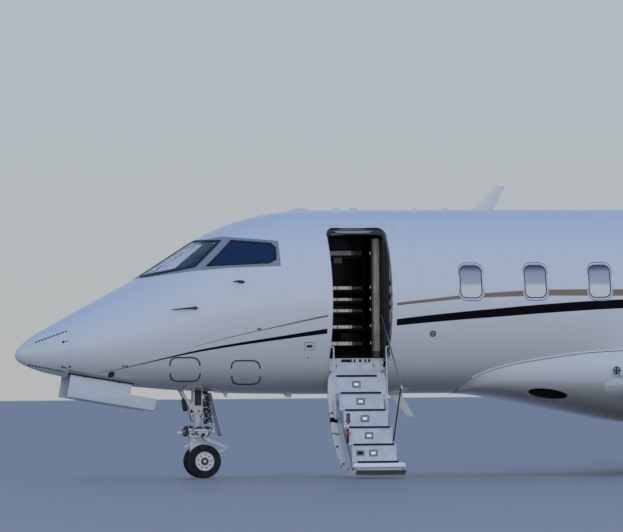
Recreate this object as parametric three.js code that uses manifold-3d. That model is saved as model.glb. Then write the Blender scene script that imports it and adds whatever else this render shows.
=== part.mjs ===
// Twin-engine business jet, parked with its airstair down.
// Millimetres; x forward, y to port, z up; the ground is z 0 and x 0 is the middle of the length.
import * as THREE from 'three';
import { mergeVertices } from 'three/addons/utils/BufferGeometryUtils.js';
import Module from 'manifold-3d';

const wasm = await Module();
wasm.setup();

// Overall size; stations are distances aft of a datum just ahead of the nose tip
const LENGTH = 20850;
const NOSE_TIP = 25;
const NOSE_X = LENGTH / 2 + NOSE_TIP;
const FIT = 0.4;            // gap between pieces that touch
const RUNNING = 6;          // gap around pieces that move

// Fuselage sections
const SECTIONS = table(['station', 'crown', 'keel', 'half', 'waist'], [
  [NOSE_TIP, 1683, 1663, 8, 1673],
  [45, 1734, 1615, 58, 1674],
  [92, 1793, 1570, 130, 1677],
  [179, 1869, 1526, 205, 1686],
  [265, 1935, 1489, 272, 1696],
  [352, 1985, 1458, 335, 1708],
  [439, 2032, 1434, 393, 1719],
  [612, 2128, 1394, 485, 1744],
  [770, 2214, 1357, 554, 1766],
  [1030, 2356, 1312, 650, 1810],
  [1360, 2529, 1263, 757, 1880],
  [1590, 2645, 1230, 822, 1930],
  [1850, 2810, 1206, 890, 1995],
  [2180, 3018, 1176, 968, 2085],
  [2510, 3227, 1160, 1035, 2170],
  [2850, 3388, 1145, 1092, 2240],
  [3180, 3496, 1135, 1135, 2292],
  [3510, 3567, 1130, 1168, 2330],
  [3840, 3603, 1123, 1190, 2355],
  [4200, 3616, 1120, 1203, 2367],
  [4600, 3618, 1120, 1210, 2369],
  [12600, 3618, 1120, 1210, 2369],
  [13400, 3612, 1175, 1190, 2395],
  [14200, 3600, 1300, 1140, 2450],
  [15100, 3575, 1490, 1055, 2535],
  [16000, 3540, 1720, 930, 2630],
  [16900, 3490, 1985, 770, 2740],
  [17800, 3420, 2270, 580, 2850],
  [18700, 3320, 2560, 375, 2950],
  [19300, 3220, 2770, 215, 3000],
  [19550, 3120, 2890, 110, 3010],
]);
const RING_SIDES = 24;
const WALL = 90;
const TAIL_WALL = 50;
const RADOME_JOINT = 690;
const DOOR_FRAME_JOINT = 5300;
const TAIL_JOINT = 12900;
const TAIL_END = 19550;
const COCKPIT_FRONT = 1900;
const COCKPIT_FLOOR = 1640;
const UNDERFLOOR_FRONT = 2950;
const FLOOR_TOP = 1590;
const FLOOR_THICKNESS = 40;
const HOLD_FRONT = 13000;
const HOLD_REAR = 18500;

// Entrance door and airstair
const DOOR = { front: 4133, rear: 4950, sill: 1400, head: 3350, corner: 110 };
const DOOR_SHELL = 60;
const DOOR_REVEAL_Y = 720;
const HINGE = { y: 763, z: 1400, radius: 16 };
const LUG_STATIONS = [[4180, 4260], [4823, 4903]];
const KNUCKLE_STATIONS = [[4260 + FIT, 4360], [4723, 4823 - FIT]];
const OPEN_ANGLE = THREE.MathUtils.degToRad(134.4);
const STEP = { front: 4270, rear: 4810, firstY: 850, firstZ: 1363, run: 246, rise: 228, count: 6, sheet: 22 };
const CHEEK = { width: 35, back: 4, down: 6 };
const STAY = { topY: 960, topZ: 1751, lowY: 1060, lowZ: 790, radius: 10 };
const STAY_STATIONS = { airstair_stay_front: 4189, airstair_stay_rear: 4912 };
const RAIL = {
  footY: 1570, footZ: 500, kneeY: 2000, kneeZ: 1177, topY: 800, topZ: 2180,
  radius: 9, postStation: 4862, railStation: 4886,
};

// Glass
const WINDSHIELD = [[1723, 2714], [1700, 3000], [2380, 3300], [2440, 3195], [2735, 3190], [2351, 2841]];
const SIDE_WINDOW = [[2505, 2847], [2872, 3187], [3360, 3143], [3410, 3086], [3396, 2931], [3306, 2885]];
const CENTRE_POST = 35;
const PANE = 25;
const CABIN_WINDOW = { first: 6043, pitch: 895, count: 7, z: 2615, width: 300, height: 440, corner: 85 };

// Lower and upper edge of each open shelf of the galley
const GALLEY_SHELVES = [[1640, 1770], [1800, 1980], [2010, 2200], [2230, 2350], [2390, 2500], [2550, 2960]];

// Baggage door on the port side
const BAGGAGE_DOOR = {
  front: 13350, rear: 14000, bottom: 1720, top: 2280, lowGap: 24, hingeUp: 36, rearGap: 14,
};

// Nose gear
const NOSE_GEAR = { axle: 2575, steer: 2475, wheelY: 145, sides: 24 };
const NOSE_TYRE = { radius: 228.5, bead: 130.4, width: 112 };
const COLLAR = { bottom: 545, top: 700, width: 95 };
const TAXI_LAMP = { reach: 230, z: 612, radius: 30 };
const NOSE_BAY = { front: 704, step: 1575, rear: 2760, wide: 350, narrow: 190, roof: 1620, low: 900 };
const GEAR_DOOR = {
  y: 330, thickness: 18, front: 725, frontZ: 1419, slope: Math.tan(THREE.MathUtils.degToRad(9.6)),
  length: 845, drop: 318, tail: 368, tailDrop: 148, knuckle: 9,
};
const GEAR_DOOR_SILL = { low: 8, high: 60, thickness: 16 };
const GEAR_DOOR_LUGS = [[900, 940], [1360, 1400]];
const GEAR_DOOR_KNUCKLES = [[940 + FIT, 980], [1320, 1360 - FIT]];

// Main gear
const MAIN_GEAR = { axle: 10900, y: 1480, wheelY: 185, sides: 24, strut: 10740 };
const MAIN_TYRE = { radius: 336.5, bead: 190.4, width: 203 };

// Wing, tailplane and fin sections; twist is nose up, lean turns the section from flat to upright
const LIFTING = ['station', 'y', 'z', 'chord', 'thick', 'twist', 'lean'];
const WING = table(LIFTING, [
  [7814, 1000, 1192, 4536, 0.125, 2, 0],
  [9729, 4600, 1380, 2621, 0.12, 1, 0],
  [12070, 9000, 1611, 1350, 0.11, 0, 0],
  [12215, 9270, 1672, 1235, 0.105, 0, 35],
  [12400, 9450, 1840, 1120, 0.10, 0, 66],
  [13170, 9740, 2680, 560, 0.10, 0, 74],
]);
const TAILPLANE = table(LIFTING, [
  [18000, 0, 6010, 2060, 0.10, 0, 0],
  [20065, 3640, 6010, 810, 0.09, 0, 0],
]);
const FIN = table(LIFTING, [
  [13700, 0, 3420, 5320, 0.055, 0, 90],
  [15450, 0, 3850, 3770, 0.085, 0, 90],
  [17710, 0, 5905, 2476, 0.10, 0, 90],
]);
const FLAP = { panel: 0, from: 1680, to: 4440, hinge: 0.72, axis: 'y' };
const AILERON = { panel: 1, from: 6000, to: 8650, hinge: 0.75, axis: 'y' };
const ELEVATOR = { panel: 0, from: 300, to: 3380, hinge: 0.70, axis: 'y' };
const RUDDER = { panel: 1, from: 3950, to: 5700, hinge: 0.70, axis: 'z' };
const SPOILER = { panel: 0, from: 2310, to: 3880, share: 0.53, width: 360, skin: 28, room: 20 };
const PIN_RADIUS = 8;
const PIN_SLOPE_FIT = 1.7;

// Belly fairing sections
const FAIRING = table(['station', 'lip', 'keel', 'half', 'waist'], [
  [6050, 1190, 1112, 360, 1150],
  [6210, 1330, 1105, 670, 1240],
  [6600, 1470, 1050, 880, 1290],
  [7120, 1566, 952, 1010, 1290],
  [7800, 1650, 815, 1130, 1270],
  [8420, 1680, 705, 1260, 1240],
  [9200, 1700, 655, 1370, 1200],
  [11200, 1700, 650, 1380, 1180],
  [12200, 1650, 740, 1300, 1200],
  [13000, 1540, 930, 1090, 1260],
  [13700, 1340, 1150, 640, 1260],
]);

// Engines
const ENGINE = { y: 1940, z: 2790, sides: 20 };
const NACELLE_PROFILE = [
  [13260, 470], [13300, 522], [13520, 578], [14050, 628], [15100, 630], [15900, 572],
  [16780, 404], [16780, 378], [15900, 425], [15100, 455], [14150, 455], [13600, 425], [13320, 432],
];
const ENGINE_PROFILE = [
  [14400, 0], [14400, 150], [14450, 150], [14450, 454.6], [14650, 454.6], [14650, 330],
  [15900, 290], [17010, 15], [17010, 0],
];
const FAN = { nose: 13830, back: 14399.6, hub: 145, tip: 440, blades: 12, chord: 140, disc: 14240 };
const PYLON = { front: 14050, rear: 16250, root: 800, bottom: 2730, top: 2850 };

// Finishes
const WHITE = { color: 0xe9edf0, roughness: 0.18, metalness: 0 };
const GREY = { color: 0x8c9194, roughness: 0.35, metalness: 0.7 };
const SILVER = { color: 0xb9bec2, roughness: 0.3, metalness: 0.9 };
const DARK = { color: 0x24272a, roughness: 0.5, metalness: 0.1 };
const TREAD = { color: 0x3a3d40, roughness: 0.7, metalness: 0.1 };
const BEIGE = { color: 0xb3a58c, roughness: 0.6, metalness: 0 };
const RUBBER = { color: 0x17181a, roughness: 0.85, metalness: 0 };
const GLASS = { color: 0x14263f, roughness: 0.05, metalness: 0 };
const LEATHER = { color: 0x4a4038, roughness: 0.6, metalness: 0 };

const jet = new THREE.Group();

// Turns rows of numbers into objects with named columns
function table(columns, rows) {
  return rows.map((row) => Object.fromEntries(columns.map((name, i) => [name, row[i]])));
}

function xOf(station) {
  return NOSE_X - station;
}

// Closed geometry whose faces point out, kept as plain positions and triangles
function geometryFrom(positions, triangles) {
  const geometry = new THREE.BufferGeometry();
  geometry.setAttribute('position', new THREE.Float32BufferAttribute(positions, 3));
  geometry.setIndex(triangles);
  return facingOut(geometry);
}

function facingOut(geometry) {
  const position = geometry.attributes.position;
  const index = geometry.index.array;
  const a = new THREE.Vector3();
  const b = new THREE.Vector3();
  const c = new THREE.Vector3();
  let volume = 0;
  for (let i = 0; i < index.length; i += 3) {
    a.fromBufferAttribute(position, index[i]);
    b.fromBufferAttribute(position, index[i + 1]);
    c.fromBufferAttribute(position, index[i + 2]);
    volume += a.dot(b.cross(c));
  }
  if (volume < 0) {
    for (let i = 0; i < index.length; i += 3) {
      const first = index[i];
      index[i] = index[i + 1];
      index[i + 1] = first;
    }
  }
  return geometry;
}

function welded(geometry) {
  const bare = geometry.clone();
  bare.deleteAttribute('normal');
  bare.deleteAttribute('uv');
  return facingOut(mergeVertices(bare, 1e-3));
}

function solidOf(shape) {
  if (!shape.isBufferGeometry) return shape;
  const geometry = welded(shape);
  const mesh = new wasm.Mesh({
    numProp: 3,
    vertProperties: new Float32Array(geometry.attributes.position.array),
    triVerts: new Uint32Array(geometry.index.array),
  });
  return new wasm.Manifold(mesh);
}

function join(...shapes) {
  return shapes.map(solidOf).reduce((sum, shape) => sum.add(shape));
}

function cut(shape, ...tools) {
  return tools.map(solidOf).reduce((rest, tool) => rest.subtract(tool), solidOf(shape));
}

function common(...shapes) {
  return shapes.map(solidOf).reduce((rest, shape) => rest.intersect(shape));
}

function geometryOf(shape) {
  if (shape.isBufferGeometry) return welded(shape);
  const mesh = shape.getMesh();
  return geometryFrom(Array.from(mesh.vertProperties), Array.from(mesh.triVerts));
}

// The same shape on the other side of the centreline
function mirrored(shape) {
  const copy = geometryOf(shape);
  copy.scale(1, -1, 1);
  return facingOut(copy);
}

function addPart(name, shape, finish) {
  const geometry = geometryOf(shape);
  geometry.computeBoundingBox();
  const centre = geometry.boundingBox.getCenter(new THREE.Vector3()).round();
  geometry.translate(-centre.x, -centre.y, -centre.z);
  const flat = geometry.toNonIndexed();
  flat.computeVertexNormals();
  const mesh = new THREE.Mesh(flat, new THREE.MeshStandardMaterial(finish));
  mesh.name = name;
  mesh.position.copy(centre);
  jet.add(mesh);
}

function addPair(name, portShape, finish) {
  addPart(`${name}_left`, portShape, finish);
  addPart(`${name}_right`, mirrored(portShape), finish);
}

// Skin through rings of points, each ring with as many points, closed at both ends
function skin(rings) {
  const sides = rings[0].length;
  const positions = rings.flat(2);
  const triangles = [];
  for (let r = 0; r + 1 < rings.length; r += 1) {
    for (let i = 0; i < sides; i += 1) {
      const a = r * sides + i;
      const b = r * sides + (i + 1) % sides;
      triangles.push(a, b, b + sides, a, b + sides, a + sides);
    }
  }
  const last = (rings.length - 1) * sides;
  for (let i = 1; i + 1 < sides; i += 1) {
    triangles.push(0, i + 1, i, last, last + i, last + i + 1);
  }
  return geometryFrom(positions, triangles);
}

// Outlines given as [station, height], [station, y] or [y, height], made into straight prisms
function sidePrism(outline, yFrom, yTo) {
  const points = outline.map(([station, z]) => new THREE.Vector2(xOf(station), z));
  const depth = yTo - yFrom;
  const geometry = new THREE.ExtrudeGeometry(new THREE.Shape(points), { depth, bevelEnabled: false });
  geometry.rotateX(Math.PI / 2);
  geometry.translate(0, yTo, 0);
  return geometry;
}

function planPrism(outline, zFrom, zTo) {
  const points = outline.map(([station, y]) => new THREE.Vector2(xOf(station), y));
  const depth = zTo - zFrom;
  const geometry = new THREE.ExtrudeGeometry(new THREE.Shape(points), { depth, bevelEnabled: false });
  geometry.translate(0, 0, zFrom);
  return geometry;
}

function frontPrism(outline, stationFrom, stationTo) {
  const points = outline.map(([y, z]) => new THREE.Vector2(y, z));
  const depth = stationTo - stationFrom;
  const geometry = new THREE.ExtrudeGeometry(new THREE.Shape(points), { depth, bevelEnabled: false });
  const turn = new THREE.Matrix4().makeBasis(
    new THREE.Vector3(0, 1, 0),
    new THREE.Vector3(0, 0, 1),
    new THREE.Vector3(1, 0, 0),
  );
  geometry.applyMatrix4(turn);
  geometry.translate(xOf(stationTo), 0, 0);
  return geometry;
}

function block(stationFrom, stationTo, yFrom, yTo, zFrom, zTo) {
  const geometry = new THREE.BoxGeometry(stationTo - stationFrom, yTo - yFrom, zTo - zFrom);
  geometry.translate(xOf((stationFrom + stationTo) / 2), (yFrom + yTo) / 2, (zFrom + zTo) / 2);
  return geometry;
}

// Rectangle with round corners, as [u, v] points
function roundedOutline(u, v, width, height, corner, stepsPerCorner = 3) {
  const outline = [];
  const signs = [[1, 1], [-1, 1], [-1, -1], [1, -1]];
  signs.forEach(([su, sv], quarter) => {
    for (let i = 0; i <= stepsPerCorner; i += 1) {
      const angle = (quarter + i / stepsPerCorner) * Math.PI / 2;
      outline.push([
        u + su * (width / 2 - corner) + corner * Math.cos(angle),
        v + sv * (height / 2 - corner) + corner * Math.sin(angle),
      ]);
    }
  });
  return outline;
}

function doorOutline(margin) {
  const width = DOOR.rear - DOOR.front - 2 * margin;
  const height = DOOR.head - DOOR.sill - 2 * margin;
  const corner = DOOR.corner + 3 * margin;
  return roundedOutline((DOOR.rear + DOOR.front) / 2, (DOOR.head + DOOR.sill) / 2, width, height, corner);
}

function shrunk(outline, factor = 0.997) {
  const u = outline.reduce((sum, p) => sum + p[0], 0) / outline.length;
  const v = outline.reduce((sum, p) => sum + p[1], 0) / outline.length;
  return outline.map((p) => [u + (p[0] - u) * factor, v + (p[1] - v) * factor]);
}

// Round bar between two points given as [station, y, z]
function rod(from, to, radius, sides = 10, endRadius = radius) {
  const a = new THREE.Vector3(xOf(from[0]), from[1], from[2]);
  const b = new THREE.Vector3(xOf(to[0]), to[1], to[2]);
  const along = b.clone().sub(a);
  const geometry = new THREE.CylinderGeometry(endRadius, radius, along.length(), sides);
  const upright = new THREE.Vector3(0, 1, 0);
  const turn = new THREE.Quaternion().setFromUnitVectors(upright, along.clone().normalize());
  geometry.applyQuaternion(turn);
  const middle = a.add(b).multiplyScalar(0.5);
  geometry.translate(middle.x, middle.y, middle.z);
  return geometry;
}

// Turned piece on a fore-and-aft axis; the profile is [station, radius]
function turnedAlongX(profile, y, z, sides, closed = false) {
  const points = profile.map(([station, radius]) => new THREE.Vector2(radius, xOf(station)));
  if (closed) points.push(points[0].clone());
  const geometry = new THREE.LatheGeometry(points, sides);
  geometry.rotateZ(-Math.PI / 2);
  geometry.translate(0, y, z);
  return geometry;
}

// Turned piece on a cross axis with flats down; the profile is [y, radius]
function turnedAlongY(profile, station, z, sides, closed = false) {
  const points = profile.map(([y, radius]) => new THREE.Vector2(radius, y));
  if (closed) points.push(points[0].clone());
  const geometry = new THREE.LatheGeometry(points, sides);
  geometry.rotateY(Math.PI / sides);
  geometry.translate(xOf(station), 0, z);
  return geometry;
}

// Values of a table of sections at any station
function sectionAt(rows, station) {
  const after = rows.findIndex((row) => row.station >= station);
  if (after <= 0) return rows[0];
  const low = rows[after - 1];
  const high = rows[after];
  const share = (station - low.station) / (high.station - low.station);
  return mixed(low, high, share);
}

function mixed(low, high, share) {
  return Object.fromEntries(Object.keys(low).map((key) => [key, low[key] + (high[key] - low[key]) * share]));
}

function fuselageRing(station, inset) {
  const { crown, keel, half, waist } = sectionAt(SECTIONS, station);
  const ring = [];
  for (let i = 0; i < RING_SIDES; i += 1) {
    const angle = 2 * Math.PI * i / RING_SIDES;
    const up = Math.cos(angle);
    const reach = up > 0 ? crown - waist - inset : waist - keel - inset;
    ring.push([xOf(station), (half - inset) * Math.sin(angle), waist + reach * up]);
  }
  return ring;
}

function fuselage(from, to, inset = 0) {
  const between = SECTIONS.map((row) => row.station).filter((s) => s > from + 1 && s < to - 1);
  return skin([from, ...between, to].map((station) => fuselageRing(station, inset)));
}

// Half thickness of the wing section as a share of the chord
function halfThickness(x, thick) {
  const shape = 0.2969 * Math.sqrt(x) - 0.126 * x - 0.3516 * x ** 2 + 0.2843 * x ** 3 - 0.1 * x ** 4;
  return 5 * thick * shape;
}

// A point on the mean line of a lifting section, and the direction of its thickness
function meanPoint(row, share) {
  const back = share * row.chord;
  const lean = THREE.MathUtils.degToRad(row.lean);
  const drop = back * Math.sin(THREE.MathUtils.degToRad(row.twist));
  const normal = new THREE.Vector3(0, -Math.sin(lean), Math.cos(lean));
  const point = new THREE.Vector3(xOf(row.station + back), row.y, row.z).addScaledVector(normal, -drop);
  return { point, normal, half: halfThickness(share, row.thick) * row.chord };
}

function liftingRing(row, extra) {
  const shares = [0, 0.015, 0.06, 0.15, 0.28, 0.44, 0.62, 0.8, 1];
  const edge = (share, side) => {
    const { point, normal, half } = meanPoint(row, share);
    if (share === 1) point.x -= extra;
    return point.addScaledVector(normal, side * Math.max(Math.max(half, 3) + extra, 1)).toArray();
  };
  const upper = shares.map((share) => edge(share, 1));
  const lower = shares.slice(1).reverse().map((share) => edge(share, -1));
  upper[0] = meanPoint(row, 0).point.add(new THREE.Vector3(extra, 0, 0)).toArray();
  return [...upper, ...lower];
}

function lifting(rows, extra = 0) {
  return skin(rows.map((row) => liftingRing(row, extra)));
}

// Space that a wing fills, a little larger all round and a little longer at the root
function wingRoom() {
  const rings = WING.map((row) => liftingRing(row, FIT));
  const share = -FIT / (WING[1].y - WING[0].y);
  rings[0] = rings[0].map((point, i) => point.map((value, k) => value + (rings[1][i][k] - value) * share));
  return skin(rings);
}

// Place and half thickness on the mean surface of a lifting piece
function onLifting(rows, surface, at, share) {
  const low = rows[surface.panel];
  const high = rows[surface.panel + 1];
  const axis = surface.axis ?? 'y';
  return meanPoint(mixed(low, high, (at - low[axis]) / (high[axis] - low[axis])), share);
}

// Box on a hinge line: along it, aft of it, and through the thickness
function hingeBox(start, end, normal, reach) {
  const along = end.clone().sub(start).normalize();
  let aft = new THREE.Vector3().crossVectors(along, normal).normalize();
  if (aft.x > 0) aft = aft.negate();
  const through = new THREE.Vector3().crossVectors(along, aft);
  const size = [start.distanceTo(end) + 2 * reach.end, reach.aft + reach.ahead, 2 * reach.through];
  const geometry = new THREE.BoxGeometry(...size);
  geometry.translate(0, (reach.aft - reach.ahead) / 2, 0);
  geometry.applyMatrix4(new THREE.Matrix4().makeBasis(along, aft, through));
  const middle = start.clone().add(end).multiplyScalar(0.5);
  geometry.translate(middle.x, middle.y, middle.z);
  return geometry;
}

function roundBar(start, end, startRadius, endRadius, sides) {
  const from = [NOSE_X - start.x, start.y, start.z];
  const to = [NOSE_X - end.x, end.y, end.z];
  return rod(from, to, startRadius, sides, endRadius);
}

// Hinge pins that stand on the walls at both ends of a bay and meet the moving piece
function endPins(start, end, gap, fit = FIT) {
  const along = end.clone().sub(start).normalize();
  const at = (from, distance) => from.clone().addScaledVector(along, distance);
  return [
    roundBar(at(start, -gap - 10), at(start, -fit), PIN_RADIUS, PIN_RADIUS, 10),
    roundBar(at(end, fit), at(end, gap + 10), PIN_RADIUS, PIN_RADIUS, 10),
  ];
}

// Splits a trailing-edge surface from its parent: the moving piece, and the parent with its bay
function splitSurface(parent, rows, surface) {
  const start = onLifting(rows, surface, surface.from, surface.hinge);
  const end = onLifting(rows, surface, surface.to, surface.hinge);
  const thickest = Math.max(start.half, end.half);
  const movingReach = { end: 0, aft: 2500, ahead: 0, through: 600 };
  const moving = hingeBox(start.point, end.point, start.normal, movingReach);
  const reach = { end: RUNNING + 2, aft: 2500, ahead: thickest + RUNNING, through: 600 };
  const bay = hingeBox(start.point, end.point, start.normal, reach);
  const nose = roundBar(start.point, end.point, start.half - 1, end.half - 1, 16);
  const pins = endPins(start.point, end.point, reach.end);
  return { moving: join(common(parent, moving), nose), parent: join(cut(parent, bay), ...pins) };
}

function addRadome() {
  addPart('radome', fuselage(NOSE_TIP, RADOME_JOINT - FIT), WHITE);
}

function cabinHollow(inset) {
  const upper = common(
    fuselage(COCKPIT_FRONT, DOOR_FRAME_JOINT + 100, inset),
    block(0, LENGTH, -2000, 2000, COCKPIT_FLOOR, 4000),
  );
  const lower = fuselage(UNDERFLOOR_FRONT, DOOR_FRAME_JOINT + 100, inset);
  return join(upper, lower);
}

function bothSides(shape) {
  return [shape, mirrored(shape)];
}

function gearBay() {
  const { front, step, rear, wide, narrow, roof, low } = NOSE_BAY;
  return join(block(front, step, -wide, wide, low, roof), block(step - 5, rear, -narrow, narrow, low, roof));
}

// Opening for the door: straight through the wall, and the depth of the door shell all round
function doorOpening() {
  const through = sidePrism(doorOutline(0), DOOR_REVEAL_Y, 1500);
  const rebate = common(
    cut(fuselage(3600, DOOR_FRAME_JOINT, -20), fuselage(3500, DOOR_FRAME_JOINT + 50, DOOR_SHELL + RUNNING)),
    sidePrism(doorOutline(0), 300, 1500),
  );
  return join(through, cut(rebate, belowWaist(DOOR_REVEAL_Y)));
}

// Space inboard of a width, in the lower half of the doorway
function belowWaist(width) {
  return block(3500, 5400, 0, width, 1000, 2000);
}

function hingeBar([from, to], radius) {
  return rod([from, HINGE.y, HINGE.z], [to, HINGE.y, HINGE.z], radius, 12);
}

function addForwardFuselage() {
  const shell = cut(
    fuselage(RADOME_JOINT, DOOR_FRAME_JOINT - FIT),
    cabinHollow(WALL),
    gearBay(),
    ...bothSides(sidePrism(WINDSHIELD, CENTRE_POST, 1500)),
    ...bothSides(sidePrism(SIDE_WINDOW, CENTRE_POST, 1500)),
    doorOpening(),
  );
  const freed = cut(shell, ...KNUCKLE_STATIONS.map(([from, to]) => {
    return hingeBar([from - RUNNING, to + RUNNING], HINGE.radius + RUNNING);
  }));
  const lugs = [
    ...LUG_STATIONS.map((span) => hingeBar(span, HINGE.radius)),
    ...gearDoorMounting().flatMap(bothSides),
  ];
  addPart('forward_fuselage', join(freed, ...lugs), WHITE);
}

function windowOutlines() {
  const outlines = [];
  for (let i = 0; i < CABIN_WINDOW.count; i += 1) {
    const { first, pitch, z, width, height, corner } = CABIN_WINDOW;
    outlines.push(roundedOutline(first + i * pitch, z, width, height, corner, 2));
  }
  return outlines;
}

function addCentreFuselage() {
  const windows = windowOutlines().map((outline) => sidePrism(outline, 300, 1500));
  const tube = cut(
    fuselage(DOOR_FRAME_JOINT, TAIL_JOINT - FIT),
    fuselage(DOOR_FRAME_JOINT - 100, TAIL_JOINT + 100, WALL),
    ...windows.flatMap(bothSides),
  );
  addPart('centre_fuselage', tube, WHITE);
}

function addCabinWindows() {
  const liner = common(
    cut(fuselage(5400, 12500, WALL + FIT), fuselage(5300, 12600, WALL + 10)),
    block(5800, 11700, 300, 1400, 2380, 2850),
  );
  const plugWall = cut(fuselage(5400, 12500, 30), fuselage(5300, 12600, WALL + 10));
  const plugs = windowOutlines().map((outline) => common(plugWall, sidePrism(shrunk(outline), 300, 1500)));
  addPair('cabin_windows', join(liner, ...plugs), GLASS);
}

function paneIn(outline) {
  const sheet = cut(fuselage(1000, 4000), fuselage(900, 4100, PANE));
  return common(sheet, sidePrism(shrunk(outline), CENTRE_POST + FIT, 1500));
}

function addCockpitGlass() {
  addPair('windshield', paneIn(WINDSHIELD), GLASS);
  addPair('cockpit_side_window', paneIn(SIDE_WINDOW), GLASS);
}

function baggageOutline(margin, lowMargin, rearMargin) {
  const { front, rear, bottom, top } = BAGGAGE_DOOR;
  return [
    [front + margin, bottom + lowMargin], [rear - rearMargin, bottom + lowMargin],
    [rear - rearMargin, top - margin], [front + margin, top - margin],
  ];
}

// Distance of the fuselage surface from the centreline, below the widest line
function skinY(station, z, inset) {
  const { half, waist, keel } = sectionAt(SECTIONS, station);
  return (half - inset) * Math.sqrt(1 - ((waist - z) / (waist - keel - inset)) ** 2);
}

function baggageHinge(station) {
  const z = BAGGAGE_DOOR.bottom + BAGGAGE_DOOR.hingeUp;
  return new THREE.Vector3(xOf(station), skinY(station, z, TAIL_WALL / 2), z);
}

function addAftFuselage() {
  const { front, rear, lowGap, rearGap } = BAGGAGE_DOOR;
  const tail = cut(
    fuselage(TAIL_JOINT, TAIL_END),
    fuselage(HOLD_FRONT, HOLD_REAR, TAIL_WALL),
    sidePrism(baggageOutline(0, 0, 0), 300, 1500),
  );
  const pins = endPins(baggageHinge(front + RUNNING), baggageHinge(rear - rearGap), rearGap, PIN_SLOPE_FIT);
  addPart('aft_fuselage', join(tail, ...pins), WHITE);
  const sheet = cut(fuselage(13000, 14500), fuselage(12900, 14600, TAIL_WALL));
  const outline = baggageOutline(RUNNING, lowGap, rearGap);
  addPart('baggage_door', common(sheet, sidePrism(outline, 300, 1500)), WHITE);
}

function cabinFit(shape) {
  const rear = fuselage(DOOR_FRAME_JOINT, TAIL_JOINT + 100, WALL + FIT);
  return common(shape, join(cabinHollow(WALL + FIT), rear));
}

function addCabinFloor() {
  const floor = cabinFit(block(
    UNDERFLOOR_FRONT + FIT, TAIL_JOINT - 1, -1200, 1200, FLOOR_TOP - FLOOR_THICKNESS, FLOOR_TOP,
  ));
  const cutBack = block(DOOR.front - 5, DOOR.rear + 5, DOOR_REVEAL_Y - 15, 1300, 1000, 2000);
  addPart('cabin_floor', cut(floor, cutBack), BEIGE);
}

function addInstrumentPanel() {
  const panel = sidePrism([[1960, 2560], [2240, 2600], [2300, 2520], [2200, 2140], [1960, 2140]], -900, 900);
  const pedestal = block(2150, 2700, -140, 140, COCKPIT_FLOOR + FIT, 2250);
  addPart('instrument_panel', cabinFit(join(panel, pedestal)), DARK);
}

function addPilotSeats() {
  const seat = sidePrism([
    [2640, COCKPIT_FLOOR + FIT], [2920, COCKPIT_FLOOR + FIT], [2920, 1950], [3080, 2000], [3260, 2760],
    [3120, 2790], [2960, 2160], [2520, 2140], [2500, 1980], [2640, 1940],
  ], 260, 760);
  addPair('pilot_seat', seat, LEATHER);
}

// Divider behind the cockpit, closet and shelved galley on the starboard side
function addGalley() {
  const top = FLOOR_TOP + FIT;
  const divider = cut(
    block(3620, 3680, -1100, 1100, top, 3500),
    block(3500, 3800, -300, 300, 1000, 3350),
  );
  const closet = block(3675, 4260, -1100, -420, top, 2900);
  const cabinet = block(4255, 4940, -1100, -380, top, 3300);
  const niches = GALLEY_SHELVES.map(([low, high]) => block(4300, 4900, -760, -300, low, high));
  addPart('galley', cabinFit(join(divider, closet, cut(cabinet, ...niches))), BEIGE);
}

function addCabinPartition() {
  const wall = block(4990, 5060, -1200, 1200, FLOOR_TOP + FIT, 3500);
  const aisle = block(4900, 5200, -330, 300, 1000, 3300);
  addPart('cabin_partition', cabinFit(cut(wall, aisle)), BEIGE);
}

// Belly fairing: round keel, a side that leans in to a lip on the fuselage
function fairingRing({ station, lip, keel, half, waist }) {
  const ring = [];
  const steps = 10;
  const fullness = 2 / 2.5;
  for (let i = 0; i <= steps; i += 1) {
    const angle = -Math.PI * i / steps;
    const across = Math.sign(Math.cos(angle)) * Math.abs(Math.cos(angle)) ** fullness;
    const down = Math.abs(Math.sin(angle)) ** fullness;
    ring.push([xOf(station), half * across, waist - (waist - keel) * down]);
  }
  const { half: bodyHalf, keel: bodyKeel, waist: bodyWaist } = sectionAt(SECTIONS, station);
  const fall = (bodyWaist - lip) / (bodyWaist - bodyKeel);
  const edge = bodyHalf * Math.sqrt(1 - Math.min(fall, 0.999) ** 2) + 8;
  ring.push([xOf(station), -edge, lip], [xOf(station), edge, lip]);
  return ring;
}

function addFairing() {
  const fairing = cut(
    skin(FAIRING.map(fairingRing)),
    fuselage(5400, 15000, -FIT * 1.5),
    ...bothSides(wingRoom()),
  );
  addPart('wing_body_fairing', fairing, WHITE);
}

// Spoiler: a piece of the upper skin that turns up at its front edge
function spoilerHinge(at) {
  const { point, normal, half } = onLifting(WING, SPOILER, at, SPOILER.share);
  return { point: point.addScaledVector(normal, half - SPOILER.skin / 2), normal };
}

function spoilerBox(reach) {
  const start = spoilerHinge(SPOILER.from);
  const end = spoilerHinge(SPOILER.to);
  return hingeBox(start.point, end.point, start.normal, { ...reach, through: 400 });
}

// The part of a box that lies above the wing's mean surface, down to a depth under its skin
function aboveWing(depth, box) {
  const upperHalf = skin(WING.slice(0, 2).map((row) => {
    const mean = [0, 1].map((share) => meanPoint(row, share).point.toArray());
    const above = mean.map(([x, y, z]) => [x, y, z + 1500]);
    return [mean[0], mean[1], above[1], above[0]];
  }));
  return cut(common(box, upperHalf), lifting(WING.slice(0, 2), -depth));
}

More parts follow.
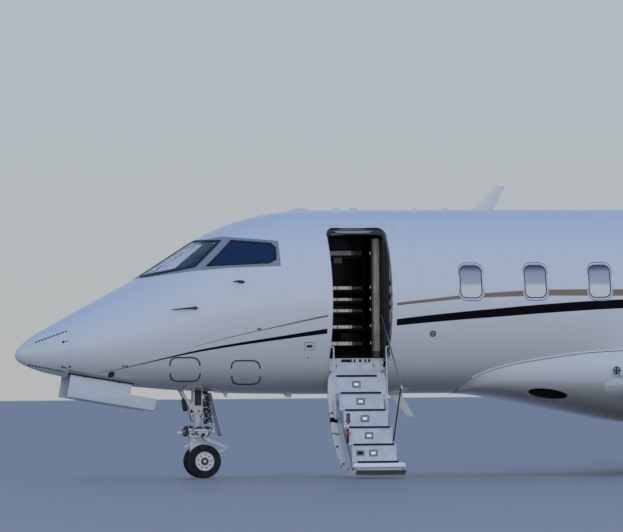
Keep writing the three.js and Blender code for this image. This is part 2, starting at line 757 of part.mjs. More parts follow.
function addWings() {
  const panel = aboveWing(SPOILER.skin, spoilerBox({ end: 0, aft: SPOILER.width, ahead: 0 }));
  const spoiler = common(lifting(WING), panel);
  const room = { end: RUNNING, aft: SPOILER.width + RUNNING, ahead: SPOILER.room };
  const spoilerBay = aboveWing(SPOILER.skin + RUNNING, spoilerBox(room));
  const pins = endPins(spoilerHinge(SPOILER.from).point, spoilerHinge(SPOILER.to).point, RUNNING);
  const whole = join(cut(lifting(WING), spoilerBay), ...pins);
  const flap = splitSurface(whole, WING, FLAP);
  const aileron = splitSurface(flap.parent, WING, AILERON);
  addPair('wing', aileron.parent, WHITE);
  addPair('flap', flap.moving, WHITE);
  addPair('aileron', aileron.moving, WHITE);
  addPair('spoiler', spoiler, WHITE);
}

function addTail() {
  const tailHalf = splitSurface(lifting(TAILPLANE), TAILPLANE, ELEVATOR);
  const bullet = turnedAlongX([[17560, 0], [17600, 40], [17900, 105], [18900, 125], [19900, 70], [20180, 20],
    [20200, 0]], 0, 6010, 20);
  const tailplane = join(tailHalf.parent, mirrored(tailHalf.parent), bullet);
  addPart('tailplane', tailplane, WHITE);
  addPair('elevator', tailHalf.moving, WHITE);
  const rudder = splitSurface(lifting(FIN), FIN, RUDDER);
  const grown = [lifting(TAILPLANE, FIT), mirrored(lifting(TAILPLANE, FIT))];
  const bulletRoom = turnedAlongX([
    [17550, 0], [17595, 41], [17900, 106], [18900, 126], [19900, 71], [20180, 21], [20205, 0],
  ], 0, 6010, 20);
  addPart('fin', cut(rudder.parent, fuselage(13000, TAIL_END, -FIT), ...grown, bulletRoom), WHITE);
  addPart('rudder', rudder.moving, WHITE);
}

function addEngines() {
  const cowl = turnedAlongX(NACELLE_PROFILE, ENGINE.y, ENGINE.z, ENGINE.sides, true);
  const pylonPlan = [
    [PYLON.front, PYLON.root], [PYLON.rear - 100, PYLON.root],
    [PYLON.rear, ENGINE.y], [PYLON.front + 150, ENGINE.y],
  ];
  const pylon = cut(
    planPrism(pylonPlan, PYLON.bottom, PYLON.top),
    fuselage(12000, TAIL_END, -FIT),
    turnedAlongX([[13000, 0], [13000, 500], [17000, 500], [17000, 0]], ENGINE.y, ENGINE.z, ENGINE.sides),
  );
  addPair('nacelle', join(cowl, pylon), WHITE);
  addPair('engine', turnedAlongX(ENGINE_PROFILE, ENGINE.y, ENGINE.z, ENGINE.sides), SILVER);
  addPair('fan', fan(), GREY);
}

function fan() {
  const { nose, back, hub, tip, blades, chord, disc } = FAN;
  const spinner = turnedAlongX([
    [nose, 0], [nose + 20, 30], [nose + 150, 90], [disc - 60, hub], [back, hub], [back, 0],
  ], 0, 0, 16);
  const vanes = [];
  for (let i = 0; i < blades; i += 1) {
    const vane = new THREE.BoxGeometry(chord, 16, tip - hub + 30);
    vane.rotateZ(0.6);
    vane.translate(xOf(disc), 0, (tip + hub - 30) / 2);
    vane.rotateX(2 * Math.PI * i / blades);
    vanes.push(vane);
  }
  const whole = geometryOf(join(spinner, ...vanes));
  whole.translate(0, ENGINE.y, ENGINE.z);
  return whole;
}

// Turns a shape made in the closed place of the door to its open place
function swungOpen(shape) {
  const geometry = geometryOf(shape);
  geometry.translate(0, -HINGE.y, -HINGE.z);
  geometry.rotateX(-OPEN_ANGLE);
  geometry.translate(0, HINGE.y, HINGE.z);
  return geometry;
}

function addAirstair() {
  const sheet = cut(fuselage(3900, DOOR_FRAME_JOINT), fuselage(3800, DOOR_FRAME_JOINT + 50, DOOR_SHELL));
  const outer = common(sheet, sidePrism(doorOutline(RUNNING), 300, 1500));
  const panel = cut(outer, belowWaist(DOOR_REVEAL_Y + 10), ...stayRooms());
  const lugRoom = LUG_STATIONS.map(([from, to]) => {
    return hingeBar([from - RUNNING, to + RUNNING], HINGE.radius + RUNNING);
  });
  const knuckles = KNUCKLE_STATIONS.flatMap((span) => [
    hingeBar(span, HINGE.radius),
    block(span[0], span[1], HINGE.y - 12, HINGE.y + 12, HINGE.z, HINGE.z + 60),
  ]);
  const grooved = cut(panel, ...lugRoom);
  const linked = join(grooved, ...knuckles);
  addPart('airstair_door', swungOpen(linked), WHITE);
  const insideOfDoor = swungOpen(fuselage(3900, DOOR_FRAME_JOINT, DOOR_SHELL + FIT));
  addPart('airstair_steps', common(steps(), insideOfDoor), TREAD);
}

// Grooves in the closed door for the stays, which then point up from their pivots
function stayRooms() {
  const { topY, topZ, lowY, lowZ, radius } = STAY;
  return Object.values(STAY_STATIONS).flatMap((station) => {
    const edge = station < 4500 ? DOOR.front : DOOR.rear;
    const reach = 1.02;
    const end = [station, topY - reach * (lowY - topY), topZ - reach * (lowZ - topZ)];
    const past = station + Math.sign(station - edge) * (radius + RUNNING);
    return [
      rod([edge, topY, topZ], [past, topY, topZ], radius + RUNNING),
      rod([station, topY, topZ], end, radius + RUNNING),
    ];
  });
}

// Flight of steps in its open place, with a stepped cheek plate on each side
function steps() {
  const upper = [];
  for (let i = 0; i < STEP.count; i += 1) {
    const y = STEP.firstY + i * STEP.run;
    const z = STEP.firstZ - i * STEP.rise;
    if (i > 0) upper.push([y - STEP.run, z]);
    upper.push([y, z]);
  }
  const lower = upper.map(([y, z]) => [y - STEP.sheet, z - STEP.sheet]).reverse();
  const end = upper[upper.length - 1];
  const sheet = [...upper, [end[0], end[1] - 110], [end[0] - STEP.sheet, end[1] - 110], ...lower];
  const flight = frontPrism(sheet, STEP.front - 5, STEP.rear + 5);
  const cheek = [
    ...upper.map(([y, z]) => [y - CHEEK.back, z - CHEEK.down]),
    [end[0] - CHEEK.back, 0], [1400, 0], [700, 700], [700, 1200],
  ];
  const front = frontPrism(cheek, STEP.front - CHEEK.width, STEP.front);
  const rear = frontPrism(cheek, STEP.rear, STEP.rear + CHEEK.width);
  return join(flight, front, rear);
}

function addStays() {
  Object.entries(STAY_STATIONS).forEach(([name, station]) => {
    const jamb = name.endsWith('front') ? DOOR.front + FIT : DOOR.rear - FIT;
    const bar = rod([station, STAY.topY, STAY.topZ], [station, STAY.lowY, STAY.lowZ], STAY.radius);
    const pin = rod([jamb, STAY.topY, STAY.topZ], [station, STAY.topY, STAY.topZ], STAY.radius);
    addPart(name, join(bar, pin), WHITE);
  });
}

function addHandrail() {
  const { footY, footZ, kneeY, kneeZ, topY, topZ, radius, postStation, railStation } = RAIL;
  const cheekFace = STEP.rear + CHEEK.width;
  const post = join(
    rod([postStation, footY, footZ], [postStation, kneeY, kneeZ], radius),
    rod([cheekFace + FIT, footY, footZ], [postStation, footY, footZ], radius),
    rod([postStation, kneeY, kneeZ], [(postStation + railStation) / 2 - FIT / 2, kneeY, kneeZ], radius),
  );
  addPart('airstair_post', post, GREY);
  const rail = join(
    rod([railStation, kneeY, kneeZ], [railStation, topY, topZ], radius),
    rod([(postStation + railStation) / 2 + FIT / 2, kneeY, kneeZ], [railStation, kneeY, kneeZ], radius),
  );
  addPart('airstair_rail', rail, GREY);
}

function wheelRadius(tyre, sides) {
  return tyre.radius * Math.cos(Math.PI / sides);
}

function tyreAt(tyre, y, station, z, sides) {
  const half = tyre.width / 2;
  const shoulder = tyre.radius * 0.93;
  const profile = [
    [y - half * 0.72, tyre.bead], [y - half, shoulder * 0.88], [y - half * 0.56, tyre.radius],
    [y + half * 0.56, tyre.radius], [y + half, shoulder * 0.88], [y + half * 0.72, tyre.bead],
  ];
  return turnedAlongY(profile, station, z, sides, true);
}

// Two wheels on one axle, as one turned piece
function spool(tyre, y, spacing, axleRadius, station, z, sides) {
  const half = tyre.width / 2;
  const rim = tyre.bead - FIT;
  const side = (sign) => [
    [y + sign * (spacing - half * 0.72), axleRadius], [y + sign * (spacing - half * 0.72), rim],
    [y + sign * (spacing + half * 0.72), rim], [y + sign * (spacing + half * 0.3), rim * 0.84],
    [y + sign * (spacing + half * 0.6), rim * 0.28], [y + sign * (spacing + half * 0.6), 0],
  ];
  return turnedAlongY([...side(-1).reverse(), ...side(1)], station, z, sides);
}

function axleSleeve(y, width, axleRadius, outer, station, z, sides) {
  const bore = (axleRadius + FIT) / Math.cos(Math.PI / sides) + 0.1;
  const from = y - width / 2;
  const to = y + width / 2;
  return turnedAlongY([[from, bore], [from, outer], [to, outer], [to, bore]], station, z, sides, true);
}

function axleBore(y, width, axleRadius, station, z, sides) {
  const bore = (axleRadius + FIT) / Math.cos(Math.PI / sides) + 0.1;
  const from = y - width;
  const to = y + width;
  return turnedAlongY([[from, 0], [from, bore], [to, bore], [to, 0]], station, z, sides);
}

function addNoseGear() {
  const { axle, steer, wheelY, sides } = NOSE_GEAR;
  const axleZ = wheelRadius(NOSE_TYRE, sides);
  const axleRadius = 22;
  addPart('nose_wheels', spool(NOSE_TYRE, 0, wheelY, axleRadius, axle, axleZ, sides), WHITE);
  addPart('nose_tyre_left', tyreAt(NOSE_TYRE, wheelY, axle, axleZ, sides), RUBBER);
  addPart('nose_tyre_right', tyreAt(NOSE_TYRE, -wheelY, axle, axleZ, sides), RUBBER);
  addPart('nose_gear_fork', noseFork(axleZ, axleRadius), WHITE);
  addPart('nose_gear_leg', noseLeg(), WHITE);
  addGearDoors();
}

// Everything that steers with the wheels, but the wheels
function noseFork(axleZ, axleRadius) {
  const { axle, steer, sides } = NOSE_GEAR;
  const collar = sidePrism([
    [steer - 95, COLLAR.bottom + 20], [steer - 60, COLLAR.top], [steer + 90, COLLAR.top],
    [steer + 175, COLLAR.bottom + 60], [steer + 165, COLLAR.bottom], [steer - 60, COLLAR.bottom],
  ], -COLLAR.width, COLLAR.width);
  const lamp = rod([steer - TAXI_LAMP.reach, 0, TAXI_LAMP.z], [steer, 0, TAXI_LAMP.z], TAXI_LAMP.radius, 14);
  const piston = rod([steer, 0, 300], [steer, 0, COLLAR.bottom + 50], 38, 14);
  const arm = sidePrism([
    [steer - 45, 400], [steer + 45, 400], [axle + 45, axleZ + 10], [axle + 30, axleZ - 30],
    [axle - 30, axleZ - 30], [steer - 45, 300],
  ], -45, 45);
  const sleeve = axleSleeve(0, 110, axleRadius, 48, axle, axleZ, sides);
  const upperLink = sidePrism([
    [steer + 100, 560], [steer + 170, 560], [2935, 425], [2915, 395], [2890, 400],
  ], -22, 22);
  const lowerLink = sidePrism([[2935, 425], [2940, 395], [2620, 260], [2600, 300], [2880, 420]], -22, 22);
  const bore = axleBore(0, 200, axleRadius, axle, axleZ, sides);
  return cut(join(collar, lamp, piston, arm, sleeve, upperLink, lowerLink), bore);
}

function noseLeg() {
  const { steer } = NOSE_GEAR;
  const column = rod([steer, 0, COLLAR.top + FIT], [steer, 0, NOSE_BAY.roof - FIT], 68, 16);
  const braces = [-1, 1].map((side) => {
    return rod([steer - 30, side * 45, 900], [2040, side * 75, NOSE_BAY.roof - 20], 24, 12);
  });
  const braceFoot = block(2000, 2080, -95, 95, NOSE_BAY.roof - 60, NOSE_BAY.roof - FIT);
  const actuator = rod([steer - 60, 0, 930], [steer - 105, 0, 1250], 28, 12);
  const flap = sidePrism([[2665, 1130], [2690, 1130], [2815, 575], [2790, 575]], -105, 105);
  const arm = block(steer, 2760, -16, 16, 800, 850);
  return join(column, ...braces, braceFoot, actuator, flap, arm);
}

// Height of the hinge line of the nose gear doors, which follows the keel
function gearHingeZ(station) {
  return GEAR_DOOR.frontZ - GEAR_DOOR.slope * (station - GEAR_DOOR.front);
}

function gearHingeBar([from, to], radius) {
  return rod([from, GEAR_DOOR.y, gearHingeZ(from)], [to, GEAR_DOOR.y, gearHingeZ(to)], radius);
}

// Sill along the edge of the gear bay, and the lugs on it that carry a nose gear door
function gearDoorMounting() {
  const { y, knuckle } = GEAR_DOOR;
  const { low, high, thickness } = GEAR_DOOR_SILL;
  const { front, step, wide } = NOSE_BAY;
  const sill = sidePrism([
    [front, gearHingeZ(front) - low], [step, gearHingeZ(step) - low],
    [step, gearHingeZ(step) + high], [front, gearHingeZ(front) + high],
  ], wide, wide + thickness);
  const lugs = GEAR_DOOR_LUGS.flatMap(([from, to]) => {
    const z = gearHingeZ((from + to) / 2);
    const web = block(from + 3, to - 3, y, wide + thickness / 2, z - 6, z + 6);
    return [gearHingeBar([from, to], knuckle), web];
  });
  return [sill, ...lugs];
}

// Point on an open gear door, along its hinge line and square down from it
function gearDoorPoint(along, down) {
  const angle = Math.atan(GEAR_DOOR.slope);
  return [
    GEAR_DOOR.front + along * Math.cos(angle) - down * Math.sin(angle),
    GEAR_DOOR.frontZ - along * Math.sin(angle) - down * Math.cos(angle),
  ];
}

// Doors that hang open beside the bay; the aft part of each is only as deep as its lower edge
function addGearDoors() {
  const { y, thickness, length, drop, tail, tailDrop, knuckle } = GEAR_DOOR;
  const outline = [
    gearDoorPoint(0, 0), gearDoorPoint(length, 0), gearDoorPoint(length, tailDrop),
    gearDoorPoint(length + tail, tailDrop), gearDoorPoint(length + tail - 15, drop), gearDoorPoint(0, drop),
  ];
  const panel = sidePrism(outline, y - thickness / 2, y + thickness / 2);
  const room = GEAR_DOOR_LUGS.map(([from, to]) => {
    return gearHingeBar([from - RUNNING, to + RUNNING], 2 * knuckle + 2);
  });
  const knuckles = GEAR_DOOR_KNUCKLES.map((span) => gearHingeBar(span, knuckle));
  const webs = GEAR_DOOR_KNUCKLES.map(([from, to]) => {
    return block(from + 4, to - 4, y - 6, y + 6, gearHingeZ(from) - 30, gearHingeZ(to));
  });
  addPair('nose_gear_door', join(cut(panel, ...room), ...knuckles, ...webs), WHITE);
}

function addMainGear() {
  const { axle, y, wheelY, sides } = MAIN_GEAR;
  const axleZ = wheelRadius(MAIN_TYRE, sides);
  const axleRadius = 34;
  addPair('main_wheels', spool(MAIN_TYRE, y, wheelY, axleRadius, axle, axleZ, sides), WHITE);
  addPair('main_tyre_outer', tyreAt(MAIN_TYRE, y + wheelY, axle, axleZ, sides), RUBBER);
  addPair('main_tyre_inner', tyreAt(MAIN_TYRE, y - wheelY, axle, axleZ, sides), RUBBER);
  addPair('main_gear_leg', mainLeg(axleZ, axleRadius), WHITE);
}

function mainLeg(axleZ, axleRadius) {
  const { axle, y, sides, strut } = MAIN_GEAR;
  const post = rod([strut, y, 450], [strut, y, 1100], 55, 14);
  const knee = rod([strut, y - 30, 470], [strut, y + 30, 470], 60, 14);
  const link = sidePrism([
    [strut - 50, 510], [strut + 50, 530], [axle + 45, axleZ + 35], [axle + 40, axleZ - 45],
    [axle - 20, axleZ - 55], [strut - 60, 440],
  ], y - 34, y + 34);
  const shock = rod([axle + 10, y, axleZ + 60], [strut + 120, y, 1100], 30, 14);
  const brace = rod([strut, y - 20, 620], [strut - 20, y - 420, 1000], 26, 12);
  const sleeve = axleSleeve(y, 84, axleRadius, 62, axle, axleZ, sides);
  const bore = axleBore(y, 200, axleRadius, axle, axleZ, sides);
  const leg = join(post, knee, link, shock, brace, sleeve);
  return cut(leg, bore, wingRoom(), ...bothSides(fairingRoom()));
}

// Space that the belly fairing fills, a little larger, for pieces that end on it
function fairingRoom() {
  return skin(FAIRING.map((row) => {
    const grown = { ...row, half: row.half + FIT, keel: row.keel - FIT, lip: row.lip + FIT };
    return fairingRing(grown);
  }));
}

function addBladeAntenna() {
  const blade = sidePrism([
    [6358, 3580], [6654, 3580], [6654, 3640], [6826, 3941], [6713, 3941], [6358, 3640],
  ], -8, 8);
  addPart('blade_antenna', cut(blade, fuselage(5400, 8000, -FIT)), WHITE);
}

function build() {
  addRadome();
  addForwardFuselage();
  addCentreFuselage();
  addAftFuselage();
  addCabinWindows();
  addCockpitGlass();
  addCabinFloor();
  addInstrumentPanel();
  addPilotSeats();
  addGalley();
  addCabinPartition();
  addFairing();
  addWings();
  addTail();
  addEngines();
  addAirstair();
  addStays();
  addHandrail();
  addNoseGear();
  addMainGear();
  addBladeAntenna();
}

build();

export default jet;
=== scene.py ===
import random
from math import atan2, copysign, cos, pi, radians, sin, sqrt, tan

import bmesh
import bpy
import numpy as np
from mathutils import Matrix, Vector


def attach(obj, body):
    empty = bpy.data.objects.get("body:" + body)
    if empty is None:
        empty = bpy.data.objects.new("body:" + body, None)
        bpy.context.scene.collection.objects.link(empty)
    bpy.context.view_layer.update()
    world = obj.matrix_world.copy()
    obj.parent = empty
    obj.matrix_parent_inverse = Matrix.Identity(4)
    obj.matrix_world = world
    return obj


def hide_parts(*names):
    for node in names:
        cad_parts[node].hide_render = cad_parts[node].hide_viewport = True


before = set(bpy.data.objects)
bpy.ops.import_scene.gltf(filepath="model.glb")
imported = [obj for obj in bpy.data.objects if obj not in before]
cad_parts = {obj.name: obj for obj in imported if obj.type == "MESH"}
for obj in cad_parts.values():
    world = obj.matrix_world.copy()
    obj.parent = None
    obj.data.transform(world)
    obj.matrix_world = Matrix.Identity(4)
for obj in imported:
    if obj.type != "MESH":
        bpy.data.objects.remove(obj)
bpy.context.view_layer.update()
print("frame loaded")

noseX = 10.45  # x of station 0; a station is the distance aft of it
hullWall = 0.085
hinge = Vector((0.0, 0.763, 1.4))  # airstair hinge line, along x
openAngle = radians(134.4)
flanks = ((1, "Left"), (-1, "Right"))
lowFlanks = ((1, "left"), (-1, "right"))

# Fuselage shape: station, crown, keel, half width, height of the widest line
fuselageRows = [(0.025, 1.683, 1.663, 0.008, 1.673), (0.045, 1.734, 1.615, 0.058, 1.674),
    (0.092, 1.793, 1.57, 0.13, 1.677), (0.179, 1.869, 1.526, 0.205, 1.686), (0.265, 1.935, 1.489, 0.272, 1.696),
    (0.352, 1.985, 1.458, 0.335, 1.708), (0.439, 2.032, 1.434, 0.393, 1.719), (0.612, 2.128, 1.394, 0.485, 1.744),
    (0.77, 2.214, 1.357, 0.554, 1.766), (1.03, 2.356, 1.312, 0.65, 1.81), (1.36, 2.529, 1.263, 0.757, 1.88),
    (1.59, 2.645, 1.23, 0.822, 1.93), (1.85, 2.81, 1.206, 0.89, 1.995), (2.18, 3.018, 1.176, 0.968, 2.085),
    (2.51, 3.227, 1.16, 1.035, 2.17), (2.85, 3.388, 1.145, 1.092, 2.24), (3.18, 3.496, 1.135, 1.135, 2.292),
    (3.51, 3.567, 1.13, 1.168, 2.33), (3.84, 3.603, 1.123, 1.19, 2.355), (4.2, 3.616, 1.12, 1.203, 2.367),
    (4.6, 3.618, 1.12, 1.21, 2.369), (12.6, 3.618, 1.12, 1.21, 2.369), (13.4, 3.612, 1.175, 1.19, 2.395),
    (14.2, 3.6, 1.3, 1.14, 2.45), (15.1, 3.575, 1.49, 1.055, 2.535), (16.0, 3.54, 1.72, 0.93, 2.63),
    (16.9, 3.49, 1.985, 0.77, 2.74), (17.8, 3.42, 2.27, 0.58, 2.85), (18.7, 3.32, 2.56, 0.375, 2.95),
    (19.3, 3.22, 2.77, 0.215, 3.0), (19.55, 3.12, 2.89, 0.11, 3.01)]

# Materials


def addNode(tree, kind, inputs=(), **settings):  # an input is linked from a socket or set to a value
    row, column = divmod(len(tree.nodes), 8)
    node = tree.nodes.new(kind)
    node.location = (column * 220 - 1900, -row * 300)
    for key, value in settings.items():
        setattr(node, key, value)
    for key, value in dict(inputs).items():
        if isinstance(value, bpy.types.NodeSocket):
            tree.links.new(value, node.inputs[key])
        else:
            node.inputs[key].default_value = value
    return node


def intoShader(tree, source, name):
    tree.links.new(source, tree.nodes["Principled BSDF"].inputs[name])


def newMaterial(name, base, rough, metal=0.0, coat=0.0, coatRough=0.05, spec=0.5):
    mat = bpy.data.materials.new(name)
    mat.use_nodes = True
    mat.diffuse_color = (*base, 1)
    inputs = mat.node_tree.nodes["Principled BSDF"].inputs
    for key, value in (("Base Color", (*base, 1)), ("Roughness", rough), ("Metallic", metal), ("Coat Weight", coat),
            ("Coat Roughness", coatRough), ("Specular IOR Level", spec)):
        inputs[key].default_value = value
    return mat


def noiseOf(tree, scale, detail=3.0, stretch=None):
    spot = addNode(tree, "ShaderNodeTexCoord").outputs["Object"]
    if stretch:
        spot = addNode(tree, "ShaderNodeMapping", {"Scale": stretch, "Vector": spot}).outputs["Vector"]
    return addNode(tree, "ShaderNodeTexNoise", {"Scale": scale, "Detail": detail, "Vector": spot}).outputs["Fac"]


def roughBetween(tree, scale, low, high, stretch=None):  # worn or cleaned patches
    spread = addNode(tree, "ShaderNodeMapRange", {"Value": noiseOf(tree, scale, 4, stretch), "From Min": 0.35,
        "From Max": 0.65, "To Min": low, "To Max": high})
    intoShader(tree, spread.outputs["Result"], "Roughness")


def rampOf(tree, value, stops):
    ramp = addNode(tree, "ShaderNodeValToRGB", {"Fac": value})
    elements = ramp.color_ramp.elements
    for i, (at, tint) in enumerate(stops):
        element = elements[i] if i < 2 else elements.new(at)
        element.position, element.color = at, (*tint, 1)
    return ramp.outputs["Color"]


def tintBetween(tree, scale, first, second, stretch=None, band=(0.35, 0.65)):
    tint = rampOf(tree, noiseOf(tree, scale, 5, stretch), ((band[0], first), (band[1], second)))
    intoShader(tree, tint, "Base Color")
    return tint


def grain(tree, scale, strength, distance=0.001, stretch=None):
    bump = addNode(tree, "ShaderNodeBump", {"Strength": strength, "Distance": distance,
        "Height": noiseOf(tree, scale, 3, stretch)})
    intoShader(tree, bump.outputs["Normal"], "Normal")


stripeLook = {
    "range": (0.0, 16.0),  # stations that the curves cover
    "height": (1.2, 2.8),  # heights that the curves cover
    "thick": 0.2, "softEdge": 0.0015,  # thickness that the curves cover, soft edge of the masking
    "dullness": 0.94,  # less shine on the black stripe
    "doorMargin": (4.068, 5.012),
    "black": (0.006, 0.005, 0.008),
    "bronze": (0.264, 0.178, 0.118),
    # station, height, thickness of each stripe along the fuselage
    "blackRows": [
        (1.07, 1.425, 0.006), (1.405, 1.49, 0.01),
        (1.591, 1.535, 0.013), (1.847, 1.596, 0.018), (2.365, 1.71, 0.03),
        (2.862, 1.793, 0.038), (3.422, 1.873, 0.048),
        (4.063, 1.961, 0.067), (5.015, 2.074, 0.089), (5.871, 2.155, 0.106),
        (6.424, 2.198, 0.115), (7.118, 2.251, 0.122),
        (8.094, 2.305, 0.122), (9.0, 2.33, 0.12), (11.0, 2.345, 0.115),
        (13.0, 2.4, 0.095), (15.2, 2.55, 0.01),
    ],
    "bronzeRows": [
        (2.3, 1.765, 0.006), (2.751, 1.886, 0.01),
        (3.28, 2.002, 0.015), (3.814, 2.117, 0.025), (4.063, 2.166, 0.028),
        (5.041, 2.319, 0.037), (5.593, 2.377, 0.044), (6.0, 2.416, 0.055), (6.424, 2.439, 0.066), (7.0, 2.46, 0.08),
        (7.468, 2.463, 0.086), (8.04, 2.46, 0.089), (9.5, 2.466, 0.09), (11.0, 2.47, 0.08), (13.0, 2.54, 0.06),
        (15.2, 2.7, 0.008),
    ],
}


bellyShadeLook = {"low": 1.05, "high": 1.57, "dark": 0.44}  # painted shade below the waist: the paint gets darker towards the belly
orangePeel = (38, 0.015, 0.002)


def mathNode(tree, operation, *values, clamp=False):
    return addNode(tree, "ShaderNodeMath", enumerate(values), operation=operation, use_clamp=clamp).outputs["Value"]


def curveOf(tree, share, rows, column, low, high):
    node = addNode(tree, "ShaderNodeFloatCurve", {"Value": share})
    curve = node.mapping.curves[0]
    first, last = stripeLook["range"]
    points = [((r[0] - first) / (last - first), (r[column] - low) / (high - low)) for r in rows]
    curve.points[0].location, curve.points[1].location = points[0], points[-1]
    for point in points[1:-1]:
        curve.points.new(*point)
    node.mapping.update()
    return node.outputs["Value"]


def stripeMask(tree, rows, station, height):
    first, last = stripeLook["range"]
    low, high = stripeLook["height"]
    share = mathNode(tree, "DIVIDE", mathNode(tree, "SUBTRACT", station, first), last - first)
    middle = mathNode(tree, "MULTIPLY_ADD", curveOf(tree, share, rows, 1, low, high), high - low, low)
    half = mathNode(tree, "MULTIPLY", curveOf(tree, share, rows, 2, 0, stripeLook["thick"]),
        stripeLook["thick"] / 2)
    away = mathNode(tree, "ABSOLUTE", mathNode(tree, "SUBTRACT", height, middle))
    mask = mathNode(tree, "DIVIDE", mathNode(tree, "SUBTRACT", half, away), stripeLook["softEdge"], clamp=True)
    begin = mathNode(tree, "GREATER_THAN", station, rows[0][0])
    end = mathNode(tree, "LESS_THAN", station, rows[-1][0])
    return mathNode(tree, "MULTIPLY", mask, mathNode(tree, "MULTIPLY", begin, end))


def besideDoor(tree, mask, station, across):  # plain margin round the doorway
    first, last = stripeLook["doorMargin"]
    away = mathNode(tree, "ABSOLUTE", mathNode(tree, "SUBTRACT", station, (first + last) / 2))
    inside = mathNode(tree, "LESS_THAN", away, (last - first) / 2)
    inside = mathNode(tree, "MULTIPLY", inside, mathNode(tree, "GREATER_THAN", across, 0))
    return mathNode(tree, "MULTIPLY", mask, mathNode(tree, "SUBTRACT", 1, inside))


def partsOf(tree, spot=None):
    spot = spot or addNode(tree, "ShaderNodeTexCoord").outputs["Object"]
    return addNode(tree, "ShaderNodeSeparateXYZ", {"Vector": spot}).outputs


# painted shade: the paint's base colour darkens by height towards the belly
def bellyPaintedShade(tree, tint):
    share = addNode(tree, "ShaderNodeMapRange", {"Value": partsOf(tree)["Z"], "From Min": bellyShadeLook["low"],
        "From Max": bellyShadeLook["high"], "To Min": bellyShadeLook["dark"], "To Max": 1},
        interpolation_type="SMOOTHSTEP").outputs["Result"]
    scaled = addNode(tree, "ShaderNodeVectorMath", {0: tint, "Scale": share}, operation="SCALE")
    intoShader(tree, scaled.outputs["Vector"], "Base Color")


def aircraftPaint(name, base=(0.747, 0.752, 0.745), striped=False, swung=False, belly=False):
    mat = newMaterial(name, base, 0.22, coat=1.0, coatRough=0.03)
    tree = mat.node_tree
    grain(tree, *orangePeel)
    if not striped:
        tint = tintBetween(tree, 0.9, [c * 0.985 for c in base], base)
        if belly:
            bellyPaintedShade(tree, tint)
        return mat
    spot = addNode(tree, "ShaderNodeTexCoord").outputs["Object"]
    if swung:  # the door lies open, so its pattern is read in the closed place
        turn = Matrix.Rotation(openAngle, 3, "X")
        spot = addNode(tree, "ShaderNodeMapping", {"Rotation": (openAngle, 0, 0), "Location": hinge - turn @ hinge,
            "Vector": spot}).outputs["Vector"]
    parts = partsOf(tree, spot)
    station = mathNode(tree, "SUBTRACT", noseX, parts["X"])
    tint = (*base, 1)
    for key in ("black", "bronze"):
        mask = stripeMask(tree, stripeLook[key + "Rows"], station, parts["Z"])
        if not swung:
            mask = besideDoor(tree, mask, station, parts["Y"])
        mix = addNode(tree, "ShaderNodeMix", {}, data_type="RGBA")
        tree.links.new(mask, mix.inputs["Factor"])
        mixFrom, mixTo = [s for s in mix.inputs if s.type == "RGBA"]
        mixTo.default_value = (*stripeLook[key], 1)
        if key == "black":
            mixFrom.default_value = tint
            shine = mathNode(tree, "SUBTRACT", 1, mathNode(tree, "MULTIPLY", mask, stripeLook["dullness"]))
            intoShader(tree, shine, "Coat Weight")
            intoShader(tree, mathNode(tree, "MULTIPLY", shine, 0.5), "Specular IOR Level")
        else:
            tree.links.new(tint, mixFrom)
        tint = next(s for s in mix.outputs if s.type == "RGBA")
    if swung:
        intoShader(tree, tint, "Base Color")
    else:
        bellyPaintedShade(tree, tint)
    return mat


def glass(name, tint, rough=0.02, through=0.0):
    mat = newMaterial(name, tint, rough, coat=0.2, coatRough=0.01, spec=0.4)
    inputs = mat.node_tree.nodes["Principled BSDF"].inputs
    inputs["IOR"].default_value, inputs["Transmission Weight"].default_value = 1.5, through
    grain(mat.node_tree, 2.0, 0.01, 0.002)
    return mat


blindAndReflectionLook = {  # glass colour by height: the pale lower part is the half drawn blind and the bright horizon's painted reflection, the dark top is a painted reflection of the sky
    "heights": (2.395, 2.835),
    "stops": [(0.0, (0.8, 0.77, 0.72)), (0.36, (0.8, 0.77, 0.73)), (0.46, (0.5, 0.52, 0.54)),
              (0.78, (0.42, 0.45, 0.49)), (0.93, (0.1, 0.13, 0.22))],
}


def cabinGlass():
    mat = glass("cabinGlass", (0.2, 0.2, 0.2))
    tree = mat.node_tree
    low, high = blindAndReflectionLook["heights"]
    share = addNode(tree, "ShaderNodeMapRange", {"Value": partsOf(tree)["Z"], "From Min": low, "From Max": high})
    # painted reflection and blind: the glass colour follows height
    intoShader(tree, rampOf(tree, share.outputs["Result"], blindAndReflectionLook["stops"]), "Base Color")
    return mat


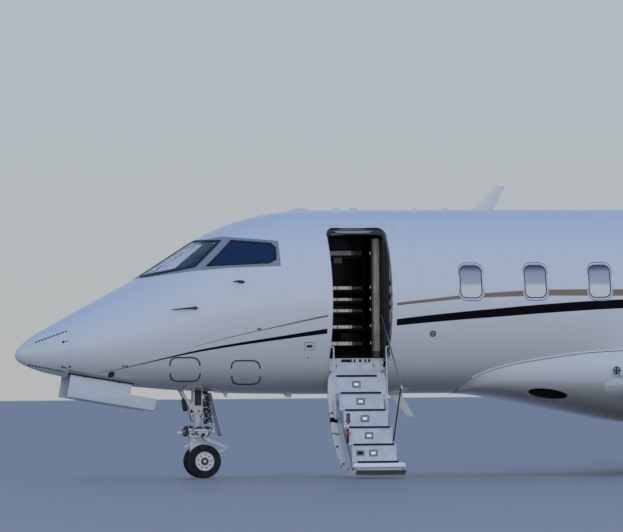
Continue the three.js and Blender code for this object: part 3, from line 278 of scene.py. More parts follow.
# Finish: name, slot, colour, roughness, then what it adds to a plain one
finishes = {"polished": ("polishedMetal", "step_alloy", (0.78, 0.79, 0.8), 0.16,
    {"metal": 1.0, "rough": (14, 0.1, 0.24)}), "frameMetal": ("windshieldFrame", "wing_alloy_paint",
    (0.38, 0.4, 0.43), 0.4, {"metal": 0.35, "rough": (22, 0.28, 0.42)}), "alloy": ("satinAlloy", "stay_steel",
    (0.55, 0.56, 0.57), 0.4, {"metal": 0.9, "grain": (160, 0.05, 0.0005, (1, 6, 6))}),
    "darkMetal": ("darkMetal", "stay_steel", (0.05, 0.05, 0.055), 0.45, {"metal": 0.6,
    "grain": (90, 0.08, 0.0006)}), "steel": ("burntSteel", "engine_steel", (0.3, 0.28, 0.27), 0.38,
    {"metal": 1.0, "tint": (3.5, (0.22, 0.2, 0.19), (0.4, 0.38, 0.37), (0.4, 2, 2))}),
    "fanMetal": ("fanTitanium", "fan_steel", (0.2, 0.21, 0.23), 0.32, {"metal": 1.0, "rough": (30, 0.25, 0.42)}),
    "gearPaint": ("gearPaint", "gear_paint", (0.66, 0.68, 0.7), 0.34, {"coat": 0.3,
    "tint": (9, (0.52, 0.54, 0.56), (0.74, 0.76, 0.78), None, (0.25, 0.6))}),
    "seal": ("blackSeal", "fuselage_paint", (0.012, 0.012, 0.013), 0.55, {"grain": (120, 0.1, 0.0004)}),
    "groove": ("panelGroove", "fuselage_paint", (0.035, 0.04, 0.052), 0.6, {"grain": (60, 0.05, 0.0004)}),
    "tyre": ("tyreRubber", "tyre_rubber", (0.016, 0.016, 0.018), 0.74, {"spec": 0.3,
    "tint": (12, (0.012, 0.012, 0.014), (0.03, 0.03, 0.032)), "grain": (260, 0.25, 0.0006)}),
    "wheelPaint": ("wheelPaint", "wheel_alloy", (0.74, 0.76, 0.78), 0.3, {"coat": 0.4, "rough": (20, 0.24, 0.45)}),
    "screw": ("screwHeads", "fuselage_paint", (0.42, 0.43, 0.45), 0.35, {"metal": 0.9, "rough": (60, 0.28, 0.5)}),
    "legDoorFace": ("legDoorFace", "gear_door_paint", (0.46, 0.5, 0.58), 0.4,
    {"coat": 0.3, "tint": (7, (0.42, 0.46, 0.54), (0.5, 0.54, 0.62))}), "rimChrome": ("rimChrome",
    "wing_alloy_paint", (0.9, 0.91, 0.92), 0.22, {"metal": 0.5, "rough": (18, 0.16, 0.3)}),
    "edgeMetal": ("edgeMetal", "wing_alloy_paint", (0.82, 0.83, 0.84), 0.36,
    {"metal": 0.35, "rough": (9, 0.3, 0.42)}), "jambPale": ("jambPale", "fuselage_paint", (0.85, 0.8, 0.76), 0.7,
    {"spec": 0.1, "tint": (26, (0.62, 0.56, 0.52), (0.95, 0.9, 0.86), (1, 1, 0.3))}),
    "whiteTread": ("whiteTread", "step_alloy", (0.88, 0.89, 0.91), 0.4, {"coat": 0.2, "rough": (20, 0.34, 0.5)}),
    "headerGrey": ("headerGrey", "wing_alloy_paint", (0.17, 0.18, 0.2), 0.6,
    # the dark sill finish is painted shade
    {"spec": 0.2, "rough": (20, 0.5, 0.7)}), "sillShade": ("sillShade", "gear_paint", (0.2, 0.21, 0.23), 0.5,
    {"tint": (6, (0.17, 0.18, 0.2), (0.23, 0.24, 0.26))}), "endRubber": ("endRubber", "fuselage_paint",
    (0.1, 0.11, 0.125), 0.6, {"grain": (90, 0.2, 0.0006)}), "shade": ("windowShade", "panel_plastic",
    (0.72, 0.74, 0.76), 0.6, {"grain": (50, 0.1, 0.001, (0.2, 0.2, 6))}), "carpet": ("beigeCarpet", "carpet",
    (0.28, 0.24, 0.19), 0.95, {"spec": 0.1, "tint": (140, (0.22, 0.19, 0.15), (0.34, 0.29, 0.24)),
    # the wood finish is veneer made near black as painted shade for the dim cabin seen through the doorway
    "grain": (400, 0.6, 0.003)}), "wood": ("veneerInPaintedShade", "cabinet_wood", (0.012, 0.008, 0.007), 0.45,
    {"coat": 0.1, "spec": 0.2, "tint": (7, (0.004, 0.003, 0.004), (0.012, 0.008, 0.007), (1, 1, 0.12))}),
    "lining": ("cabinLining", "panel_plastic", (0.42, 0.38, 0.33), 0.7, {"grain": (180, 0.2, 0.0006)}),
    "leather": ("seatLeather", "seat_leather", (0.13, 0.105, 0.085), 0.45, {"grain": (220, 0.3, 0.0007)}),
    "panel": ("panelPlastic", "panel_plastic", (0.02, 0.02, 0.022), 0.55, {"grain": (300, 0.2, 0.0004)}),
    "display": ("displayGlass", "cockpit_glass", (0.01, 0.012, 0.02), 0.08,
    {"coat": 0.6, "rough": (8, 0.06, 0.12)}), "stepPaint": ("stepPaint", "step_alloy", (0.66, 0.7, 0.75), 0.36,
    {"coat": 0.3, "tint": (6, (0.6, 0.64, 0.69), (0.72, 0.76, 0.8))}), "grip": ("treadGrip", "step_alloy",
    (0.02, 0.02, 0.022), 0.85, {"grain": (320, 0.7, 0.0015)}), "arrow": ("arrowDecal", "step_alloy",
    (0.025, 0.012, 0.01), 0.5, {"rough": (40, 0.4, 0.6)}), "orange": ("orangeTag", "panel_plastic",
    (0.6, 0.12, 0.05), 0.6, {"grain": (90, 0.2, 0.0005)}), "lamp": ("lampGlass", "cabin_glass", (0.85, 0.86, 0.84),
    0.12, {"coat": 0.6, "glow": (1, 0.96, 0.88, 1), "power": 0.25, "grain": (60, 0.2, 0.001)}),
    "redLamp": ("redLamp", "cabin_glass", (0.45, 0.02, 0.02), 0.15, {"coat": 0.8, "rough": (20, 0.1, 0.2)}),
    "greenLamp": ("greenLamp", "cabin_glass", (0.02, 0.32, 0.1), 0.15, {"coat": 0.8, "rough": (20, 0.1, 0.2)}),
    "hose": ("hydraulicHose", "stay_steel", (0.03, 0.03, 0.035), 0.5, {"grain": (500, 0.5, 0.0006)}),
    "jamb": ("doorFrameGrey", "cabinet_wood", (0.4, 0.42, 0.45), 0.42, {"tint": (8, (0.33, 0.35, 0.38),
    (0.44, 0.46, 0.48), (1, 1, 0.3))}), "entryDark": ("entryDark", "cabinet_wood", (0.2, 0.145, 0.115), 0.8,
    {"spec": 0.05, "grain": (160, 0.2, 0.0006)}), "entryPost": ("entryPost", "cabinet_wood", (0.62, 0.53, 0.46),
    0.6, {"tint": (34, (0.44, 0.36, 0.31), (0.78, 0.7, 0.63), (1, 1, 0.12))}),
    "entryFoot": ("entryFoot", "cabinet_wood", (0.13, 0.1, 0.085), 0.7, {"tint": (60, (0.05, 0.04, 0.035),
    # the glowing shelf strip finish is a painted highlight, and the dim one is its fading end
    (0.2, 0.16, 0.14))}), "shelfPaintedHighlight": ("shelfPaintedHighlight", "cabin_glass", (0.46, 0.45, 0.45), 0.4,
    {"glow": (1, 0.95, 0.88, 1), "power": 0.16, "grain": (60, 0.1, 0.0005)}),
    "shelfHighlightFade": ("shelfHighlightFade", "cabinet_wood", (0.13, 0.12, 0.12), 0.5, {"grain": (60, 0.1, 0.0005)}),
    "shelfLip": ("shelfLip", "cabinet_wood", (0.09, 0.08, 0.075), 0.4, {"tint": (3.0, (0.02, 0.018, 0.017),
    (0.12, 0.11, 0.1), (1, 0.2, 0.2))}), "drawer": ("drawerFront", "cabinet_wood", (0.16, 0.11, 0.085), 0.5,
    # the glowing lamp finish lights the step lamps and paints a highlight on the partition catches
    {"grain": (120, 0.1, 0.0005)}), "stepLampAndGlint": ("stepLampAndGlint", "stay_steel", (0.8, 0.79, 0.75), 0.3,
    {"glow": (1, 0.97, 0.9, 1), "power": 0.3, "grain": (200, 0.1, 0.0004)}),
    "arrowCore": ("arrowCore", "step_alloy", (0.26, 0.12, 0.07), 0.5, {"rough": (40, 0.4, 0.6)}),
    "doorLining": ("doorLining", "fuselage_paint", (0.6, 0.62, 0.65), 0.5, {"grain": (140, 0.15, 0.0006)}),
    "railBlack": ("railBlack", "stay_steel", (0.012, 0.012, 0.014), 0.4, {"coat": 0.3, "rough": (60, 0.35, 0.5)}),
    "railSteel": ("railSteel", "stay_steel", (0.3, 0.36, 0.46), 0.3, {"metal": 0.8, "rough": (60, 0.25, 0.4)}),
    "hubMetal": ("hubMetal", "wheel_alloy", (0.14, 0.14, 0.15), 0.4, {"metal": 0.8, "rough": (60, 0.3, 0.5)}),
    # the dark recess finish is painted shade
    "recess": ("recessPaintedShade", "gear_paint", (0.035, 0.04, 0.052), 0.5, {"grain": (60, 0.1, 0.0005)}),
    "brass": ("brassUnion", "stay_steel", (0.42, 0.27, 0.1), 0.35, {"metal": 0.9, "rough": (60, 0.3, 0.5)}),
    "bayPaint": ("bayPaint", "gear_paint", (0.5, 0.52, 0.5), 0.5, {"tint": (9, (0.42, 0.44, 0.42),
    (0.55, 0.57, 0.55))}), "doorPaint": ("gearDoorPaint", "gear_door_paint", (0.66, 0.7, 0.75), 0.42,
    # the dark lip finish is painted shade for the upper doorway reveal
    {"coat": 0.2, "tint": (4, (0.64, 0.68, 0.73), (0.67, 0.71, 0.76))}), "lipShade": ("doorLipShade",
    "wing_alloy_paint", (0.055, 0.065, 0.085), 0.5, {"grain": (60, 0.1, 0.0005)}),
    # the near black inlet finish is painted shade
    "inlet": ("inletShade", "composite_paint", (0.006, 0.005, 0.006), 0.7, {"grain": (40, 0.1, 0.001)}),
    "liner": ("inletLiner", "engine_steel", (0.34, 0.35, 0.37), 0.5, {"metal": 0.3, "grain": (420, 0.35, 0.0008)}),
    "spinner": ("spinnerPaint", "fan_steel", (0.1, 0.11, 0.12), 0.35, {"coat": 0.4, "rough": (30, 0.28, 0.45)})}


def buildMaterials():
    effects = {"rough": roughBetween, "tint": tintBetween, "grain": grain}
    made = {"paint": aircraftPaint("whitePaint"), "striped": aircraftPaint("stripedPaint", striped=True),
        "bellyPaint": aircraftPaint("bellyPaint", belly=True), "stripedDoor": aircraftPaint("stripedDoorPaint",
        striped=True, swung=True), "finPaint": aircraftPaint("finPaint"), "cockpitGlass": glass("cockpitGlass",
        (0.004, 0.02, 0.075)), "cabinGlass": cabinGlass(), "windshieldGlass": glass("windshieldGlass",
        (0.9, 0.94, 0.98), 0.0, 1.0), "floor": newMaterial("paleFloor", (0.4, 0.375, 0.375), 0.5)}
    for key, (name, slot, base, rough, more) in finishes.items():
        shine = {k: v for k, v in more.items() if k in ("metal", "coat", "spec")}
        made[key] = newMaterial(name, base, rough, **shine)
        if "glow" in more:
            inputs = made[key].node_tree.nodes["Principled BSDF"].inputs
            inputs["Emission Color"].default_value, inputs["Emission Strength"].default_value = more["glow"], more[
                "power"]
        for effect, act in effects.items():
            if effect in more:
                act(made[key].node_tree, *more[effect])
    return made


materials = buildMaterials()
print("materials made")

# Shape helpers


def place(station, y, z):
    return Vector((noseX - station, y, z))


def circleAngles(count):
    return np.linspace(0, 2 * pi, count, endpoint=False)


def monotone(xs, ys, at):  # cubic through the points, with no overshoot
    step = np.diff(xs)
    slope = np.diff(ys) / step
    tangent = np.zeros_like(ys)
    tangent[0], tangent[-1] = slope[0], slope[-1]
    same = slope[:-1] * slope[1:] > 0
    before, after = 2 * step[1:] + step[:-1], step[1:] + 2 * step[:-1]
    with np.errstate(divide="ignore", invalid="ignore"):
        mean = (before + after) / (before / slope[:-1] + after / slope[1:])
    tangent[1:-1] = np.where(same, mean, 0)
    i = np.clip(np.searchsorted(xs, at) - 1, 0, len(xs) - 2)
    t = (at - xs[i]) / step[i]
    return (ys[i] * (1 + 2 * t) * (1 - t) ** 2 + tangent[i] * step[i] * t * (1 - t) ** 2 + ys[i + 1] * t * t
        * (3 - 2 * t) - tangent[i + 1] * step[i] * t * t * (1 - t))


hullSmoothing = {"fineStep": 0.005, "spread": 0.13, "calmFrom": 0.5, "calmOver": 0.8, "calmEnd": 0.6}


def smoothColumns(rows):
    table, fineStep = np.array(rows), hullSmoothing["fineStep"]
    fine = np.arange(table[0, 0], table[-1, 0] + fineStep / 2, fineStep)
    reach = int(3 * hullSmoothing["spread"] / fineStep)
    kernel = np.exp(-0.5 * (np.arange(-reach, reach + 1) * fineStep / hullSmoothing["spread"]) ** 2)
    kernel /= kernel.sum()
    weight = np.clip((fine - hullSmoothing["calmFrom"]) / hullSmoothing["calmOver"], 0, 1)
    weight = weight * np.clip((fine[-1] - fine) / hullSmoothing["calmEnd"], 0, 1)
    columns = []
    for k in range(1, table.shape[1]):
        exact = monotone(table[:, 0], table[:, k], fine)
        ends = (2 * exact[0] - exact[reach:0:-1], 2 * exact[-1] - exact[-2:-reach - 2:-1])
        calm = np.convolve(np.concatenate((ends[0], exact, ends[1])), kernel, "valid")
        columns.append(exact + (calm - exact) * weight)
    return fine, columns


fineStations, fuselageColumns = smoothColumns(fuselageRows)
fuselageSlopes = [np.gradient(column, fineStations) for column in fuselageColumns]


def sectionAt(station):
    return [np.interp(station, fineStations, column) for column in fuselageColumns]


def hullPoints(station, angle, lift=0.0):  # points and outward normals; angle 0 is the crown, 90 degrees is port
    station, angle = np.broadcast_arrays(np.asarray(station, float), np.asarray(angle, float))
    crown, keel, half, waist = sectionAt(station)
    crownS, keelS, halfS, waistS = [np.interp(station, fineStations, s) for s in fuselageSlopes]
    across, up = np.sin(angle), np.cos(angle)
    reach = np.where(up > 0, crown - waist, waist - keel)
    reachS = np.where(up > 0, crownS - waistS, waistS - keelS)
    points = np.stack((noseX - station, half * across, waist + reach * up), -1)
    around = np.stack((np.zeros_like(across), half * up, -reach * across), -1)
    aft = np.stack((-np.ones_like(across), halfS * across, waistS + reachS * up), -1)
    normals = np.cross(around, aft)
    normals /= np.maximum(np.linalg.norm(normals, axis=-1, keepdims=True), 1e-9)
    return points + normals * np.asarray(lift)[..., None], normals


def onHull(station, z, side=1, lift=0.0):
    station, z = np.asarray(station, float), np.asarray(z, float)
    crown, keel, half, waist = sectionAt(station)
    reach = np.where(z > waist, crown - waist, waist - keel)
    return hullPoints(station, side * np.arccos(np.clip((z - waist) / reach, -1, 1)), lift)


def pathOnHull(path, side, depth):  # points on the hull of a path of [station, z]
    return [tuple(p) for p in onHull([p[0] for p in path], [p[1] for p in path], side, depth)[0]]


def spotOnHull(station, z, side=1, lift=0.0):
    at, normal = onHull([station], [z], side, lift)
    return Vector(at[0]), Vector(normal[0])


def linked(name, mesh):
    obj = bpy.data.objects.new(name, mesh)
    bpy.context.scene.collection.objects.link(obj)
    return obj


def makeObject(name, points, faces):
    mesh = bpy.data.meshes.new(name)
    mesh.from_pydata([tuple(p) for p in points], [], faces)
    mesh.validate()
    return linked(name, mesh)


def gridFaces(rows, cols, closed, start=0, flip=False):
    faces = []
    for r in range(rows - 1):
        for c in range(cols if closed else cols - 1):
            a = start + r * cols + c
            b = start + r * cols + (c + 1) % cols
            quad = (a, b, b + cols, a + cols)
            faces.append(quad[::-1] if flip else quad)
    return faces


def pointOutwards(obj, merge=1e-6, thin=0.0):
    mesh = bmesh.new()
    mesh.from_mesh(obj.data)
    bmesh.ops.remove_doubles(mesh, verts=mesh.verts, dist=merge)
    if thin:
        bmesh.ops.dissolve_degenerate(mesh, edges=mesh.edges, dist=thin)
    bmesh.ops.recalc_face_normals(mesh, faces=mesh.faces)
    mesh.to_mesh(obj.data)
    mesh.free()
    return obj


def loft(name, rings, caps=True, merge=1e-6, thin=0.0):  # closed rings of equal count, with flat ends
    count = len(rings[0])
    points = [p for ring in rings for p in ring]
    faces = gridFaces(len(rings), count, True)
    if caps:
        faces += [tuple(range(count))[::-1], tuple(range(len(points) - count, len(points)))]
    return pointOutwards(makeObject(name, points, faces), merge, thin)


def prism(name, outline, low, high, axis="y"):  # outline: [station, z] for axis y, [station, y] for z, [y, z] for x
    build = {"y": lambda a, b, c: place(a, c, b), "z": place, "x": lambda a, b, c: place(c, a, b)}[axis]
    count = len(outline)
    points = [build(a, b, c) for c in (low, high) for a, b in outline]
    faces = [tuple(range(count)), tuple(range(count, 2 * count))[::-1]]
    faces += [(i, (i + 1) % count, (i + 1) % count + count, i + count) for i in range(count)]
    return pointOutwards(makeObject(name, points, faces))


def roundedOutline(midU, midV, width, height, corner, steps=10):
    outline = []
    for quarter, (u, v) in enumerate(((1, 1), (-1, 1), (-1, -1), (1, -1))):
        for i in range(steps + 1):
            angle = (quarter + i / steps) * pi / 2
            outline.append((midU + u * (width / 2 - corner) + corner * cos(angle),
                midV + v * (height / 2 - corner) + corner * sin(angle)))
    return outline


def roundedCorners(points, corner, steps=6):  # polygon with arcs at its corners
    outline, count = [], len(points)
    for i in range(count):
        here = Vector(points[i])
        before, after = Vector(points[i - 1]) - here, Vector(points[(i + 1) % count]) - here
        reach = min(corner, before.length * 0.45, after.length * 0.45)
        first, last = here + before.normalized() * reach, here + after.normalized() * reach
        for k in range(steps + 1):
            t = k / steps
            outline.append(tuple(first * (1 - t) ** 2 + here * 2 * t * (1 - t) + last * t * t))
    return outline


def grown(outline, distance):  # outline moved out by a distance
    points = [Vector(p) for p in outline]
    area = sum(a.x * b.y - b.x * a.y for a, b in zip(points, points[1:] + points[:1]))
    sign = 1 if area > 0 else -1
    outer = []
    for i, here in enumerate(points):
        before, after = here - points[i - 1], points[(i + 1) % len(points)] - here
        normals = [Vector((d.y, -d.x)).normalized() * sign for d in (before, after) if d.length > 1e-7]
        mean = sum(normals, Vector((0, 0)))
        mean = mean.normalized() / max(0.5, mean.length / 2 if len(normals) > 1 else 1)
        outer.append(tuple(here + mean * distance))
    return outer


def applyModifiers(obj):
    mesh = bpy.data.meshes.new_from_object(obj.evaluated_get(bpy.context.evaluated_depsgraph_get()))
    obj.modifiers.clear()
    old, obj.data = obj.data, mesh
    bpy.data.meshes.remove(old)
    return obj


def carve(obj, cutters, operation="DIFFERENCE"):
    for cutter in cutters:
        modifier = obj.modifiers.new("carve", "BOOLEAN")
        modifier.operation, modifier.solver, modifier.object = operation, "MANIFOLD", cutter
    applyModifiers(obj)
    for cutter in cutters:
        bpy.data.objects.remove(cutter)
    return obj


def joinAll(name, objects):
    mesh = bmesh.new()
    for obj in objects:
        mesh.from_mesh(obj.data)
        bpy.data.objects.remove(obj)
    data = bpy.data.meshes.new(name)
    mesh.to_mesh(data)
    mesh.free()
    return linked(name, data)


def mirroredCopy(obj, name):
    twin = linked(name, obj.data.copy())
    mesh = bmesh.new()
    mesh.from_mesh(twin.data)
    bmesh.ops.scale(mesh, vec=(1, -1, 1), verts=mesh.verts)
    bmesh.ops.reverse_faces(mesh, faces=mesh.faces)
    mesh.to_mesh(twin.data)
    mesh.free()
    return twin


def onFlank(obj, side, name):  # the piece itself to port, its mirror image to starboard
    if side < 0:
        twin = mirroredCopy(obj, name)
        bpy.data.objects.remove(obj)
        obj = twin
    obj.name = name
    return obj


def moved(obj, matrix):
    obj.data.transform(matrix)
    return obj


def swungOpen(obj):
    turn = Matrix.Translation(hinge) @ Matrix.Rotation(-openAngle, 4, "X") @ Matrix.Translation(-hinge)
    return moved(obj, turn)


def bevelled(obj, width, segments=2):
    modifier = obj.modifiers.new("edges", "BEVEL")
    modifier.width, modifier.segments, modifier.harden_normals = width, segments, False
    modifier.limit_method, modifier.angle_limit = "ANGLE", radians(35)
    return applyModifiers(obj)


def addPiece(obj, finish, nodes=(), sharp=32, body="airframe"):
    mesh = obj.data
    mesh.materials.clear()
    mesh.materials.append(materials[finish])
    mesh.polygons.foreach_set("material_index", [0] * len(mesh.polygons))
    if sharp:
        mesh.polygons.foreach_set("use_smooth", [True] * len(mesh.polygons))
        mesh.set_sharp_from_angle(angle=radians(sharp))
    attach(obj, body)
    if nodes:
        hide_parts(*nodes)


def addPair(obj, finish, node=None, sharp=30, body="airframe"):  # a port piece and its mirrored twin
    twin = mirroredCopy(obj, obj.name + "Right")
    obj.name += "Left"
    for piece, end in ((obj, "_left"), (twin, "_right")):
        own = body if body == "airframe" else body + end
        addPiece(piece, finish, [node + end] if node else (), sharp, own)


def box(name, s0, s1, y0, y1, z0, z1, edge=0.0):
    made = prism(name, [(s0, z0), (s1, z0), (s1, z1), (s0, z1)], y0, y1)
    return bevelled(made, edge) if edge else made


def circleOf(centre, side, other, radius, count):
    turns = [2 * pi * k / count for k in range(count)]
    return [centre + (side * cos(turn) + other * sin(turn)) * radius for turn in turns]


def tube(name, points, radius, sides=16, radii=None):  # round bar along a path of points, with flat ends
    points = [Vector(p) for p in points]
    rings, side = [], None
    for i, point in enumerate(points):
        aft = (points[min(i + 1, len(points) - 1)] - points[max(i - 1, 0)]).normalized()
        if side is None:
            side = aft.orthogonal().normalized()
        side = (side - aft * side.dot(aft)).normalized()
        rings.append(circleOf(point, side, aft.cross(side), radii[i] if radii else radius, sides))
    return loft(name, rings)


def cylinder(name, a, b, radius, sides=24):  # between two places of [station, y, z]
    return tube(name, [place(*a), place(*b)], radius, sides)


def curvePoints(points, count=24):  # smooth path through a few points
    points = [Vector(p) for p in points]
    spans, path = len(points) - 1, []
    for n in range(count + 1):
        t = n / count * spans
        i = min(int(t), spans - 1)
        t -= i
        p1, p2 = points[i], points[i + 1]
        p0 = points[i - 1] if i else p1 * 2 - p2
        p3 = points[i + 2] if i + 2 <= spans else p2 * 2 - p1
        path.append(0.5 * (2 * p1 + (p2 - p0) * t + (2 * p0 - 5 * p1 + 4 * p2 - p3) * t * t
            + (3 * p1 - p0 - 3 * p2 + p3) * t ** 3))
    return path


# profile: [place along the axis, radius], ends on the axis or closes
def turned(name, profile, centre, axis, sides=48):
    centre, axis = Vector(centre), Vector(axis).normalized()
    side = axis.orthogonal().normalized()
    rings = [circleOf(centre + axis * at, side, axis.cross(side), max(radius, 1e-5), sides) for at,
        radius in profile]
    closes = (Vector(profile[0]) - Vector(profile[-1])).length < 1e-6
    return loft(name, rings, not closes, 2.5e-5, 1e-5)


def drum(name, centre, axis, low, high, radius, sides=24):  # plain round block between two places on its axis
    return turned(name, [(low, 0), (low, radius), (high, radius), (high, 0)], centre, axis, sides)


# shell between two depths; inner None is solid
def hullGrid(name, first, last, outer, inner, stationStep=0.05, around=128):
    stations = np.linspace(first, last, max(2, int(round((last - first) / stationStep))) + 1)
    if first < 0.05:  # denser round the nose tip
        near = first + (0.7 - first) * np.linspace(0, 1, 36) ** 2
        stations = np.concatenate((near, np.linspace(0.7, last, max(2, int((last - 0.7) / stationStep)))[1:]))
        stations = stations[stations <= last + 1e-9]
        if stations[-1] < last - 1e-6:
            stations = np.append(stations, last)
    angles = circleAngles(around)
    outside, _ = hullPoints(stations[:, None], angles[None, :], outer)
    if inner is None:
        return loft(name, [list(ring) for ring in outside])
    inside, _ = hullPoints(stations[:, None], angles[None, :], inner)
    rows = len(stations)
    offset, end = rows * around, (rows - 1) * around
    faces = gridFaces(rows, around, True) + gridFaces(rows, around, True, offset, True)
    for c in range(around):
        d = (c + 1) % around
        faces += [(d, c, c + offset, d + offset), (end + c, end + d, end + d + offset, end + c + offset)]
    points = np.concatenate((outside.reshape(-1, 3), inside.reshape(-1, 3)))
    return pointOutwards(makeObject(name, points, faces))


def fetched(items, name, count, kind=float, width=1):
    values = np.zeros(count * width, kind)
    items.foreach_get(name, values)
    return values.reshape(-1, width) if width > 1 else values


def keepHullNormals(obj, depths):  # smooth normals of the hull on faces that lie at one of the depths
    mesh = obj.data
    count, loopCount = len(mesh.polygons), len(mesh.loops)
    faceNormals = fetched(mesh.polygons, "normal", count, float, 3)
    coords = fetched(mesh.vertices, "co", len(mesh.vertices), float, 3)
    station = noseX - coords[:, 0]
    crown, keel, half, waist = sectionAt(station)
    reach = np.where(coords[:, 2] > waist, crown - waist, waist - keel)
    angle = np.arctan2(coords[:, 1] / half, (coords[:, 2] - waist) / reach)
    surface, normals = hullPoints(station, angle)
    depth = np.einsum("ij,ij->i", coords - surface, normals)
    starts, totals = (fetched(mesh.polygons, key, count, int) for key in ("loop_start", "loop_total"))
    verts = fetched(mesh.loops, "vertex_index", loopCount, int)
    custom, smooth = np.zeros((loopCount, 3)), np.zeros(count, bool)
    for f in range(count):
        loops = slice(starts[f], starts[f] + totals[f])
        ids = verts[loops]
        facing = float(faceNormals[f] @ normals[ids].mean(0))
        if abs(facing) > 0.8 and any(np.all(np.abs(depth[ids] - d) < 0.003 + abs(d) * 0.12) for d in depths):
            custom[loops] = normals[ids] * (1 if facing > 0 else -1)
            smooth[f] = True
    mesh.polygons.foreach_set("use_smooth", smooth)
    mesh.normals_split_custom_set([tuple(n) for n in custom])
    return obj


def ringFaces(rows, count):  # rows of points that close on themselves both ways
    return [(r * count + i, r * count + (i + 1) % count, (r + 1) % rows * count + (i + 1) % count,
        (r + 1) % rows * count + i) for r in range(rows) for i in range(count)]


def bandOnHull(name, path, width, low, high, side=1, closed=True):  # flat band from depth low to high
    points = [Vector(p) for p in path]
    inner, outer, count = [], [], len(points)
    for i in range(count):
        ahead = points[(i + 1) % count] if closed or i + 1 < count else points[i]
        behind = points[i - 1] if closed or i else points[i]
        onward = (ahead - behind).normalized()
        across = Vector((onward.y, -onward.x)) * width / 2
        inner.append(points[i] - across)
        outer.append(points[i] + across)
    edges = ((inner, low), (inner, high), (outer, high), (outer, low))
    rows = [pathOnHull(line, side, depth) for line, depth in edges]
    verts = [rows[r][i] for i in range(count) for r in range(4)]
    faces = []
    for i in range(count if closed else count - 1):
        j = (i + 1) % count
        faces += [(4 * i + r, 4 * i + (r + 1) % 4, 4 * j + (r + 1) % 4, 4 * j + r) for r in range(4)]
    if not closed:
        faces += [(0, 1, 2, 3), tuple(4 * (count - 1) + r for r in (3, 2, 1, 0))]
    return pointOutwards(makeObject(name, verts, faces))


def ringOnHull(name, steps, side=1):  # band between outlines; steps are (outline, depth) and it closes on itself
    verts = [p for outline, depth in steps for p in pathOnHull(outline, side, depth)]
    return pointOutwards(makeObject(name, verts, ringFaces(len(steps), len(steps[0][0]))))


def plateOnHull(name, outline, low, high, side=1, rings=6):  # closed plate that follows the hull inside an outline
    count = len(outline)
    midU, midV = (sum(p[k] for p in outline) / count for k in (0, 1))
    verts, faces = [], []
    for depth in (high, low):
        for r in range(rings):
            share = 1 - r / rings
            verts += pathOnHull([(midU + (u - midU) * share, midV + (v - midV) * share) for u, v in outline], side,
                depth)
        verts += pathOnHull([(midU, midV)], side, depth)
    block = rings * count + 1
    for start in (0, block):
        faces += gridFaces(rings, count, True, start)
        last = start + (rings - 1) * count
        faces += [(last + i, last + (i + 1) % count, start + rings * count) for i in range(count)]
    faces += [(i, (i + 1) % count, block + (i + 1) % count, block + i) for i in range(count)]
    return pointOutwards(makeObject(name, verts, faces))


def nodeTree(name, inputs):  # Geometry Nodes tree with named inputs that ends in Realize Instances and Set Material
    tree = bpy.data.node_groups.new(name, "GeometryNodeTree")
    for label, kind in (("Geometry", "Geometry"), *inputs, ("Finish", "Material")):
        tree.interface.new_socket(label, in_out="INPUT", socket_type="NodeSocket" + kind)
    tree.interface.new_socket("Geometry", in_out="OUTPUT", socket_type="NodeSocketGeometry")
    return tree, addNode(tree, "NodeGroupInput").outputs


def instanced(tree, given, points, shape, rotation):
    copies = addNode(tree, "GeometryNodeInstanceOnPoints", {"Points": points, "Instance": shape,
        "Rotation": rotation})
    real = addNode(tree, "GeometryNodeRealizeInstances", {"Geometry": copies.outputs["Instances"]})
    done = addNode(tree, "GeometryNodeSetMaterial", {"Geometry": real.outputs["Geometry"],
        "Material": given["Finish"]})
    addNode(tree, "NodeGroupOutput", {"Geometry": done.outputs["Geometry"]})
    return tree


def headTree():  # a low head on every point, turned to its facing vector
    tree, given = nodeTree("screwHeads", (("Head radius", "Float"), ("Head height", "Float"), ("Sides", "Int")))
    taper = mathNode(tree, "MULTIPLY", given["Head radius"], 0.72)
    head = addNode(tree, "GeometryNodeMeshCone", {"Side Segments": 1, "Vertices": given["Sides"],
        "Radius Bottom": given["Head radius"], "Radius Top": taper, "Depth": given["Head height"]})
    facing = addNode(tree, "GeometryNodeInputNamedAttribute", {"Name": "facing"}, data_type="FLOAT_VECTOR")
    turn = addNode(tree, "FunctionNodeAlignRotationToVector", {"Vector": facing.outputs["Attribute"]}, axis="Z")
    return instanced(tree, given, given["Geometry"], head.outputs["Mesh"], turn.outputs["Rotation"])


def throughNodes(obj, tree, **values):  # runs the tree on a piece and keeps the plain mesh
    modifier = obj.modifiers.new("nodes", "NODES")
    modifier.node_group = tree
    for item in tree.interface.items_tree:
        if item.in_out == "INPUT" and item.name in values:
            modifier[item.identifier] = values[item.name]
    return applyModifiers(obj)


headGroup = headTree()


def heads(name, places, radius, height, finish, sides=8):  # screw or bolt heads at (point, normal) places
    points = bpy.data.meshes.new(name)
    points.from_pydata([tuple(p) for p, _ in places], [], [])
    attribute = points.attributes.new("facing", "FLOAT_VECTOR", "POINT")
    attribute.data.foreach_set("vector", [c for _, n in places for c in n])
    return throughNodes(linked(name, points), headGroup, **{"Head radius": radius, "Head height": height,
        "Sides": sides, "Finish": materials[finish]})


def along(outline, pitch, closed=True):  # evenly spaced points on an outline
    points = [Vector(p) for p in outline]
    if closed:
        points.append(points[0])
    spots, left = [], pitch / 2
    for a, b in zip(points, points[1:]):
        span, at = (b - a).length, left
        while at < span:
            spots.append(a + (b - a) * (at / span))
            at += pitch
        left = at - span
    return spots


def hullHeads(name, spots, side, lift, radius, height, finish="screw", sides=8):
    at, normals = onHull([p[0] for p in spots], [p[1] for p in spots], side, lift)
    return heads(name, list(zip(at, normals)), radius, height, finish, sides)


print("tools ready")


# Fuselage skins

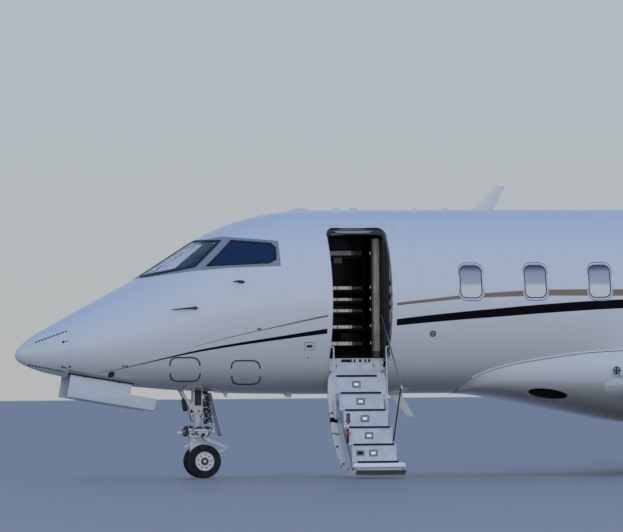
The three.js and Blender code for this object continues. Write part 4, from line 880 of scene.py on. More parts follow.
hullCut = {
    "radomeJoint": 0.69, "doorFrameJoint": 5.3, "tailJoint": 12.9, "tailEnd": 19.55,
    "jointGap": 0.002,  # half of the groove between two skins
    "cockpitFront": 1.9, "cockpitFloor": 1.64, "underfloorFront": 2.95,
    "centrePost": 0.035,
    "bayFront": 0.704, "bayStep": 1.575, "bayRear": 2.76, "bayWide": 0.35, "bayNarrow": 0.19, "bayRoof": 1.62,
}
doorway = {"front": 4.133, "rear": 4.95, "sill": 1.4, "head": 3.35, "corner": 0.11, "shell": 0.06, "reveal": 0.72}
gap = hullCut["jointGap"]
fineGap = 0.0004
floorTop, cockpitTop = 1.5904, 1.6404
windshieldGlass = [(1.723, 2.716), (1.7, 3.0), (2.38, 3.3), (2.44, 3.195), (2.735, 3.19), (2.351, 2.841)]
sideGlass = [(2.505, 2.847), (2.872, 3.187), (3.36, 3.143), (3.41, 3.086), (3.396, 2.931), (3.306, 2.885)]
frameOutline = [(1.64, 2.69), (1.6, 3.05), (2.4, 3.36), (2.475, 3.19), (2.755, 3.247), (3.463, 3.18),
    (3.453, 2.838), (2.85, 2.82), (2.356, 2.786)]
windowRow = {"first": 6.043, "pitch": 0.895, "count": 7, "z": 2.615, "hole": (0.336, 0.5, 0.102)}
windowMids = [windowRow["first"] + i * windowRow["pitch"] for i in range(windowRow["count"])]
baggage = {"front": 13.35, "rear": 14.0, "bottom": 1.72, "top": 2.28}
knuckles = [(4.2604, 4.36), (4.723, 4.8226)]
lugs = [(4.18, 4.26), (4.823, 4.903)]


def doorOutline(margin=0.0, steps=10):
    width, height = doorway["rear"] - doorway["front"], doorway["head"] - doorway["sill"]
    mid = ((doorway["rear"] + doorway["front"]) / 2, (doorway["head"] + doorway["sill"]) / 2)
    corner = doorway["corner"] + 3 * margin
    return roundedOutline(*mid, width - 2 * margin, height - 2 * margin, corner, steps)


def hingeBar(name, span, radius):
    return drum(name, place(span[1], hinge.y, hinge.z), (1, 0, 0), 0, span[1] - span[0], radius)


def bothSides(make):
    left = make()
    return [left, mirroredCopy(left, left.name + "Right")]


def buildRadome():
    radome = hullGrid("radomeSkin", fuselageRows[0][0], hullCut["radomeJoint"] - fineGap, 0, None, 0.03)
    keepHullNormals(radome, (0,))
    addPiece(radome, "bellyPaint", ["radome"], 0)


def buildForward():
    skin = hullGrid("forwardSkin", hullCut["radomeJoint"] + fineGap, hullCut["doorFrameJoint"] - fineGap, 0, None,
        0.04)
    upper = hullGrid("cockpitHollow", hullCut["cockpitFront"], 5.4, -hullWall, None, 0.06)
    carve(upper, [box("aboveFloor", 0, 6, -2, 2, hullCut["cockpitFloor"], 4)], "INTERSECT")
    lower = hullGrid("cabinHollow", hullCut["underfloorFront"], 5.4, -hullWall, None, 0.06)
    wide, narrow, roof = hullCut["bayWide"], hullCut["bayNarrow"], hullCut["bayRoof"]
    through = prism("doorThrough", doorOutline(), doorway["reveal"], 1.5)
    rebate = carve(prism("doorRebate", doorOutline(), 0.3, 1.5), [box("lowInside", 3.5, 5.4, 0, doorway["reveal"],
        1.0, 2.0), hullGrid("insideOfDoor", 3.5, 5.35, -doorway["shell"] - 0.006, None, 0.06)])
    cutters = [upper, lower, box("bayWide", hullCut["bayFront"], hullCut["bayStep"], -wide, wide, 0.9, roof),
        box("bayNarrow", hullCut["bayStep"] - 0.005, hullCut["bayRear"], -narrow, narrow, 0.9, roof), through,
        rebate]
    for outline in (windshieldGlass, sideGlass):
        hole = grown(outline, 0.014)
        cutters += bothSides(lambda: prism("windowHole", hole, hullCut["centrePost"], 1.5))
    cutters += [hingeBar("knuckleRoom", (a - 0.006, b + 0.006), 0.022) for a, b in knuckles]
    carve(skin, cutters)
    keepHullNormals(skin, (0, -hullWall))
    addPiece(skin, "striped", ["forward_fuselage"], 0)
    bars = joinAll("hingeLugs", [hingeBar("lug", span, 0.0155) for span in lugs])
    addPiece(bars, "alloy")


def buildCentre():
    first, last = hullCut["doorFrameJoint"] + fineGap, hullCut["tailJoint"] - gap
    skin = hullGrid("centreSkin", first, last, 0, -hullWall, 0.12)
    cutters = []
    for mid in windowMids:
        hole = roundedOutline(mid, windowRow["z"], *windowRow["hole"])
        cutters += bothSides(lambda: prism("cabinWindowHole", hole, 0.3, 1.5))
    carve(skin, cutters)
    keepHullNormals(skin, (0, -hullWall))
    addPiece(skin, "striped", ["centre_fuselage"], 0)


def baggageOutline(margin, low, rear):
    b = baggage
    outline = [(b["front"] + margin, b["bottom"] + low), (b["rear"] - rear, b["bottom"] + low),
        (b["rear"] - rear, b["top"] - margin), (b["front"] + margin, b["top"] - margin)]
    return roundedCorners(outline, 0.045)


def buildAft():
    skin = hullGrid("aftSkin", hullCut["tailJoint"] + gap, hullCut["tailEnd"], 0, None, 0.05)
    hold = hullGrid("tailHollow", 13.0, 18.5, -0.05, None, 0.08)
    exhaust = drum("exhaustRoom", place(19.2, 0, 3.0), (-1, 0, 0), 0, 0.6, 0.082, 32)
    carve(skin, [hold, prism("hatchHole", baggageOutline(0, 0, 0), 0.3, 1.5), exhaust])
    keepHullNormals(skin, (0, -0.05))
    addPiece(skin, "striped", ["aft_fuselage"], 0)
    hatch = hullGrid("baggageHatch", 13.2, 14.2, 0, -0.05, 0.05)
    carve(hatch, [prism("hatchOutline", baggageOutline(0.006, 0.024, 0.014), 0.3, 1.5)], "INTERSECT")
    keepHullNormals(hatch, (0, -0.05))
    addPiece(hatch, "striped", ["baggage_door"], 0, body="baggage_hatch")
    latches = hullHeads("hatchLatches", [(13.47, 2.235), (13.88, 2.235)], 1, 0.0015, 0.022, 0.004, "polished", 20)
    addPiece(latches, "polished", body="baggage_hatch")


def buildTailExhaust():
    pipe = turned("tailExhaust", [(0, 0.06), (0.36, 0.06), (0.4, 0.066), (0.4, 0.074), (0.34, 0.078), (0, 0.078),
        (0, 0.06)], place(19.22, 0, 3.0), (-1, 0, 0), 40)
    addPiece(pipe, "steel")
    light = turned("tailLight", [(0, 0), (0, 0.02), (0.02, 0.016), (0.032, 0)], place(19.545, 0, 3.098), (-1, 0, 0),
        20)
    addPiece(light, "lamp")


# Glass and its frames


def sheetInside(name, outline, outer, inner, yFrom, holes=()):
    sheet = hullGrid(name, 1.45, 3.75, outer, inner, 0.03, 160)
    carve(sheet, [prism("outline", outline, yFrom, 1.5)], "INTERSECT")
    if holes:
        carve(sheet, [prism("hole", hole, yLow, 1.5) for hole, yLow in holes])
    return sheet


def buildCockpitGlass():
    post = hullCut["centrePost"]
    frames = []
    for mirror in (False, True):
        plate = sheetInside("windshieldFrameLeft", frameOutline, 0.0016, -0.02, 0.0,
            [(grown(windshieldGlass, 0.013), post), (grown(sideGlass, 0.013), post)])
        keepHullNormals(plate, (0.0016, -0.02))
        frames.append(mirroredCopy(plate, "windshieldFrameRight") if mirror else plate)
        if mirror:
            bpy.data.objects.remove(plate)
    for name, plate in zip(("windshieldFrameLeft", "windshieldFrameRight"), frames):
        if name.endswith("Right"):
            keepHullNormals(plate, (0.0016, -0.02))
        addPiece(plate, "frameMetal", sharp=0)
    for outline, key, node in ((windshieldGlass, "windshield", "windshield"),
            (roundedCorners(sideGlass, 0.085), "sidePane", "cockpit_side_window")):
        seal = sheetInside(key + "Seal", grown(outline, 0.013), 0.0005, -0.022, post,
            [(grown(outline, -0.012), post + 0.011)])
        pane = sheetInside(key + "Pane", grown(outline, 0.004), -0.0035, -0.025, post + 0.006)
        tint = "windshieldGlass" if key == "windshield" else "cockpitGlass"
        for part, slot, mat, nodes in ((seal, "composite_paint", "seal", None),
                (pane, "cockpit_glass", tint, node)):
            other = mirroredCopy(part, part.name + "Right")
            part.name += "Left"
            for obj, side in ((part, "_left"), (other, "_right")):
                keepHullNormals(obj, (0.0005, -0.0035, -0.022, -0.025))
                addPiece(obj, mat, [nodes + side] if nodes else (), 0)


def frameRivets():
    spots = along(grown(frameOutline[3:] + [frameOutline[0]], -0.01), 0.042, closed=False)
    spots += along(grown(sideGlass, 0.024), 0.042)
    spots += along(grown(windshieldGlass[3:] + [windshieldGlass[0]], 0.024), 0.042, closed=False)
    for side, name in ((1, "frameRivetsLeft"), (-1, "frameRivetsRight")):
        addPiece(hullHeads(name, spots, side, 0.0016, 0.0056, 0.0016, "seal", 8), "seal")


def windowRing(name, mid, side):
    z = windowRow["z"]
    steps = []
    for width, height, corner, depth in ((0.362, 0.53, 0.116, -0.004), (0.362, 0.53, 0.116, 0.0015),
            (0.354, 0.522, 0.112, 0.0042), (0.326, 0.486, 0.1, 0.0042), (0.312, 0.462, 0.092, -0.002),
            (0.304, 0.446, 0.088, -0.014), (0.33, 0.494, 0.102, -0.016)):
        steps.append((roundedOutline(mid, z, width, height, corner, 12), depth))
    return ringOnHull(name, steps, side)


def buildCabinWindows():
    z = windowRow["z"]
    for side, end, node in ((1, "Left", "cabin_windows_left"), (-1, "Right", "cabin_windows_right")):
        rims = joinAll("windowRims" + end, [windowRing("rim", mid, side) for mid in windowMids])
        addPiece(rims, "rimChrome", sharp=50)
        lines = joinAll("windowRimLines" + end, [bandOnHull("line", roundedOutline(mid, z, 0.3395, 0.503, 0.106,
            12), 0.006, 0.003, 0.0046, side) for mid in windowMids])
        addPiece(lines, "seal")
        seals = joinAll("windowSeals" + end, [ringOnHull("seal", [(roundedOutline(mid, z, w, h, c, 12), d) for w, h,
            c, d in ((0.306, 0.448, 0.088, -0.0125), (0.284, 0.424, 0.078, -0.0125), (0.282, 0.422, 0.078, -0.016),
            (0.306, 0.448, 0.088, -0.016))], side) for mid in windowMids])
        addPiece(seals, "seal")
        panes = joinAll("windowPanes" + end, [plateOnHull("pane", roundedOutline(mid, z, 0.302, 0.444, 0.086, 12),
            -0.0145, -0.03, side) for mid in windowMids])
        addPiece(panes, "cabinGlass", [node], 40)
        liner = joinAll("windowShades" + end, [plateOnHull("shade", roundedOutline(mid, z - 0.14, 0.286, 0.145,
            0.05, 8), -0.0375, -0.04, side) for mid in windowMids])
        addPiece(liner, "shade")
        wells = []
        for mid in windowMids:
            outer = roundedOutline(mid, z, 0.336, 0.5, 0.102, 12)
            inner = roundedOutline(mid, z, 0.296, 0.44, 0.084, 12)
            wells.append(ringOnHull("well", [(outer, -0.044), (inner, -0.034), (inner, -0.09), (outer, -0.09)],
                side))
        addPiece(joinAll("windowWells" + end, wells), "lining")


# Small things on the skin


def panelLine(name, outline, width=0.006, side=1):
    return bandOnHull(name, outline, width, -0.002, 0.0006, side)


def buildPanels():
    hatches = [[(1.978, 1.623), (2.375, 1.62), (2.443, 1.305), (2.046, 1.308)],
        [(2.803, 1.577), (3.188, 1.574), (3.271, 1.258), (2.884, 1.261)]]
    lines, screws = [], []
    for outline in hatches:
        rounded = roundedCorners(outline, 0.105, 9)
        lines.append(panelLine("hatchLine", rounded, 0.019))
        screws += along(grown(rounded, -0.021), 0.058)
    lines.append(panelLine("handleLine", roundedCorners([(3.766, 1.812), (3.908, 1.811), (3.919, 1.711),
        (3.776, 1.712)], 0.012), 0.005))
    for side, end in flanks:
        if side == 1:
            obj = joinAll("hatchLinesLeft", lines)
        else:
            obj = mirroredCopy(bpy.data.objects["hatchLinesLeft"], "hatchLinesRight")
        addPiece(obj, "groove")
        addPiece(hullHeads("hatchScrews" + end, screws, side, 0.0008, 0.0042, 0.0016), "screw")


def disc(name, station, z, radius, height, mat, side=1, sides=32):
    spot, out = spotOnHull(station, z, side)
    obj = turned(name, [(-0.004, 0), (-0.004, radius), (height * 0.6, radius), (height, radius * 0.86),
        (height, 0)], spot, out, sides)
    return addPiece(obj, mat)


def buildPorts():
    for side, end in flanks:
        disc("staticPort" + end, 5.522, 1.918, 0.044, 0.0018, "groove", side)
        disc("staticFace" + end, 5.522, 1.918, 0.03, 0.0024, "frameMetal", side)
        disc("staticHole" + end, 5.522, 1.918, 0.01, 0.003, "seal", side)
        disc("fillerCap" + end, 3.841, 1.612, 0.034, 0.0022, "wheelPaint", side)
        disc("fillerKey" + end, 3.841, 1.612, 0.012, 0.003, "seal", side)
        disc("groundPort" + end, 2.958, 2.01, 0.007, 0.0016, "seal", side)
        addPiece(plateOnHull("skinFitting" + end, roundedOutline(3.146, 1.996, 0.058, 0.018, 0.008), -0.002, 0.0024,
            side), "darkMetal")
        pocket = roundedOutline(3.842, 1.762, 0.082, 0.036, 0.012)
        addPiece(plateOnHull("handlePlate" + end, pocket, -0.002, 0.0026, side), "hubMetal")
        addPiece(plateOnHull("coolingScoop" + end, roundedOutline(1.254, 1.405, 0.08, 0.074, 0.03), -0.002, 0.0024,
            side), "seal")
        marks = [plateOnHull("mark", roundedOutline(s, 1.512, 0.016, 0.026, 0.004, 3), -0.002, 0.0014, side)
            for s in (1.38, 1.41, 1.442)]
        addPiece(joinAll("serviceMarks" + end, marks), "seal")


def probe(name, station, z, side, lean):
    foot, out = spotOnHull(station, z, side, -0.004)
    elbow = foot + out * 0.07 + Vector((0.04, 0, 0.01 * lean))
    mast = []
    for share, chord, thick in ((0, 0.115, 0.034), (0.5, 0.085, 0.028), (1, 0.045, 0.018)):
        base = foot.lerp(elbow, share)
        up = Vector((0, 0, 1)) if abs(out.z) < 0.8 else Vector((0, 1, 0))
        up = (up - out * up.dot(out)).normalized()
        mast.append([base + Vector((chord / 2 * cos(a), 0, 0)) + up * thick / 2 * sin(a) for a in circleAngles(24)])
    body = loft(name, mast)
    tip = elbow + Vector((0.27 if lean < -0.7 else 0.075, 0, 0.022 * lean))
    path = [elbow - Vector((0.024, 0, 0)), elbow, elbow.lerp(tip, 0.75), tip]
    head = tube(name + "Head", path, 0.0, 20, [0.006, 0.011, 0.0085, 0.0045])
    plate = turned(name + "Foot", [(0, 0), (0, 0.024), (0.005, 0.024), (0.007, 0.02), (0.007, 0)], foot, out, 32)
    return joinAll(name, [body, head, plate])


def buildProbes():
    for side, end in flanks:
        addPiece(probe("pitotProbe" + end, 2.3, 2.282, side, -1), "darkMetal")
        addPiece(probe("iceProbe" + end, 2.925, 2.625, side, -0.5), "darkMetal")


# swept antenna blade; root and tip are (front, rear, z) of the chord lines
def blade(name, root, tip, thick, stations=9):
    rings = []
    for i in range(stations):
        t = i / (stations - 1)
        front, rear = root[0] + (tip[0] - root[0]) * t, root[1] + (tip[1] - root[1]) * t
        z = root[2] + (tip[2] - root[2]) * t
        trim = 0.003 * max(0, (t - 0.9) / 0.1) ** 2
        front, rear = front + trim, rear - trim
        half = thick / 2 * (1 - 0.35 * t)
        ring = []
        for a in circleAngles(36):
            ring.append(place((front + rear) / 2 - (rear - front) / 2 * cos(a), half * sin(a), z))
        rings.append(ring)
    return loft(name, rings)


def buildAntennas():
    fin = blade("crownBlade", (6.365, 6.654, 3.613), (6.717, 6.83, 3.944), 0.016)
    addPiece(fin, "paint", ["blade_antenna"])
    belly = blade("bellyBlade", (5.15, 5.345, 1.124), (5.427, 5.523, 0.803), 0.018)
    addPiece(belly, "paint")
    drain = blade("drainMast", (2.86, 2.925, 1.155), (2.895, 2.93, 1.085), 0.014)
    addPiece(drain, "paint")
    small = blade("lowerAerial", (3.7, 3.815, 1.13), (3.745, 3.81, 1.075), 0.014)
    addPiece(small, "paint")
    bumps = []
    for name, station, length, width, height in (("crownPod", 3.955, 0.3, 0.12, 0.03),
            ("crownAerialOne", 4.45, 0.115, 0.075, 0.03), ("crownAerialTwo", 4.7, 0.135, 0.09, 0.034),
            ("crownAerialThree", 5.56, 0.055, 0.045, 0.024), ("crownAerialFour", 5.98, 0.095, 0.07, 0.028)):
        crown = sectionAt(station)[0]
        rings = []
        for t in np.linspace(0, 1, 9):
            shrink = sqrt(max(0.02, 1 - t * t))
            rings.append([place(station - length / 2 * shrink * cos(a), width / 2 * shrink * sin(a),
                float(crown) - 0.012 + (height + 0.012) * t) for a in circleAngles(40)])
        bumps.append(loft(name, rings))
    addPiece(joinAll("crownAerials", bumps), "paint", sharp=60)
    for side, end in flanks:
        strips = [bandOnHull("strip", [(s, z0 + (z1 - z0) * (s - s0) / (s1 - s0))
            for s in (a, a + 0.62 * (s1 - s0) / 11)], 0.015, -0.001, 0.0022, side, closed=False) for s0, z0, s1,
            z1 in ((0.266, 1.841, 0.674, 1.994), (0.189, 1.541, 0.647, 1.447))
            for a in np.linspace(s0, s1, 11, endpoint=False)]
        strips += [bandOnHull("strip", path, 0.009, -0.001, 0.002, side, closed=False)
            for path in ([(0.612, 1.846), (0.668, 1.858)], [(0.614, 1.512), (0.672, 1.494)])]
        addPiece(joinAll("diverterStrips" + end, strips), "seal")
        spots = [Vector(p) for p in ((0.603, 1.844), (0.605, 1.514), (0.7, 1.513))]
        addPiece(hullHeads("radomeLatches" + end, spots, side, 0.001, 0.017, 0.002, "seal", 20), "seal")


def buildSkinScrews():  # rows of flush rivets along the skin joints
    for side, end in flanks:
        places = []
        for station in (0.722, 12.87, 12.93):
            angles = np.arange(0.06, pi, 0.045 / float(sectionAt(station)[2]))
            at, normals = hullPoints(np.full_like(angles, station), side * angles, 0.0003)
            places += [(p, n) for p, n in zip(at, normals) if station > 1 or abs(p[1]) > 0.38 or p[2] > 1.6]
        addPiece(heads("jointRivets" + end, places, 0.0032, 0.0008, "screw", 6), "screw")


print("hull functions ready")

# Doorway, airstair and cabin

stairs = {"front": 4.27, "rear": 4.81, "firstY": 0.85, "firstZ": 1.363, "run": 0.246, "rise": 0.228, "count": 6,
    "sheet": 0.022, "cheek": 0.035, "lightStation": 4.525}
stay = {"topY": 0.96, "topZ": 1.751, "lowY": 1.06, "lowZ": 0.79, "radius": 0.01, "stations": (4.189, 4.912)}
rail = {"foot": (1.57, 0.5), "knee": (2.0, 1.177), "top": (0.8, 2.18), "radius": 0.0095, "post": 4.862,
    "rail": 4.886}


def insideHull(obj, inset=0.0875):
    room = hullGrid("insideRoom", 1.9, 13.0, -inset, None, 0.12, 96)
    return carve(obj, [room], "INTERSECT")


def buildDoorway():
    outline = doorOutline(0, 14)
    seam = ringOnHull("doorwaySeam", [(outline, 0.0006), (grown(outline, 0.004), 0.0006),
        (grown(outline, 0.004), -0.004), (outline, -0.004)])
    addPiece(seam, "seal")
    # painted shade: dark lip and header sheets across the upper part of the doorway reveal
    lip = ringOnHull("doorwayLip", [(grown(outline, 0.002), -0.068), (grown(outline, -0.014), -0.068),
        (grown(outline, -0.018), -0.072), (grown(outline, -0.018), -0.084), (grown(outline, 0.002), -0.084)])
    carve(lip, [box("lowHalf", 3.5, 5.5, -2, 2, 1.0, 1.95)])
    addPiece(lip, "lipShade")
    for name, near, far, depths, low, mat in (("doorwayHeader", 0.05, -0.028, (-0.0645, -0.08), 3.16, "lipShade"),
            ("doorwayHeaderBand", 0.03, 0.008, (-0.0637, -0.0647), 3.2, "headerGrey"),
            ("doorwayHeaderTrim", -0.016, -0.026, (-0.0637, -0.0647), 3.27, "headerGrey")):
        header = ringOnHull(name, [(grown(outline, near), depths[0]), (grown(outline, far), depths[0]),
            (grown(outline, far), depths[1]), (grown(outline, near), depths[1])])
        carve(header, [box("lowPart", 3.5, 5.5, -2, 2, 1.0, low)])
        addPiece(header, mat)
    seal = ringOnHull("doorwaySeal", [(grown(outline, -0.004), -0.0665), (grown(outline, -0.014), -0.064),
        (grown(outline, -0.014), -0.069), (grown(outline, -0.004), -0.069)])
    carve(seal, [box("lowHalf", 3.5, 5.5, -2, 2, 1.0, 1.96)])
    addPiece(seal, "seal")
    path = [(s, 3.384) for s in np.linspace(4.035, 5.065, 40)]
    path = [(4.02, 3.35), (4.024, 3.37)] + path + [(5.078, 3.368), (5.082, 3.345)]
    gutter = bandOnHull("rainGutter", path, 0.009, -0.002, 0.011, 1, closed=False)
    addPiece(gutter, "paint")


def buildEntry():  # trim seen through the doorway
    rear = insideHull(box("entryPanelRear", 4.956, 4.984, 0.6, 1.2, 1.595, 3.3), 0.09)
    addPiece(rear, "entryDark")
    pale = insideHull(box("entryTrimRear", 4.9505, 4.9555, 1.02, 1.22, 1.595, 3.3), 0.0885)
    addPiece(pale, "jambPale")
    beads = [cylinder("bead", (4.951, y, 1.62), (4.951, y, 3.05), 0.006, 10) for y in (0.66, 1.005)]
    addPiece(joinAll("entryBeads", beads), "seal")
    slots = [box("slot", 4.9435, 4.9505, 1.03, 1.1, z - h / 2, z + h / 2, 0.003) for z,
        h in ((2.02, 0.1), (2.28, 0.06), (2.42, 0.09), (2.6, 0.06), (2.86, 0.05), (2.97, 0.04))]
    addPiece(insideHull(joinAll("entryLatches", slots), 0.094), "darkMetal")
    post = box("entryPost", 4.904, 4.9885, 0.14, 0.296, 1.592, 3.225, 0.018)
    addPiece(post, "entryPost")
    trims = [box("trim", 4.9025, 4.9893, 0.138, 0.2975, z, z + 0.004) for z in (1.905, 2.47, 3.02)]
    addPiece(joinAll("entryPostJoints", trims), "darkMetal")
    foot = box("entryPostFoot", 4.897, 4.9893, 0.13, 0.308, 1.592, 1.7, 0.02)
    addPiece(foot, "entryFoot")
    sill = prism("thresholdPlate", [(4.15, 0.4), (4.935, 0.4), (4.935, 0.747), (4.15, 0.747)], 1.5915, 1.5975, "z")
    addPiece(sill, "polished")
    step = box("thresholdEdge", 4.15, 4.935, 0.707, 0.7185, 1.52, 1.592)
    addPiece(step, "polished")
    marks = [box("mark", s - w / 2, s + w / 2, 0.7187, 0.721, 1.545, 1.585, 0.001) for s,
        w in ((4.4, 0.1), (4.47, 0.05), (4.53, 0.025), (4.61, 0.035), (4.68, 0.02), (4.735, 0.03))]
    addPiece(joinAll("thresholdMarks", marks), "seal")
    top = box("topRiser", 4.285, 4.785, 0.7195, 0.724, 1.405, 1.53, 0.0015)
    addPiece(top, "stepPaint")
    sideCovers = [box("cover", a, b, 0.7195, 0.7225, 1.405, 1.59, 0.001) for a,
        b in ((4.16, 4.275), (4.795, 4.925))]
    addPiece(joinAll("topRiserCovers", sideCovers), "stepPaint")
    bolts = [(place(s, 0.7226, z), (0, 1, 0)) for s in (4.18, 4.255, 4.815, 4.905) for z in (1.43, 1.5, 1.57)]
    addPiece(heads("topRiserScrews", bolts, 0.006, 0.002, "screw"), "screw")


def buildGalley():
    shelves = [(1.64, 1.77), (1.8, 1.98), (2.01, 2.2), (2.23, 2.35), (2.39, 2.5), (2.55, 2.96)]
    divider = box("cockpitDivider", 3.62, 3.68, -1.1, 1.1, floorTop, 3.5)
    carve(divider, [box("aisle", 3.5, 3.8, -0.3, 0.3, 1.0, 3.35)])
    closet = bevelled(box("closet", 3.675, 4.26, -1.1, -0.42, floorTop, 2.9), 0.006)
    cabinet = box("galleyCabinet", 4.255, 4.94, -1.1, -0.38, floorTop, 3.3)
    carve(cabinet, [box("niche", 4.3, 4.9, -0.76, -0.3, low, high) for low, high in shelves])
    whole = carve(divider, [closet, cabinet], "UNION")
    # the near black wood finish here is painted shade
    addPiece(insideHull(bevelled(whole, 0.004, 1)), "wood", ["galley"])
    strips = [(1.78, 1.828), (2.01, 2.052), (2.233, 2.272), (2.388, 2.424), (2.54, 2.585)]
    # painted highlight: the shelf strips glow and fade towards their ends
    glow = [box("strip", 4.44, 4.745, -0.372, -0.366, a, b, 0.002) for a, b in strips]
    upper = box("upperStrip", 4.44, 4.745, -0.372, -0.366, 3.008, 3.068, 0.002)
    addPiece(upper, "jamb")
    addPiece(joinAll("shelfPaintedHighlight", glow), "shelfPaintedHighlight")
    dim = [box("dim", 4.31, 4.89, -0.379, -0.3725, a, b, 0.002) for a, b in strips + [(3.008, 3.068)]]
    addPiece(joinAll("shelfLips", dim), "shelfLip")
    bars = [box("bar", s, s + 0.01, -0.3655, -0.362, a - 0.006, b + 0.006) for a,
        b in strips for s in (4.54, 4.712)]
    addPiece(joinAll("shelfClips", bars), "panel")
    tray = box("galleyDrawer", 4.5, 4.62, -0.379, -0.372, 2.9, 2.975, 0.004)
    addPiece(tray, "drawer")
    # painted highlight: the partition catches take the glowing lamp finish
    catches = [box("catch", 4.996, 5.006, -0.3345, -0.3285, z, z + 0.034, 0.002)
        for z in (1.795, 2.03, 2.25, 2.405, 2.555, 3.02)]
    addPiece(joinAll("partitionCatches", catches), "stepLampAndGlint")
    fade = [box("fade", 4.746, 4.8, -0.3715, -0.367, a + 0.004, b - 0.004, 0.001) for a,
        b in strips + [(3.008, 3.068)]]
    addPiece(joinAll("shelfEnds", fade), "shelfHighlightFade")
    ovens = [box("unit", a, b, -0.74, -0.4, low + 0.004, high - 0.03, 0.005) for (low, high),
        (a, b) in zip(shelves, ((4.33, 4.58), (4.6, 4.87), (4.33, 4.7), (4.5, 4.86), (4.33, 4.6), (4.36, 4.8)))]
    addPiece(joinAll("galleyUnits", ovens), "wood")


def buildCabin():
    wall = box("cabinPartition", 4.99, 5.06, -1.2, 1.2, floorTop, 3.5)
    carve(wall, [prism("aisleArch", roundedOutline(-0.015, 2.15, 0.63, 2.3, 0.14), 4.9, 5.2, "x")])
    addPiece(insideHull(bevelled(wall, 0.006)), "wood", ["cabin_partition"])
    floor = box("cabinFloor", 2.952, 12.897, -1.2, 1.2, 1.55, 1.59)
    carve(floor, [box("sillRoom", 4.128, 4.955, 0.705, 1.3, 1.0, 2.0)])
    addPiece(insideHull(floor, 0.0905), "carpet", ["cabin_floor"])
    panel = prism("instrumentPanel", roundedCorners([(1.96, 2.56), (2.24, 2.6), (2.3, 2.52), (2.2, 2.14),
        (1.96, 2.14)], 0.03), -0.9, 0.9)
    pedestal = box("pedestal", 2.15, 2.7, -0.14, 0.14, cockpitTop, 2.25, 0.01)
    addPiece(insideHull(carve(panel, [pedestal], "UNION")), "panel", ["instrument_panel"])
    screens, slope = [], atan2(0.1, 0.38)
    for y in (-0.62, -0.34, 0.34, 0.62, 0.0):
        screen = box("screen", -0.004, 0.004, -0.115, 0.115, -0.085, 0.085, 0.003)
        turn = Matrix.Translation(place(2.2575, y, 2.34)) @ Matrix.Rotation(-slope, 4,
            "Y") @ Matrix.Translation((-noseX, 0, 0))
        screens.append(moved(screen, turn))
    addPiece(joinAll("displays", screens), "display")
    hood = prism("glareShield", roundedCorners([(2.02, 2.602), (2.3, 2.628), (2.315, 2.612), (2.24, 2.598),
        (2.02, 2.57)], 0.006), -0.86, 0.86)
    addPiece(insideHull(hood), "panel")
    for side, end in flanks:
        parts = [bevelled(box("cushion", 2.52, 2.96, 0.27, 0.75, 1.985, 2.145), 0.045, 4)]
        back = prism("back", [(2.925, 2.06), (3.075, 2.03), (3.235, 2.66), (3.115, 2.7)], 0.28, 0.74)
        parts.append(bevelled(back, 0.04, 4))
        head = prism("head", [(3.13, 2.665), (3.222, 2.645), (3.252, 2.765), (3.165, 2.785)], 0.4, 0.62)
        parts.append(bevelled(head, 0.03, 4))
        arms = [bevelled(prism("arm", [(2.62, 2.28), (2.98, 2.3), (2.98, 2.345), (2.62, 2.325)], a, a + 0.045),
            0.018, 3) for a in (0.262, 0.713)]
        base = box("seatBase", 2.66, 2.9, 0.36, 0.66, cockpitTop, 2.0, 0.01)
        seat = joinAll("pilotSeat", parts + arms)
        seat, base = onFlank(seat, side, "pilotSeat" + end), onFlank(base, side, "seatBase" + end)
        addPiece(seat, "leather", ["pilot_seat_left" if side > 0 else "pilot_seat_right"], 60)
        addPiece(base, "darkMetal")


def stepOutline():
    upper = []
    for i in range(stairs["count"]):
        y = stairs["firstY"] + i * stairs["run"]
        z = stairs["firstZ"] - i * stairs["rise"]
        if i:
            upper.append((y - stairs["run"], z))
        upper.append((y, z))
    sheet = stairs["sheet"]
    lower = [(y - sheet, z - sheet) for y, z in upper][::-1]
    endY, endZ = upper[-1]
    return upper, upper + [(endY, endZ - 0.11), (endY - sheet, endZ - 0.11)] + lower


def doorRoom():
    return swungOpen(hullGrid("doorRoom", 3.9, 5.3, -doorway["shell"] - 0.0004, None, 0.06, 192))


